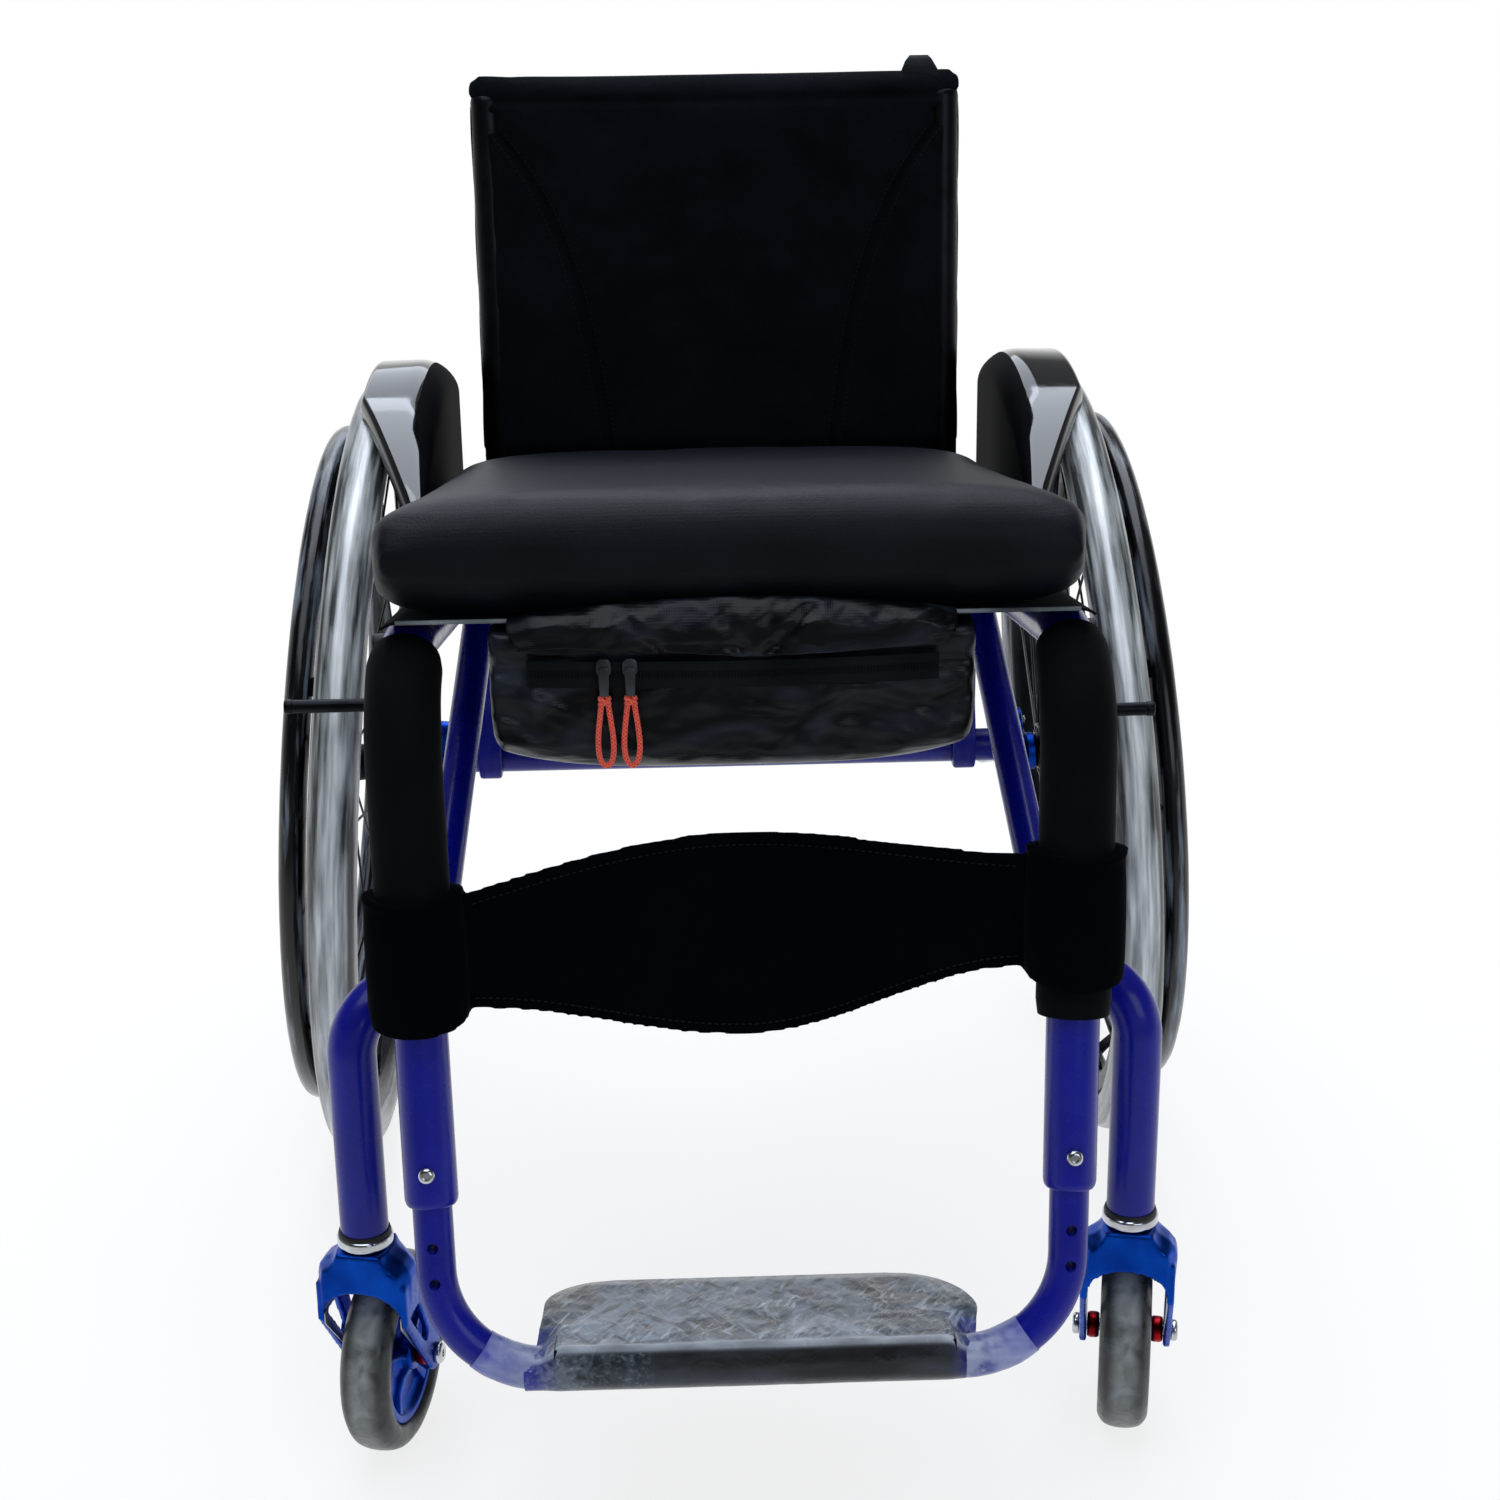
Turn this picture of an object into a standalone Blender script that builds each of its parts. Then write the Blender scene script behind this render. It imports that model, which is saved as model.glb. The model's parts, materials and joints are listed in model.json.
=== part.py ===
"""Active wheelchair with a rigid frame, modelled as separate pieces.

Lengths are in millimetres and become metres where a mesh is made.
+X is the occupant's left, -Y is forward and +Z is up. Every piece is placed from a
point on the floor under the rear axle, and the model's origin is the middle of its footprint.
"""
import math

import bmesh
import bpy
from mathutils import Matrix, Vector

MM = 0.001
GAP = 0.3
CUT = GAP

# Rear wheels
WHEEL_RADIUS = 305.0
TYRE_WIDTH = 36.0
TYRE_HEIGHT = 29.0
RIM_WIDTH = 24.0
RIM_DEPTH = 18.0
WHEEL_TRACK = 554.0
CAMBER = math.radians(4.0)
WHEEL_STEPS = 36
SPOKES = 24
SPOKE_RADIUS = 1.3
HUB_HALF_WIDTH = 30.0
HUB_FLANGE_RADIUS = 22.0
HUB_BARREL_RADIUS = 15.0
HANDRIM_RADIUS = 256.4
HANDRIM_TUBE = 9.5
HANDRIM_OFFSET = 31.5
HANDRIM_TABS = 6

# Axles
AXLE_RADIUS = 6.2
AXLE_HEAD_RADIUS = 11.0
AXLE_HEAD_LENGTH = 9.0
BUTTON_RADIUS = 4.2
BUTTON_PROUD = 4.0
BUTTON_TRAVEL = 3.0
BUTTON_DEPTH = 4.0
RECEIVER_RADIUS = 20.0
RECEIVER_LENGTH = 26.0
RECEIVER_EAR = 37.0
RECEIVER_CHAMFER = 2.0
AXLE_PAST_RECEIVER = 20.0
AXLE_CHAMFER = 1.5
CAMBER_TUBE_RADIUS = 13.0
AXLE_POST_WIDTH = 18.0
AXLE_POST_WALL = 6.0

# Side frames
SEAT_REAR_WIDTH = 377.0
KNEE_WIDTH = 389.0
TUBE_RADIUS = 15.5
SEAT_REAR_HEIGHT = 465.0
SEAT_FRONT_HEIGHT = 537.0
KNEE_FORWARD = 505.0
KNEE_BEND = 75.0
RAIL_BEHIND_AXLE = 45.0
SOCKET_HEIGHT = 229.0
SOCKET_DEPTH = 125.0
LIP = 5.0
LIP_STEP = 1.5
BRACE_RADIUS = 11.0
BRACE_TOP_FORWARD = 205.0
BRACE_TOP_INBOARD = 16.94
BRACE_TOP_DROP = 17.23
BRACE_LOW_FORWARD = 462.0
BRACE_LOW_INBOARD = 46.0
BRACE_LOW_RISE = 2.0
CROSS_TUBE_RADIUS = 11.0
CROSS_TUBE_FORWARD = 230.0

# Footrest
FOOT_TUBE_RADIUS = 11.5
FOOT_BAR_HEIGHT = 133.0
FOOT_BAR_FORWARD = 603.0
FOOT_BAR_WIDTH = 363.0
FOOT_BEND = 62.0
FOOT_INSERT = 110.0
ADJUST_HOLE_RADIUS = 3.0
ADJUST_HOLE_FIRST = 20.5
ADJUST_HOLE_PITCH = 21.0
BOLT_RISE = 21.0
BOLT_RADIUS = 3.0
BOLT_HEAD_RADIUS = 4.8
BOLT_HEAD_HEIGHT = 3.2
PLATE_THICKNESS = 4.0
PLATE_DEPTH = 103.0
PLATE_LIP_DROP = 13.0
PLATE_FRONT_WIDTH = 232.0
PLATE_REAR_WIDTH = 250.0
PLATE_CORNER = 42.0
PLATE_TILT = math.radians(12.5)

# Casters
STEM_SPREAD = 474.0
STEM_FORWARD = 501.0
HOUSING_RADIUS = 14.8
HOUSING_BEND = 33.0
HOUSING_BOTTOM = 169.5
HOUSING_TOP = 319.0
RING_RADIUS = 17.5
RING_HEIGHT = 9.6
CASTER_RADIUS = 63.5
CASTER_WIDTH = 32.0
CASTER_SEAT_RADIUS = 46.0
CASTER_TRAIL = 34.0
CASTER_STEPS = 20
FORK_INSIDE = 49.0
FORK_ARM = 4.6
FORK_HALF_DEPTH = 17.0
FORK_ARCH = 4.0
FORK_SHOULDER_DROP = 19.0
FORK_ARCH_SPRING = 13.0
FORK_BOSS_RADIUS = 11.0
SPINDLE_RADIUS = 6.0
SPINDLE_LENGTH = 70.0
CASTER_AXLE_RADIUS = 4.0
CASTER_HEAD_RADIUS = 7.0
CASTER_SWING = {1: math.radians(-11.0), -1: math.radians(-12.5)}

# Backrest
POST_RADIUS = 12.5
POST_SPREAD = 342.0
POST_LENGTH = 316.0
POST_FOOT = 13.0
HINGE_BEHIND_AXLE = 22.0
HINGE_ABOVE_RAIL = 38.14
RECLINE = math.radians(4.0)
HINGE_PIN_RADIUS = 4.0
BRACKET_THICKNESS = 6.0
BRACKET_RADIUS = 13.0
BRACKET_FOOT = 20.0
STUD_PROUD = 3.0
BACK_BAR_RADIUS = 8.0
BACK_BAR_RISE = 24.0
BACK_WIDTH = 376.0
BACK_BOTTOM = 44.0
BACK_TOP = 331.0
BACK_CREASE = 20.0
BACK_EDGE = 16.0
BACK_PAD = 10.0
BACK_SEAM_LOW = 84.0
BACK_SEAM_MARGIN = 22.0
BACK_SEAM_FALL = 42.0

# Seat
SLING_THICKNESS = 3.0
SLING_FRONT = 492.0
SLING_REAR = -4.0
CUSHION_SHIFT = -4.0
CUSHION_FRONT_WIDTH = 420.0
CUSHION_REAR_WIDTH = 404.0
CUSHION_THICKNESS = 65.0
CUSHION_FRONT = 500.0
CUSHION_REAR = 18.0
CUSHION_ROLL = 34.0
CUSHION_CROWN = 4.0
CUSHION_WAIST = 4.0
CUSHION_SIDE_SHARPNESS = 0.28
CUSHION_EDGE_SHARPNESS = 0.33

# Foam, strap, pouch
FOAM_RADIUS = 22.0
FOAM_BOTTOM = 328.0
STRAP_THICKNESS = 4.5
STRAP_LOOP_HEIGHT = 74.0
STRAP_NECK_HEIGHT = 63.0
STRAP_MID_HEIGHT = 117.0
STRAP_MIDDLE_LEFT = 384.0
STRAP_MIDDLE_RIGHT = 368.0
STRAP_CENTRE_HEIGHT = 362.0
STRAP_SETBACK = 34.0
POUCH_SHIFT = -4.0
POUCH_WIDTH = 282.0
POUCH_FLAP_WIDTH = 252.0
POUCH_BOTTOM = 456.0
POUCH_DEPTH = 96.0
POUCH_FRONT = 500.0
POUCH_FLAP_RISE = 9.0
POUCH_SAG = 14.0
POUCH_END_INSET = 8.0
POUCH_FACE = 34.0
SLIDER_SIZE = (9.0, 5.0, 15.0)
SLIDER_PLACES = {"a": -78.0, "b": -63.0}
SLIDER_BOTTOM = 510.0
PULL_RADIUS = 1.5
PULL_DROP = 42.0
PULL_SPREAD = 5.5
PULL_ENTRY = 2.4

# Side guards
GUARD_GAP = 2.0
GUARD_RAIL_GAP = 1.4
GUARD_THICKNESS = 3.0
GUARD_CLEARANCE = 9.5
GUARD_FRONT_ANGLE = math.radians(-42.0)
GUARD_REAR_ANGLE = math.radians(17.0)
GUARD_REACH = 56.0
GUARD_ROUND = 24.0
GUARD_LIP = 9.0
GUARD_STATIONS = 11

# Brakes
BRAKE_FORWARD = 268.0
BRAKE_BELOW_RAIL = 11.2
BRAKE_GAP_LEFT = 14.86
BRAKE_GAP_RIGHT = 14.69
BRAKE_ANGLE_LEFT = math.radians(22.808)
BRAKE_ANGLE_RIGHT = math.radians(25.339)
BRAKE_BAR_END_LEFT = 281.0
BRAKE_BAR_END_RIGHT = 298.0
BRAKE_BAR_RADIUS = 4.5
BRAKE_PLATE = 4.0
BRAKE_PLATE_HALF = 9.0
BRAKE_ARM = 4.5
BRAKE_ARM_HALF = 6.5
BRAKE_STUD_RADIUS = 3.0
LEVER_PIVOT_FORWARD = 283.0
LEVER_BELOW_RAIL = 0.35
LEVER_LENGTH = 105.0
LEVER_RISE = 6.0
LEVER_GRIP_RADIUS = 7.0
LEVER_GRIP_LENGTH = 12.0

# Worked out from the sizes above
TYRE_SEAT_RADIUS = WHEEL_RADIUS - TYRE_HEIGHT
HUB_HEIGHT = WHEEL_RADIUS * math.cos(CAMBER)
PLATE_LIP_REACH = FOOT_TUBE_RADIUS + 2 * GAP + PLATE_THICKNESS
LIP_LOW = PLATE_LIP_REACH - PLATE_LIP_DROP
FRONT_REACH = FOOT_BAR_FORWARD + PLATE_LIP_REACH * math.cos(PLATE_TILT) - LIP_LOW * math.sin(PLATE_TILT)
AXLE_Y = (FRONT_REACH - WHEEL_RADIUS) / 2
SEAT_RISE = (SEAT_FRONT_HEIGHT - SEAT_REAR_HEIGHT) / KNEE_FORWARD
FRAME_TAPER = (KNEE_WIDTH - SEAT_REAR_WIDTH) / 2 / KNEE_FORWARD
RECEIVER_INNER = -(HUB_HALF_WIDTH + 2 * GAP + RECEIVER_LENGTH)
CAMBER_TUBE_HEIGHT = HUB_HEIGHT - RECEIVER_INNER * math.sin(CAMBER)
CAMBER_TUBE_END = WHEEL_TRACK / 2 + RECEIVER_INNER * math.cos(CAMBER) - 2.0
SLING_BOTTOM_RISE = TUBE_RADIUS + GAP
CUSHION_RISE = SLING_BOTTOM_RISE + SLING_THICKNESS + 2 * GAP
CROWN_TOP = HOUSING_BOTTOM - RING_HEIGHT - 2 * GAP


def seat_z(y):
    """Height of the seat rail's centre line at a place along the chair."""
    return SEAT_REAR_HEIGHT - y * SEAT_RISE


def rail_point(side, y):
    """Point on a seat rail's centre line."""
    return Vector((side * (SEAT_REAR_WIDTH / 2 - y * FRAME_TAPER), y, seat_z(y)))


HINGE_HEIGHT = seat_z(HINGE_BEHIND_AXLE) + HINGE_ABOVE_RAIL
BRAKE_PIVOT_HEIGHT = seat_z(-BRAKE_FORWARD) - BRAKE_BELOW_RAIL
LEVER_PIVOT_HEIGHT = seat_z(-LEVER_PIVOT_FORWARD) - LEVER_BELOW_RAIL
STRAP_MIDDLE = {1: STRAP_MIDDLE_LEFT, -1: STRAP_MIDDLE_RIGHT}
BRAKE_BAR_END = {1: BRAKE_BAR_END_LEFT, -1: BRAKE_BAR_END_RIGHT}
BRACKET_INNER = POST_SPREAD / 2 + POST_RADIUS + 3 * GAP
BRACKET_OUTER = BRACKET_INNER + BRACKET_THICKNESS


def cushion_half(y):
    """Half the cushion's width at a place along it, drawn in between its ends."""
    along = (y + CUSHION_FRONT) / (CUSHION_FRONT - CUSHION_REAR)
    half = (CUSHION_FRONT_WIDTH + (CUSHION_REAR_WIDTH - CUSHION_FRONT_WIDTH) * along) / 2
    return half - CUSHION_WAIST * math.sin(math.pi * along)


def guard_wall():
    """Inner face of a side guard's wall, clear of the cushion, the brackets' studs and the rail."""
    front = (WHEEL_RADIUS + GUARD_CLEARANCE) * math.sin(GUARD_FRONT_ANGLE)
    cushion = max(cushion_half(front), cushion_half(-CUSHION_REAR)) + abs(CUSHION_SHIFT)
    rail = max(rail_point(1, front).x, rail_point(1, 0).x) + TUBE_RADIUS
    return max(cushion + GUARD_GAP, BRACKET_OUTER + STUD_PROUD + GUARD_GAP, rail + GUARD_RAIL_GAP)


def brake_bar_place(side):
    """Centre of a tyre bar, in front of the tread by its gap and up by its angle about the hub."""
    gap, angle = {1: (BRAKE_GAP_LEFT, BRAKE_ANGLE_LEFT), -1: (BRAKE_GAP_RIGHT, BRAKE_ANGLE_RIGHT)}[side]
    reach = WHEEL_RADIUS + gap + BRAKE_BAR_RADIUS
    return -reach * math.cos(angle), HUB_HEIGHT + reach * math.sin(angle)


def clear_scene():
    for item in list(bpy.data.objects):
        bpy.data.objects.remove(item, do_unlink=True)


def material(name, colour, roughness, metallic=0.0):
    made = bpy.data.materials.new(name)
    made.use_nodes = True
    shader = made.node_tree.nodes["Principled BSDF"]
    shader.inputs["Base Color"].default_value = (*colour, 1.0)
    shader.inputs["Roughness"].default_value = roughness
    shader.inputs["Metallic"].default_value = metallic
    return made


def empty(name, place, rotation=(0.0, 0.0, 0.0), parent=None):
    made = bpy.data.objects.new(name, None)
    made.location = Vector(place) * MM
    made.rotation_euler = rotation
    made.parent = parent
    bpy.context.scene.collection.objects.link(made)
    return made


def solid(name, shape, finish, parent, smooth=True):
    """One closed mesh object from (points in mm, faces)."""
    points, faces = shape
    mesh = bpy.data.meshes.new(name)
    mesh.from_pydata([Vector(p) * MM for p in points], [], faces)
    work = bmesh.new()
    work.from_mesh(mesh)
    bmesh.ops.recalc_face_normals(work, faces=work.faces)
    work.to_mesh(mesh)
    work.free()
    if finish:
        mesh.materials.append(finish)
    if smooth:
        mesh.shade_smooth()
        mesh.set_sharp_from_angle(angle=math.radians(35))
    made = bpy.data.objects.new(name, mesh)
    made.parent = parent
    bpy.context.scene.collection.objects.link(made)
    return made


def tool(name, shape, parent):
    """A hidden solid that a Boolean reads."""
    made = solid(name, shape, None, parent, smooth=False)
    made.hide_render = True
    made.display_type = "WIRE"
    return made


def combine(target, other, operation):
    step = target.modifiers.new(other.name, "BOOLEAN")
    step.operation = operation
    step.solver = "EXACT"
    step.object = other


def grid_faces(rings, count, first=0, wrap=False):
    faces = []
    for i in range(rings if wrap else rings - 1):
        a = first + i * count
        b = first + ((i + 1) % rings) * count
        for k in range(count):
            n = (k + 1) % count
            faces.append((a + k, a + n, b + n, b + k))
    return faces


def loft(rings):
    """Closed skin through rings of points, with flat ends."""
    count = len(rings[0])
    points = [p for ring in rings for p in ring]
    faces = grid_faces(len(rings), count)
    faces.append(tuple(range(count)))
    last = (len(rings) - 1) * count
    faces.append(tuple(range(last, last + count)))
    return points, faces


def sweep_rings(path, radii, sides):
    """Rings of points square to a path, turning as little as possible."""
    path = [Vector(p) for p in path]
    tangents = []
    for i in range(len(path)):
        ahead = path[min(i + 1, len(path) - 1)] - path[max(i - 1, 0)]
        tangents.append(ahead.normalized())
    side = tangents[0].cross(Vector((1, 0, 0)))
    if side.length < 0.2:
        side = tangents[0].cross(Vector((0, 1, 0)))
    side.normalize()
    rings = []
    for i, centre in enumerate(path):
        side = (side - tangents[i] * side.dot(tangents[i])).normalized()
        other = tangents[i].cross(side)
        radius = radii[i] if isinstance(radii, list) else radii
        ring = []
        for k in range(sides):
            angle = 2 * math.pi * k / sides
            ring.append(centre + radius * (math.cos(angle) * side + math.sin(angle) * other))
        rings.append(ring)
    return rings


def tube(path, radii, sides=14):
    return loft(sweep_rings(path, radii, sides))


def pipe(path, outer, inner, sides=14):
    """A hollow tube, open at both ends."""
    skins = sweep_rings(path, outer, sides)
    bores = sweep_rings(path, inner, sides)
    rings = skins + bores[::-1]
    points = [p for ring in rings for p in ring]
    return points, grid_faces(len(rings), sides, wrap=True)


def lathe(profile, steps, closed=True):
    """Turn (x, radius) points about X. Closed profiles make a ring, open ones start and end at radius 0."""
    points = []
    index = []
    for x, radius in profile:
        if radius == 0:
            index.append([len(points)] * steps)
            points.append((x, 0.0, 0.0))
            continue
        index.append(list(range(len(points), len(points) + steps)))
        for k in range(steps):
            angle = 2 * math.pi * k / steps
            points.append((x, radius * math.cos(angle), radius * math.sin(angle)))
    faces = []
    for i in range(len(profile) if closed else len(profile) - 1):
        a = index[i]
        b = index[(i + 1) % len(profile)]
        for k in range(steps):
            n = (k + 1) % steps
            corner = []
            for v in (a[k], a[n], b[n], b[k]):
                if v not in corner:
                    corner.append(v)
            faces.append(tuple(corner))
    return points, faces


def rod(start, end, radius, sides=14):
    return tube([start, end], radius, sides)


def prism(outline, low, high, across="X"):
    """Pull a flat outline along X, Y or Z."""
    place = {
        "X": lambda u, v, w: (w, u, v),
        "Y": lambda u, v, w: (u, w, v),
        "Z": lambda u, v, w: (u, v, w),
    }[across]
    return loft([[place(u, v, w) for u, v in outline] for w in (low, high)])


def arc(centre, radius, start, end, steps):
    """Points on an arc, angles in degrees."""
    points = []
    for i in range(steps + 1):
        angle = math.radians(start + (end - start) * i / steps)
        points.append((centre[0] + radius * math.cos(angle), centre[1] + radius * math.sin(angle)))
    return points


def bent_path(corners, bends, steps=6):
    """A centre line through corner points, rounded at each inner corner."""
    corners = [Vector(c) for c in corners]
    path = [corners[0]]
    for i, bend in enumerate(bends, start=1):
        back = (corners[i - 1] - corners[i]).normalized()
        ahead = (corners[i + 1] - corners[i]).normalized()
        half = back.angle(ahead) / 2
        reach = bend / math.tan(half)
        middle = corners[i] + (back + ahead).normalized() * (bend / math.sin(half))
        first = corners[i] + back * reach - middle
        last = corners[i] + ahead * reach - middle
        turn = first.angle(last)
        normal = first.cross(last).normalized()
        for k in range(steps + 1):
            path.append(middle + Matrix.Rotation(turn * k / steps, 3, normal) @ first)
    path.append(corners[-1])
    return path


def knee(side):
    return rail_point(side, -KNEE_FORWARD)


def foot_corner(side):
    return Vector((side * FOOT_BAR_WIDTH / 2, -FOOT_BAR_FORWARD, FOOT_BAR_HEIGHT))


def front_line(side, height):
    """Point on the front tube's centre line at a height."""
    top = knee(side)
    low = foot_corner(side)
    return top.lerp(low, (top.z - height) / (top.z - low.z))


def front_direction(side):
    return (foot_corner(side) - knee(side)).normalized()


def rail_tool(side, parent, name):
    start = rail_point(side, RAIL_BEHIND_AXLE + KNEE_BEND)
    end = rail_point(side, KNEE_BEND - KNEE_FORWARD)
    return tool(name, rod(start, end, TUBE_RADIUS + CUT, 28), parent)


def word(side):
    return "left" if side > 0 else "right"


def side_path(side):
    rear = rail_point(side, RAIL_BEHIND_AXLE)
    return bent_path([rear, knee(side), front_line(side, SOCKET_HEIGHT)], [KNEE_BEND], 6)


def side_tube(side, root, finish):
    """Seat rail, knee bend and front tube, with the footrest socket bored in its foot."""
    path = side_path(side)
    end = path.pop()
    path.append(end - front_direction(side) * LIP)
    path.append(end)
    radii = [TUBE_RADIUS] * (len(path) - 1) + [TUBE_RADIUS - LIP_STEP]
    made = solid(f"side_tube_{word(side)}", tube(path, radii, 14), finish, root)
    bore_top = end - front_direction(side) * SOCKET_DEPTH
    bore_low = end + front_direction(side) * LIP
    bore = tool(f"socket_cut_{word(side)}", rod(bore_top, bore_low, FOOT_TUBE_RADIUS + GAP, 16), root)
    combine(made, bore, "DIFFERENCE")
    combine(made, bolt_cut(side, root, "socket"), "DIFFERENCE")


def caster_frame(side, root, finish):
    """Brace tube welded to the bent housing that the caster's spindle turns in."""
    start = rail_point(side, -BRACE_TOP_FORWARD) - Vector((side * BRACE_TOP_INBOARD, 0, BRACE_TOP_DROP))
    stem = Vector((side * STEM_SPREAD / 2, -STEM_FORWARD, HOUSING_TOP))
    end = Vector((stem.x - side * BRACE_LOW_INBOARD, -BRACE_LOW_FORWARD, HOUSING_TOP + BRACE_LOW_RISE))
    foot = Vector((stem.x, stem.y, HOUSING_BOTTOM))
    made = solid(
        f"caster_frame_{word(side)}",
        tube(bent_path([end.lerp(start, 0.15), end, stem, foot], [HOUSING_BEND, HOUSING_BEND], 4), HOUSING_RADIUS, 12),
        finish, root)
    brace = tool(f"brace_{word(side)}", rod(start, end, BRACE_RADIUS, 10), root)
    combine(made, brace, "UNION")
    combine(made, rail_tool(side, root, f"brace_rail_cut_{word(side)}"), "DIFFERENCE")
    height = end.z - HOUSING_RADIUS / 2 - BRACE_RADIUS / 2
    gusset = tool(
        f"gusset_{word(side)}",
        rod((end.x, end.y, height), front_line(side, height), BRACE_RADIUS / 2, 10), root)
    combine(made, gusset, "UNION")
    top = front_line(side, SEAT_FRONT_HEIGHT - KNEE_BEND)
    front = tool(
        f"weld_cut_{word(side)}",
        rod(top, front_line(side, SOCKET_HEIGHT), TUBE_RADIUS + CUT, 28), root)
    combine(made, front, "DIFFERENCE")
    low = (foot.x, foot.y, HOUSING_BOTTOM - LIP)
    high = (foot.x, foot.y, CROWN_TOP + SPINDLE_LENGTH + LIP)
    bore = tool(f"spindle_cut_{word(side)}", rod(low, high, SPINDLE_RADIUS + GAP, 12), root)
    combine(made, bore, "DIFFERENCE")


def camber_tube(root, finish):
    start = (-CAMBER_TUBE_END, 0, CAMBER_TUBE_HEIGHT)
    end = (CAMBER_TUBE_END, 0, CAMBER_TUBE_HEIGHT)
    made = solid("camber_tube", rod(start, end, CAMBER_TUBE_RADIUS, 18), finish, root)
    for side in (1, -1):
        axis = empty(f"camber_bore_{word(side)}", *wheel_place(side), parent=root)
        start = (side * (RECEIVER_INNER - 30), 0, 0)
        end = (side * 5, 0, 0)
        bore = tool(f"axle_cut_{word(side)}", rod(start, end, AXLE_RADIUS + 4 * GAP, 14), axis)
        combine(made, bore, "DIFFERENCE")


def axle_post(side, root, finish):
    """Upright between the seat rail and the camber tube."""
    foot = CAMBER_TUBE_RADIUS + AXLE_POST_WALL
    bottom = CAMBER_TUBE_HEIGHT - CAMBER_TUBE_RADIUS / 2
    outline = [(-foot, bottom), (foot, bottom), (foot / 2, seat_z(0)), (-foot / 2, seat_z(0))]
    low = rail_point(side, 0).x - AXLE_POST_WIDTH / 2
    made = solid(f"axle_post_{word(side)}", prism(outline, low, low + AXLE_POST_WIDTH), finish, root)
    combine(made, rail_tool(side, root, f"post_rail_cut_{word(side)}"), "DIFFERENCE")
    start = (low - LIP, 0, CAMBER_TUBE_HEIGHT)
    end = (low + AXLE_POST_WIDTH + LIP, 0, CAMBER_TUBE_HEIGHT)
    bore = tool(f"camber_cut_{word(side)}", rod(start, end, CAMBER_TUBE_RADIUS + CUT, 28), root)
    combine(made, bore, "DIFFERENCE")


def seat_cross_tube(root, finish):
    start = rail_point(-1, -CROSS_TUBE_FORWARD)
    end = rail_point(1, -CROSS_TUBE_FORWARD)
    made = solid("seat_cross_tube", rod(start, end, CROSS_TUBE_RADIUS, 14), finish, root)
    for side in (1, -1):
        combine(made, rail_tool(side, root, f"cross_rail_cut_{word(side)}"), "DIFFERENCE")


def footrest_tube(root, finish):
    """U tube whose legs slide into the front tubes and carry spare height holes."""
    tops = {}
    for side in (1, -1):
        tops[side] = front_line(side, SOCKET_HEIGHT) - front_direction(side) * FOOT_INSERT
    corners = [tops[-1], foot_corner(-1), foot_corner(1), tops[1]]
    path = bent_path(corners, [FOOT_BEND, FOOT_BEND], 5)
    made = solid("footrest_tube", tube(path, FOOT_TUBE_RADIUS, 14), finish, root)
    for side in (1, -1):
        for number in range(2):
            drop = ADJUST_HOLE_FIRST + number * ADJUST_HOLE_PITCH
            place = front_line(side, SOCKET_HEIGHT) + front_direction(side) * drop
            reach = Vector((0, 2 * FOOT_TUBE_RADIUS, 0))
            hole = tool(
                f"height_hole_{word(side)}_{number}",
                rod(place - reach, place + reach, ADJUST_HOLE_RADIUS, 8), root)
            combine(made, hole, "DIFFERENCE")
        combine(made, bolt_cut(side, root, "leg"), "DIFFERENCE")


def bolt_frame(side):
    """Where a footrest bolt crosses the front tube, and the way its head faces."""
    down = front_direction(side)
    place = front_line(side, SOCKET_HEIGHT) - down * BOLT_RISE
    ahead = Vector((0, -1, 0))
    return place, (ahead - down * ahead.dot(down)).normalized()


def bolt_cut(side, parent, name):
    place, ahead = bolt_frame(side)
    reach = ahead * 2 * TUBE_RADIUS
    shape = rod(place - reach, place + reach, BOLT_RADIUS + GAP, 12)
    return tool(f"{name}_bolt_cut_{word(side)}", shape, parent)


def footrest_bolt(side, root, finish):
    """Button-head bolt through the front tube and the footrest leg inside it."""
    place, ahead = bolt_frame(side)
    axis = empty(
        f"bolt_place_{word(side)}", place, ahead.to_track_quat("X", "Z").to_euler(), parent=root)
    seat = TUBE_RADIUS + GAP
    top = seat + BOLT_HEAD_HEIGHT
    profile = [
        (-seat, 0), (-seat, BOLT_RADIUS), (seat, BOLT_RADIUS), (seat, BOLT_HEAD_RADIUS),
        (seat + 1, BOLT_HEAD_RADIUS), (top - 0.6, BOLT_RADIUS + 0.6), (top, 2.0), (top - 1.6, 1.8), (top - 1.6, 0)]
    solid(f"footrest_bolt_{word(side)}", lathe(profile, 12, closed=False), finish, axis)


def footplate(root, finish):
    """Plate lying on the footrest bar, with a lip over the bar's front and a fall to the heels."""
    front = PLATE_FRONT_WIDTH / 2
    rear = PLATE_REAR_WIDTH / 2
    outline = [(front, -PLATE_LIP_REACH), (front, PLATE_LIP_REACH)]
    outline += arc((rear - PLATE_CORNER, PLATE_DEPTH - PLATE_CORNER), PLATE_CORNER, 0, 90, 6)
    outline += [(-x, y) for x, y in reversed(outline)]
    frame = empty(
        "footplate_place",
        (0, -FOOT_BAR_FORWARD, FOOT_BAR_HEIGHT),
        (-PLATE_TILT, 0, 0), parent=root)
    low = FOOT_TUBE_RADIUS + 2 * GAP
    high = low + PLATE_THICKNESS
    made = solid("footplate", prism(outline, low, high, "Z"), finish, frame, smooth=False)
    lip = [(-PLATE_LIP_REACH, LIP_LOW), (-low, LIP_LOW), (-low, low + 1), (-PLATE_LIP_REACH, low + 1)]
    combine(made, tool("plate_lip", prism(lip, -front, front), frame), "UNION")


def wheel_place(side):
    """Hub centre, and the turn that leans the wheel's top inward."""
    return (side * WHEEL_TRACK / 2, 0, HUB_HEIGHT), (0, -side * CAMBER, 0)


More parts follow.
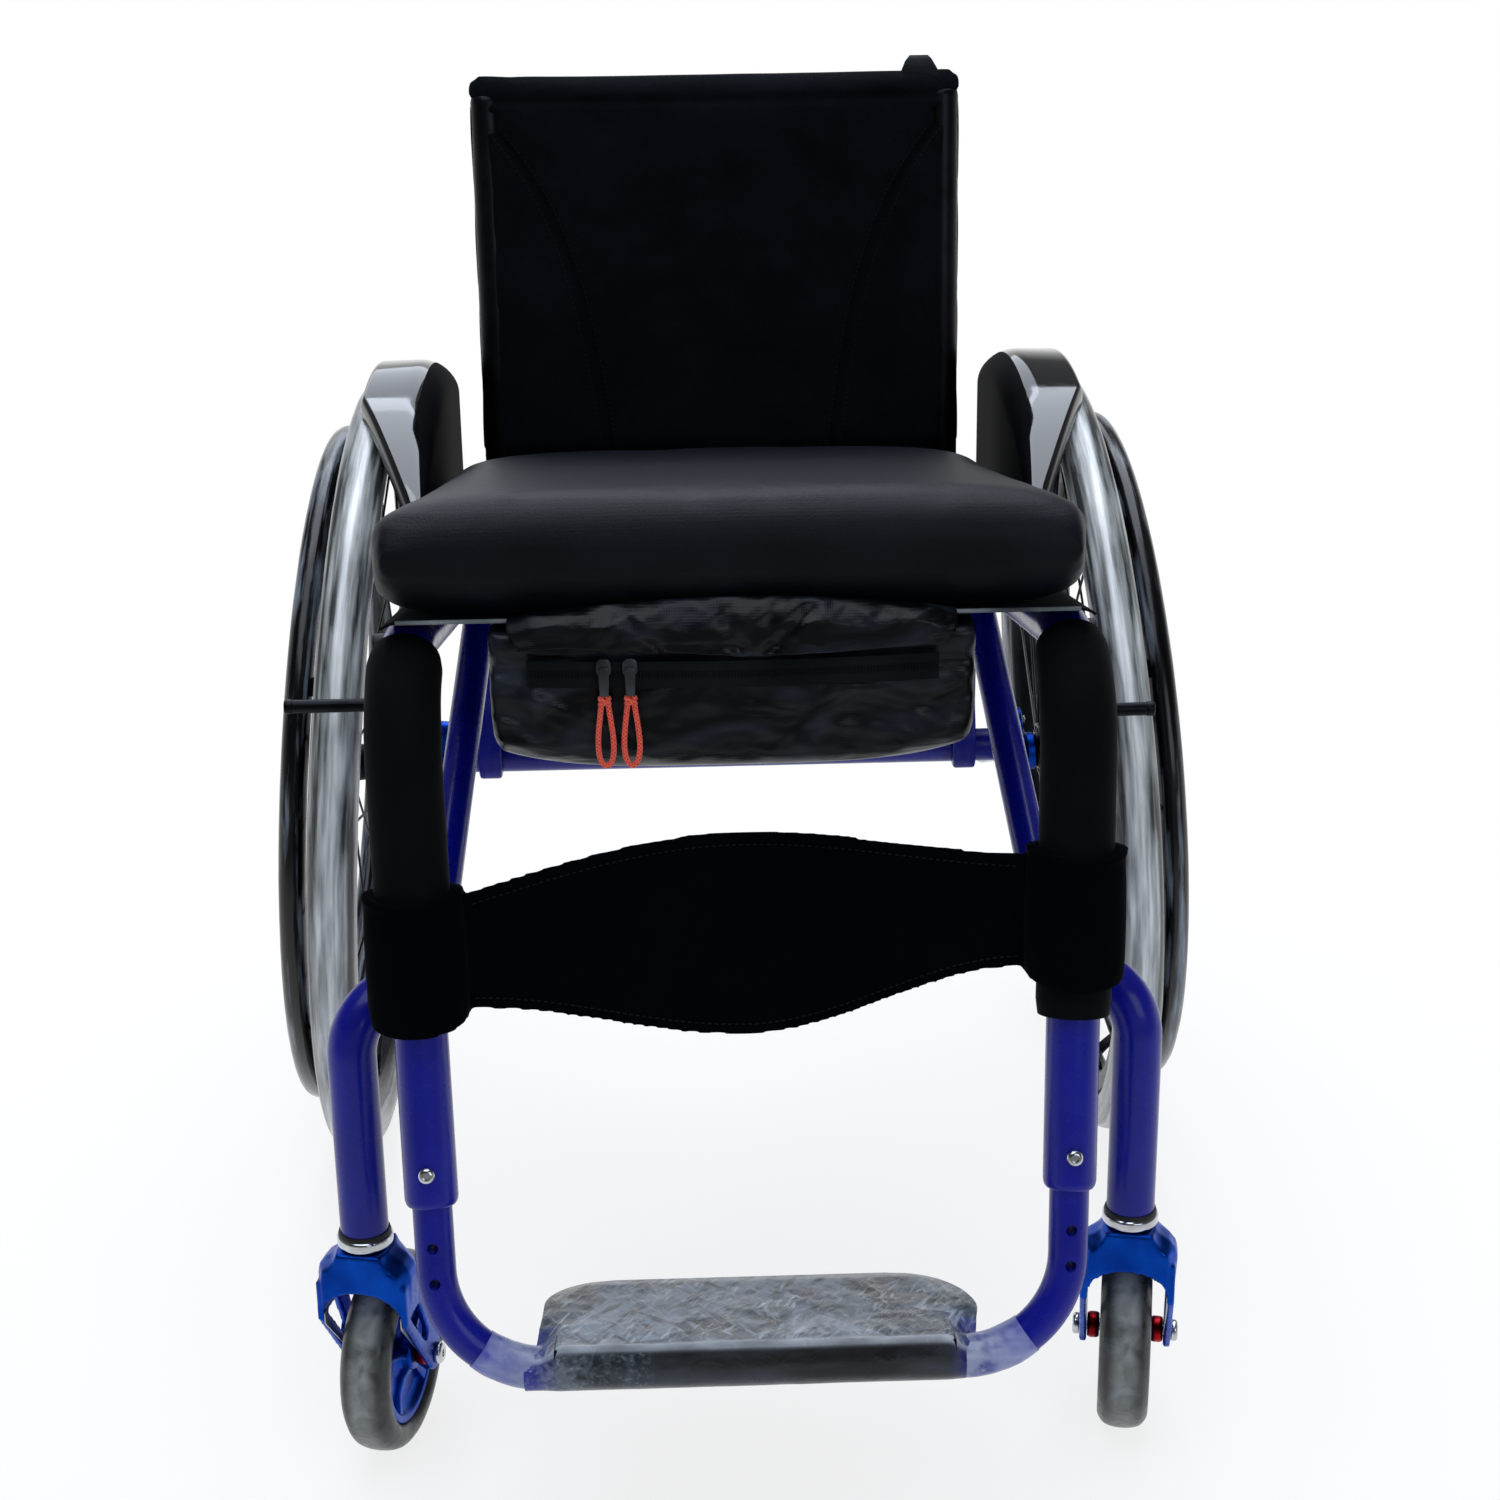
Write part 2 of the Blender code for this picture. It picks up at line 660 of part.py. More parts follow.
def rear_tyre(side, axis, finish):
    half = TYRE_WIDTH / 2
    seat = TYRE_SEAT_RADIUS + GAP
    crown = WHEEL_RADIUS
    profile = [
        (-half * 0.66, seat), (-half, seat + 9), (-half * 0.86, crown - 7), (-half * 0.45, crown - 1.5),
        (0, crown),
        (half * 0.45, crown - 1.5), (half * 0.86, crown - 7), (half, seat + 9), (half * 0.66, seat)]
    solid(f"rear_tyre_{word(side)}", lathe(profile, WHEEL_STEPS), finish, axis)


def rear_rim(side, axis, finish):
    half = RIM_WIDTH / 2
    inner = TYRE_SEAT_RADIUS - RIM_DEPTH
    profile = [
        (-half, TYRE_SEAT_RADIUS), (half, TYRE_SEAT_RADIUS), (half, inner + 8),
        (half * 0.5, inner), (-half * 0.5, inner), (-half, inner + 8)]
    solid(f"rear_rim_{word(side)}", lathe(profile, WHEEL_STEPS), finish, axis)


def rear_hub(side, axis, finish):
    """Hub shell with its spokes, which stop just short of the rim."""
    w = HUB_HALF_WIDTH
    bore = AXLE_RADIUS + GAP
    flange = HUB_FLANGE_RADIUS
    barrel = HUB_BARREL_RADIUS
    profile = [
        (-w, bore), (-w, barrel), (-w + 3, barrel), (-w + 3, flange), (-w + 7, flange),
        (-w + 7, barrel), (w - 7, barrel), (w - 7, flange), (w - 3, flange), (w - 3, barrel),
        (w, barrel), (w, bore)]
    made = solid(f"rear_hub_{word(side)}", lathe(profile, 16), finish, axis)
    spokes = []
    end = TYRE_SEAT_RADIUS - RIM_DEPTH - GAP
    for k in range(SPOKES):
        angle = 2 * math.pi * (k + 0.5) / SPOKES
        lean = 1 if k % 2 else -1
        across = Vector((0, math.cos(angle), math.sin(angle)))
        start = across * (flange - 4) + Vector((lean * (w - 5), 0, 0))
        stop = across * (end * math.cos(math.pi / WHEEL_STEPS)) + Vector((lean * 3, 0, 0))
        spokes.append(rod(start, stop, SPOKE_RADIUS, 4))
    points = []
    faces = []
    for part_points, part_faces in spokes:
        shift = len(points)
        points += part_points
        faces += [tuple(v + shift for v in face) for face in part_faces]
    combine(made, tool(f"spokes_{word(side)}", (points, faces), axis), "UNION")


def handrim(side, axis, finish):
    """Push ring with tabs that reach the rim's outer side."""
    section = arc((HANDRIM_OFFSET, HANDRIM_RADIUS), HANDRIM_TUBE, 0, 308, 6)
    profile = [(side * x, radius) for x, radius in section]
    made = solid(f"handrim_{word(side)}", lathe(profile, WHEEL_STEPS), finish, axis)
    inner = RIM_WIDTH / 2 + GAP
    for k in range(HANDRIM_TABS):
        angle = 2 * math.pi * (k + 0.5) / HANDRIM_TABS
        across = Vector((0, math.cos(angle), math.sin(angle)))
        along = Vector((0, -math.sin(angle), math.cos(angle)))
        rings = []
        for x, radius, half in ((inner, TYRE_SEAT_RADIUS - 5.0, 8.0), (HANDRIM_OFFSET, HANDRIM_RADIUS, 6.0)):
            centre = across * radius + Vector((side * x, 0, 0))
            rise = across * 2.0
            rings.append([
                centre + along * half + rise, centre - along * half + rise,
                centre - along * half - rise, centre + along * half - rise])
        tab = tool(f"handrim_tab_{word(side)}_{k}", loft(rings), axis)
        combine(made, tab, "UNION")


def axle_receiver(side, axis, finish):
    inner = side * RECEIVER_INNER
    outer = side * (RECEIVER_INNER + RECEIVER_LENGTH)
    bore = AXLE_RADIUS + GAP
    profile = [
        (inner, bore), (inner, RECEIVER_RADIUS - RECEIVER_CHAMFER), (inner + side * 3, RECEIVER_RADIUS),
        (outer - side * 8, RECEIVER_RADIUS), (outer - side * 6, HUB_BARREL_RADIUS),
        (outer, HUB_BARREL_RADIUS), (outer, bore)]
    made = solid(f"axle_receiver_{word(side)}", lathe(profile, 16), finish, axis)
    half = RECEIVER_RADIUS * 0.6
    ear = [(-half, HUB_BARREL_RADIUS), (half, HUB_BARREL_RADIUS)] + arc((0, RECEIVER_EAR - half), half, 0, 180, 6)
    low, high = sorted((inner + side * 1, inner + side * (RECEIVER_LENGTH - 9)))
    combine(made, tool(f"receiver_ear_{word(side)}", prism(ear, low, high), axis), "UNION")


def axle_pin(side, axis, finish):
    """Quick-release axle with a socket in its head for the release button."""
    head = HUB_HALF_WIDTH + GAP
    end = head + AXLE_HEAD_LENGTH
    socket = end - BUTTON_TRAVEL - BUTTON_DEPTH
    start = RECEIVER_INNER - AXLE_PAST_RECEIVER
    bore = BUTTON_RADIUS + GAP
    profile = [
        (start, 0), (start, AXLE_RADIUS - AXLE_CHAMFER), (start + 3, AXLE_RADIUS), (head, AXLE_RADIUS),
        (head, AXLE_HEAD_RADIUS), (end - AXLE_CHAMFER, AXLE_HEAD_RADIUS),
        (end, AXLE_HEAD_RADIUS - AXLE_CHAMFER),
        (end, bore), (socket, bore), (socket, 0)]
    profile = [(side * x, radius) for x, radius in profile]
    solid(f"axle_pin_{word(side)}", lathe(profile, 16, closed=False), finish, axis)


def axle_button(side, axis, finish):
    end = HUB_HALF_WIDTH + GAP + AXLE_HEAD_LENGTH
    start = end - BUTTON_DEPTH + GAP
    tip = end + BUTTON_PROUD
    place = empty(f"button_place_{word(side)}", (side * start, 0, 0), parent=axis)
    length = tip - start
    profile = [(0, 0), (0, BUTTON_RADIUS), (length - 1, BUTTON_RADIUS), (length, BUTTON_RADIUS - 1), (length, 0)]
    profile = [(side * x, radius) for x, radius in profile]
    solid(f"axle_button_{word(side)}", lathe(profile, 12, closed=False), finish, place)


def stem_ring(side, root, finish):
    place = empty(
        f"ring_place_{word(side)}",
        (side * STEM_SPREAD / 2, -STEM_FORWARD, HOUSING_BOTTOM - GAP),
        (0, math.pi / 2, 0), parent=root)
    bore = SPINDLE_RADIUS + GAP
    profile = [
        (0, bore), (0, HOUSING_RADIUS), (2, RING_RADIUS), (RING_HEIGHT - 2, RING_RADIUS),
        (RING_HEIGHT, RING_RADIUS - 2), (RING_HEIGHT, bore)]
    solid(f"stem_ring_{word(side)}", lathe(profile, 16), finish, place)


def fork(side, swivel, finish):
    """Bell-shaped crown over an arch, two windowed arms and the spindle that turns in the housing."""
    outer = FORK_INSIDE / 2 + FORK_ARM
    inside = FORK_INSIDE / 2
    arch = CASTER_RADIUS * 2 + FORK_ARCH
    shoulder = CROWN_TOP - FORK_SHOULDER_DROP
    low = arch - FORK_ARCH_SPRING
    outline = [
        (outer, low), (outer + 1, shoulder - 4), (outer + 1.2, shoulder), (outer, shoulder + 6),
        (outer - 4, shoulder + 11), (RING_RADIUS + 1, shoulder + 15), (RING_RADIUS - 2, CROWN_TOP)]
    outline += [(-x, z) for x, z in reversed(outline)]
    under = arc((0, low), 1, 180, 0, 8)
    outline += [(x * inside, low + (z - low) * (arch - low)) for x, z in under]
    made = solid(
        f"fork_{word(side)}",
        prism(outline, -FORK_HALF_DEPTH, FORK_HALF_DEPTH, "Y"), finish, swivel)
    arm = [(-FORK_HALF_DEPTH + 0.5, shoulder - 2), (-FORK_HALF_DEPTH + 0.5, low - 6)]
    arm += arc((CASTER_TRAIL, CASTER_RADIUS), FORK_BOSS_RADIUS, 200, 375, 8)
    arm += [(FORK_HALF_DEPTH - 0.5, shoulder - 2)]
    window = [(-9, low - 3), (9, low - 3), (22, CASTER_RADIUS + 24), (17, CASTER_RADIUS + 18)]
    for number, place in enumerate((-1, 1)):
        start = place * (inside + 0.2) if place > 0 else place * (outer - 0.2)
        plate = prism(arm, start, start + FORK_ARM - 0.4)
        combine(made, tool(f"arm_{word(side)}_{number}", plate, swivel), "UNION")
    reach = outer + LIP
    combine(made, tool(f"arm_window_{word(side)}", prism(window, -reach, reach), swivel), "DIFFERENCE")
    start = (-reach, CASTER_TRAIL, CASTER_RADIUS)
    end = (reach, CASTER_TRAIL, CASTER_RADIUS)
    hole = tool(f"fork_hole_{word(side)}", rod(start, end, CASTER_AXLE_RADIUS + GAP, 14), swivel)
    combine(made, hole, "DIFFERENCE")
    start = (0, 0, CROWN_TOP - 6)
    end = (0, 0, CROWN_TOP + SPINDLE_LENGTH)
    combine(made, tool(f"spindle_{word(side)}", rod(start, end, SPINDLE_RADIUS, 12), swivel), "UNION")


def caster_wheel(side, axis, tyre_finish, hub_finish):
    half = CASTER_WIDTH / 2
    seat = CASTER_SEAT_RADIUS
    crown = CASTER_RADIUS
    tread = [
        (-half * 0.8, seat + GAP), (-half, seat + 4), (-half, crown - 7), (-half * 0.6, crown - 1.5), (0, crown),
        (half * 0.6, crown - 1.5), (half, crown - 7), (half, seat + 4), (half * 0.8, seat + GAP)]
    solid(f"caster_tyre_{word(side)}", lathe(tread, CASTER_STEPS), tyre_finish, axis)
    bore = CASTER_AXLE_RADIUS + GAP
    face = [(half, bore), (half, 11), (half * 0.55, 13), (half * 0.4, seat - 7), (half * 0.8, seat - 4)]
    profile = face + [(half * 0.8, seat), (-half * 0.8, seat)] + [(-x, r) for x, r in reversed(face)]
    solid(f"caster_hub_{word(side)}", lathe(profile, CASTER_STEPS), hub_finish, axis)


def caster_axle(side, axis, finish):
    end = FORK_INSIDE / 2 + FORK_ARM + GAP
    head = end + 4.5
    half = [(end, CASTER_AXLE_RADIUS), (end, CASTER_HEAD_RADIUS), (head, CASTER_HEAD_RADIUS), (head, 0)]
    profile = [(-x, radius) for x, radius in reversed(half)] + half
    solid(f"caster_axle_{word(side)}", lathe(profile, 12, closed=False), finish, axis)


def back_bracket(side, root, finish):
    """Ear on the seat rail with the stud that the back post folds on."""
    outline = arc((HINGE_BEHIND_AXLE, HINGE_HEIGHT), BRACKET_RADIUS, -10, 190, 8)
    foot = seat_z(HINGE_BEHIND_AXLE) + 2
    outline += [(HINGE_BEHIND_AXLE - BRACKET_FOOT, foot), (HINGE_BEHIND_AXLE + BRACKET_FOOT, foot)]
    low, high = sorted((side * BRACKET_INNER, side * BRACKET_OUTER))
    made = solid(f"back_bracket_{word(side)}", prism(outline, low, high), finish, root)
    combine(made, rail_tool(side, root, f"bracket_rail_cut_{word(side)}"), "DIFFERENCE")
    start = (side * (POST_SPREAD / 2 - POST_RADIUS - 2), HINGE_BEHIND_AXLE, HINGE_HEIGHT)
    end = (side * (BRACKET_OUTER + STUD_PROUD), HINGE_BEHIND_AXLE, HINGE_HEIGHT)
    combine(made, tool(f"stud_{word(side)}", rod(start, end, HINGE_PIN_RADIUS, 12), root), "UNION")


def back_post(side, hinge, finish):
    x = side * POST_SPREAD / 2
    path = [(x, 0, -POST_FOOT), (x, 0, -POST_FOOT + 4), (x, 0, POST_LENGTH)]
    radii = [POST_RADIUS - 4, POST_RADIUS, POST_RADIUS]
    made = solid(f"back_post_{word(side)}", tube(path, radii, 16), finish, hinge)
    start = (x - 2 * POST_RADIUS, 0, 0)
    end = (x + 2 * POST_RADIUS, 0, 0)
    hole = tool(f"post_hole_{word(side)}", rod(start, end, HINGE_PIN_RADIUS + GAP, 12), hinge)
    combine(made, hole, "DIFFERENCE")


def back_bar(hinge, finish):
    reach = POST_SPREAD / 2
    made = solid(
        "back_cross_bar",
        rod((-reach, 0, BACK_BAR_RISE), (reach, 0, BACK_BAR_RISE), BACK_BAR_RADIUS, 12), finish, hinge)
    for side in (1, -1):
        start = (side * reach, 0, -POST_FOOT)
        end = (side * reach, 0, BACK_BAR_RISE * 3)
        cut = tool(f"bar_post_cut_{word(side)}", rod(start, end, POST_RADIUS + CUT, 28), hinge)
        combine(made, cut, "DIFFERENCE")


def panel_half_width(height):
    """Where the curved seam of the back's middle panel lies at a height above the hinge."""
    high = BACK_WIDTH / 2 - BACK_SEAM_MARGIN
    share = min(max((height - BACK_BOTTOM) / (BACK_TOP - BACK_SEAM_FALL - BACK_BOTTOM), 0), 1)
    return BACK_SEAM_LOW + (high - BACK_SEAM_LOW) * (0.45 * share + 0.55 * share ** 4)


def back_ring(height, depth_share):
    """One level of the back upholstery: padded front, seam channels, round edges, flat rear."""
    seam = panel_half_width(height)
    edge = BACK_WIDTH / 2 - BACK_EDGE
    front = [
        (0.0, 1.0), (seam * 0.4, 0.97), (seam * 0.8, 0.8), (seam * 0.95, 0.55), (seam, 0.15),
        (seam + (edge - seam) * 0.2, 0.42), (seam + (edge - seam) * 0.7, 0.28)]
    outline = [(-x, -(BACK_EDGE + BACK_PAD * rise) * depth_share) for x, rise in reversed(front[1:])]
    outline += [(x, -(BACK_EDGE + BACK_PAD * rise) * depth_share) for x, rise in front]
    for angle in (-90, -45, 0, 45, 90):
        turn = math.radians(angle)
        x = edge + BACK_EDGE * math.cos(turn)
        outline.append((x, BACK_EDGE * math.sin(turn) * depth_share))
    outline += [(0.0, BACK_EDGE * depth_share)]
    for angle in (90, 45, 0, -45, -90):
        turn = math.radians(angle)
        x = edge + BACK_EDGE * math.cos(turn)
        outline.append((-x, BACK_EDGE * math.sin(turn) * depth_share))
    return [(x, y, height) for x, y in outline]


def back_upholstery(hinge, finish):
    """Padded back cover that slips over both posts."""
    rings = [back_ring(BACK_BOTTOM, 0.82), back_ring(BACK_BOTTOM + 8, 1.0)]
    steps = 7
    top = BACK_TOP - BACK_CREASE
    for i in range(1, steps + 1):
        rings.append(back_ring(BACK_BOTTOM + 8 + (top - BACK_BOTTOM - 8) * i / steps, 1.0))
    rings.append(back_ring(top + 5, 0.93))
    for drop, depth, width in ((7, 0.88, 0.985), (2.5, 0.8, 0.955), (0, 0.55, 0.9)):
        rings.append([(x * width, y, z) for x, y, z in back_ring(BACK_TOP - drop, depth)])
    made = solid("back_upholstery", loft(rings), finish, hinge)
    for side in (1, -1):
        x = side * POST_SPREAD / 2
        start = (x, 0, BACK_BOTTOM - 10)
        end = (x, 0, POST_LENGTH + 2 * GAP)
        pocket = tool(f"post_pocket_{word(side)}", rod(start, end, POST_RADIUS + GAP, 16), hinge)
        combine(made, pocket, "DIFFERENCE")


def seat_sling(root, finish):
    """Sling stretched over both seat rails."""
    rings = []
    for y in (-SLING_FRONT, -SLING_REAR):
        half = rail_point(1, y).x + TUBE_RADIUS * 0.7
        low = seat_z(y) + SLING_BOTTOM_RISE
        high = low + SLING_THICKNESS
        rings.append([(-half, y, low), (half, y, low), (half, y, high), (-half, y, high)])
    solid("seat_sling", loft(rings), finish, root, smooth=False)


def cushion_ring(y, height_share, inset):
    """One slice across the cushion."""
    half = cushion_half(y) - inset
    bottom = seat_z(y) + CUSHION_RISE
    middle = bottom + CUSHION_THICKNESS / 2
    rise = CUSHION_THICKNESS / 2 * height_share
    ring = []
    for k in range(24):
        angle = 2 * math.pi * (k + 0.5) / 24
        c = math.cos(angle)
        s = math.sin(angle)
        x = half * math.copysign(abs(c) ** CUSHION_SIDE_SHARPNESS, c)
        z = rise * math.copysign(abs(s) ** CUSHION_EDGE_SHARPNESS, s)
        if s > 0:
            z += CUSHION_CROWN * height_share * (1 - (x / half) ** 2)
            x *= 0.985
        ring.append((CUSHION_SHIFT + x, y, middle + z))
    return ring


def seat_cushion(root, finish):
    """Foam cushion with a rolled front edge, a crowned top and drawn-in sides."""
    rings = []
    for share in (0.03, 0.22, 0.5, 0.78):
        fall = math.sqrt(1 - (1 - share) ** 2)
        rings.append(cushion_ring(-CUSHION_FRONT + CUSHION_ROLL * share, fall, 10 * (1 - share)))
    start = -CUSHION_FRONT + CUSHION_ROLL
    end = -CUSHION_REAR - CUSHION_ROLL / 2
    for i in range(7):
        rings.append(cushion_ring(start + (end - start) * i / 6, 1.0, 0.0))
    for share in (0.6, 0.15):
        fall = math.sqrt(1 - (1 - share) ** 2)
        rings.append(cushion_ring(-CUSHION_REAR - CUSHION_ROLL / 2 * share, fall, 5 * (1 - share)))
    solid("seat_cushion", loft(rings), finish, root)


def foam_cover(side, root, finish):
    """Foam tube over the front tube, from the knee to the calf strap's lower edge."""
    path = side_path(side)[3:-1]
    path.append(front_line(side, FOAM_BOTTOM))
    shape = pipe(path, FOAM_RADIUS, TUBE_RADIUS + 2 * GAP, 16)
    solid(f"foam_cover_{word(side)}", shape, finish, root)


def strap_level(side, share):
    return front_line(side, STRAP_MIDDLE[side] + share * STRAP_LOOP_HEIGHT / 2)


def calf_strap(root, finish):
    """Neoprene strap with a loop round each foam cover and a deeper, set-back middle."""
    inner = FOAM_RADIUS + 2 * GAP
    outer = inner + STRAP_THICKNESS
    stations = 16
    reach = front_line(1, STRAP_CENTRE_HEIGHT).x - FOAM_RADIUS
    rings = []
    for i in range(stations + 1):
        x = reach * (2 * i / stations - 1)
        share = abs(x) / reach
        bulge = 0.5 + 0.5 * math.cos(math.pi * min(share * 1.05, 1))
        end = 1 if x > 0 else -1
        neck = STRAP_NECK_HEIGHT / 2
        belly = STRAP_MID_HEIGHT / 2
        rise = 1 - share ** 2.5
        high = STRAP_MIDDLE[end] + neck + (STRAP_CENTRE_HEIGHT + belly - STRAP_MIDDLE[end] - neck) * rise
        low = STRAP_MIDDLE[end] - neck + (STRAP_CENTRE_HEIGHT - belly - STRAP_MIDDLE[end] + neck) * bulge
        middle = (high + low) / 2
        half = (high - low) / 2
        y = front_line(end, middle).y + STRAP_SETBACK * bulge + 6.0
        lean = front_line(1, middle + half).y - front_line(1, middle - half).y
        rings.append([
            (x, y - lean / 2, middle - half), (x, y - lean / 2 + STRAP_THICKNESS, middle - half),
            (x, y + lean / 2 + STRAP_THICKNESS, middle + half), (x, y + lean / 2, middle + half)])
    made = solid("calf_strap", loft(rings), finish, root)
    for side in (1, -1):
        sleeve = rod(strap_level(side, -1), strap_level(side, 1), outer, 20)
        combine(made, tool(f"strap_loop_{word(side)}", sleeve, root), "UNION")
        bore = rod(strap_level(side, -1.5), strap_level(side, 1.5), inner, 16)
        combine(made, tool(f"strap_bore_{word(side)}", bore, root), "DIFFERENCE")


def pouch(root, finish):
    """Nylon pouch under the sling's front, with a flap over the sling's hem."""
    rings = []
    rear = -POUCH_FRONT + POUCH_DEPTH
    half = POUCH_WIDTH / 2
    for share in (-1, -0.97, -0.86, -0.82, -0.5, 0, 0.5, 0.82, 0.86, 0.97, 1):
        x = POUCH_SHIFT + share * half
        inset = POUCH_END_INSET if abs(share) == 1 else 0.0
        bottom = POUCH_BOTTOM + POUCH_SAG * share ** 4 + inset
        hem = seat_z(-SLING_FRONT) + SLING_BOTTOM_RISE
        across = share * POUCH_WIDTH / POUCH_FLAP_WIDTH
        flap = hem + 4 + POUCH_FLAP_RISE * (1 - across ** 2) if abs(across) <= 1 else hem - 18
        front = -POUCH_FRONT + inset / 2
        under = seat_z(rear) + SLING_BOTTOM_RISE - 2 * GAP
        rings.append([
            (x, front + 16, bottom), (x, front + 4, bottom + 14), (x, front, hem - POUCH_FACE),
            (x, front, flap), (x, -SLING_FRONT - 2.0, flap), (x, -SLING_FRONT - 1.0, hem - 4),
            (x, rear, under - 4 - inset), (x, rear - 6, bottom + 8)])
    solid("pouch", loft(rings), finish, root)


def zip_slider(letter, root, finish):
    width, depth, height = SLIDER_SIZE
    face = -POUCH_FRONT - 2 * GAP
    place = empty(f"slider_place_{letter}", (SLIDER_PLACES[letter], face, SLIDER_BOTTOM), parent=root)
    outline = [
        (-width / 2 + 1.5, 0), (width / 2 - 1.5, 0), (width / 2, 4), (width / 2, height - 3),
        (width / 2 - 2, height), (-width / 2 + 2, height), (-width / 2, height - 3), (-width / 2, 4)]
    solid(f"zip_slider_{letter}", prism(outline, -depth, 0, "Y"), finish, place, smooth=False)


def pull_route(letter):
    """Points of the cord loop under a slider, from one end down and round to the other."""
    x = SLIDER_PLACES[letter]
    y = -POUCH_FRONT - 2 * GAP - SLIDER_SIZE[1] / 2
    top = SLIDER_BOTTOM - GAP
    points = []
    for k in range(17):
        angle = math.pi * (k / 8 - 1)
        drop = (1 + math.cos(angle)) / 2
        spread = PULL_ENTRY * (1 - math.sin(math.pi * k / 16)) + PULL_SPREAD * math.sin(math.pi * k / 16)
        turn = math.cos(math.pi * k / 16)
        points.append((x - spread * turn, y, top - PULL_DROP * drop))
    return points


def zip_pull(letter, root, finish):
    line = bpy.data.curves.new(f"zip_pull_{letter}", "CURVE")
    line.dimensions = "3D"
    line.bevel_depth = PULL_RADIUS * MM
    line.bevel_resolution = 2
    line.use_fill_caps = True
    route = pull_route(letter)
    spline = line.splines.new("POLY")
    spline.points.add(len(route) - 1)
    for point, place in zip(spline.points, route):
        point.co = (*(Vector(place) * MM), 1.0)
    line.materials.append(finish)
    made = bpy.data.objects.new(f"zip_pull_{letter}", line)
    made.parent = root
    bpy.context.scene.collection.objects.link(made)


def guard_section(side, angle):
    """One slice of a side guard: wall, broad rounded top and lip over the tyre."""
    along = (angle - GUARD_FRONT_ANGLE) / (GUARD_REAR_ANGLE - GUARD_FRONT_ANGLE)
    radius = WHEEL_RADIUS + GUARD_CLEARANCE
    y = radius * math.sin(angle)
    top = HUB_HEIGHT + radius * math.cos(angle)
    reach = GUARD_REACH * min(1.0, 0.12 + 1.9 * along)
    bend = min(GUARD_ROUND, reach * 0.45)
    lip = min(GUARD_LIP, reach * 0.5)
    t = GUARD_THICKNESS
    line = [(0, seat_z(y))] + arc((bend, top - bend + t), bend, 180, 90, 4)
    line += [(reach - 4, top + t - 1), (reach, top - 3), (reach, top - lip)]
    back = [(reach - t, top - lip), (reach - t, top - 3), (reach - 5, top - 1)]
    back += arc((bend, top - bend + t), bend - t, 90, 180, 4) + [(t, seat_z(y))]
    wall = guard_wall()
    return [(side * (wall + x), y, z) for x, z in line + back]


def side_guard(side, root, finish):
    rings = []
    for i in range(GUARD_STATIONS):
        share = i / (GUARD_STATIONS - 1)
        rings.append(guard_section(side, GUARD_FRONT_ANGLE + (GUARD_REAR_ANGLE - GUARD_FRONT_ANGLE) * share))
    solid(f"side_guard_{word(side)}", loft(rings), finish, root)


def brake_layer(number):
    """Inner face of the mounting plate, of the lever outside it, and of the arm outside that."""
    plate = rail_point(1, -BRAKE_FORWARD).x + TUBE_RADIUS + 2 * GAP
    return (plate, plate + BRAKE_PLATE + GAP, plate + BRAKE_PLATE + BRAKE_ARM + 2 * GAP)[number]


def brake_mount(side, root, finish):
    """Plate on the seat rail with a stud for the lever and one for the arm."""
    inner = brake_layer(0)
    low, high = sorted((side * inner, side * (inner + BRAKE_PLATE)))
    lever = (-LEVER_PIVOT_FORWARD, LEVER_PIVOT_HEIGHT)
    pivot = (-BRAKE_FORWARD, BRAKE_PIVOT_HEIGHT)
    plate = prism(strip(lever, pivot, BRAKE_PLATE_HALF), low, high)
    made = solid(f"brake_mount_{word(side)}", plate, finish, root, smooth=False)
    for number, place, layer in ((1, lever, 1), (2, pivot, 2)):
        start = (side * (inner + 1), *place)
        end = (side * (brake_layer(layer) + BRAKE_ARM + GAP), *place)
        stud = tool(f"brake_stud_{word(side)}_{number}", rod(start, end, BRAKE_STUD_RADIUS, 12), root)
        combine(made, stud, "UNION")


def strip(start, end, half):
    """Flat link with round ends, as an outline."""
    direction = math.degrees(math.atan2(end[1] - start[1], end[0] - start[0]))
    outline = arc(end, half, direction - 90, direction + 90, 5)
    return outline + arc(start, half, direction + 90, direction + 270, 5)


def link(name, side, run, layer, half, pivot, finish):
    """Flat arm turning on a stud at its own origin."""
    inner = brake_layer(layer)
    low, high = sorted((side * inner, side * (inner + BRAKE_ARM)))
    made = solid(f"{name}_{word(side)}", prism(strip((0, 0), run, half), low, high), finish, pivot)
    start = (side * (inner - LIP), 0, 0)
    end = (side * (inner + BRAKE_ARM + LIP), 0, 0)
    hole = tool(f"{name}_hole_{word(side)}", rod(start, end, BRAKE_STUD_RADIUS + GAP, 12), pivot)
    combine(made, hole, "DIFFERENCE")
    return made


def brake_bar(side, pivot, finish):
    """Arm that swings the tyre bar back against the tread."""
    y, z = brake_bar_place(side)
    run = (y + BRAKE_FORWARD, z - BRAKE_PIVOT_HEIGHT)
    made = link("brake_bar", side, run, 2, BRAKE_ARM_HALF, pivot, finish)
    start = (side * (brake_layer(2) + 1), *run)
    end = (side * BRAKE_BAR_END[side], *run)
    combine(made, tool(f"tyre_bar_{word(side)}", rod(start, end, BRAKE_BAR_RADIUS, 12), pivot), "UNION")


def brake_lever(side, pivot, finish):
    run = (-LEVER_LENGTH, LEVER_RISE)
    made = link("brake_lever", side, run, 1, BRAKE_ARM_HALF - 0.5, pivot, finish)
    inner = brake_layer(1)
    start = (side * inner, *run)
    end = (side * (inner + LEVER_GRIP_LENGTH), *run)
    combine(made, tool(f"grip_{word(side)}", rod(start, end, LEVER_GRIP_RADIUS, 12), pivot), "UNION")


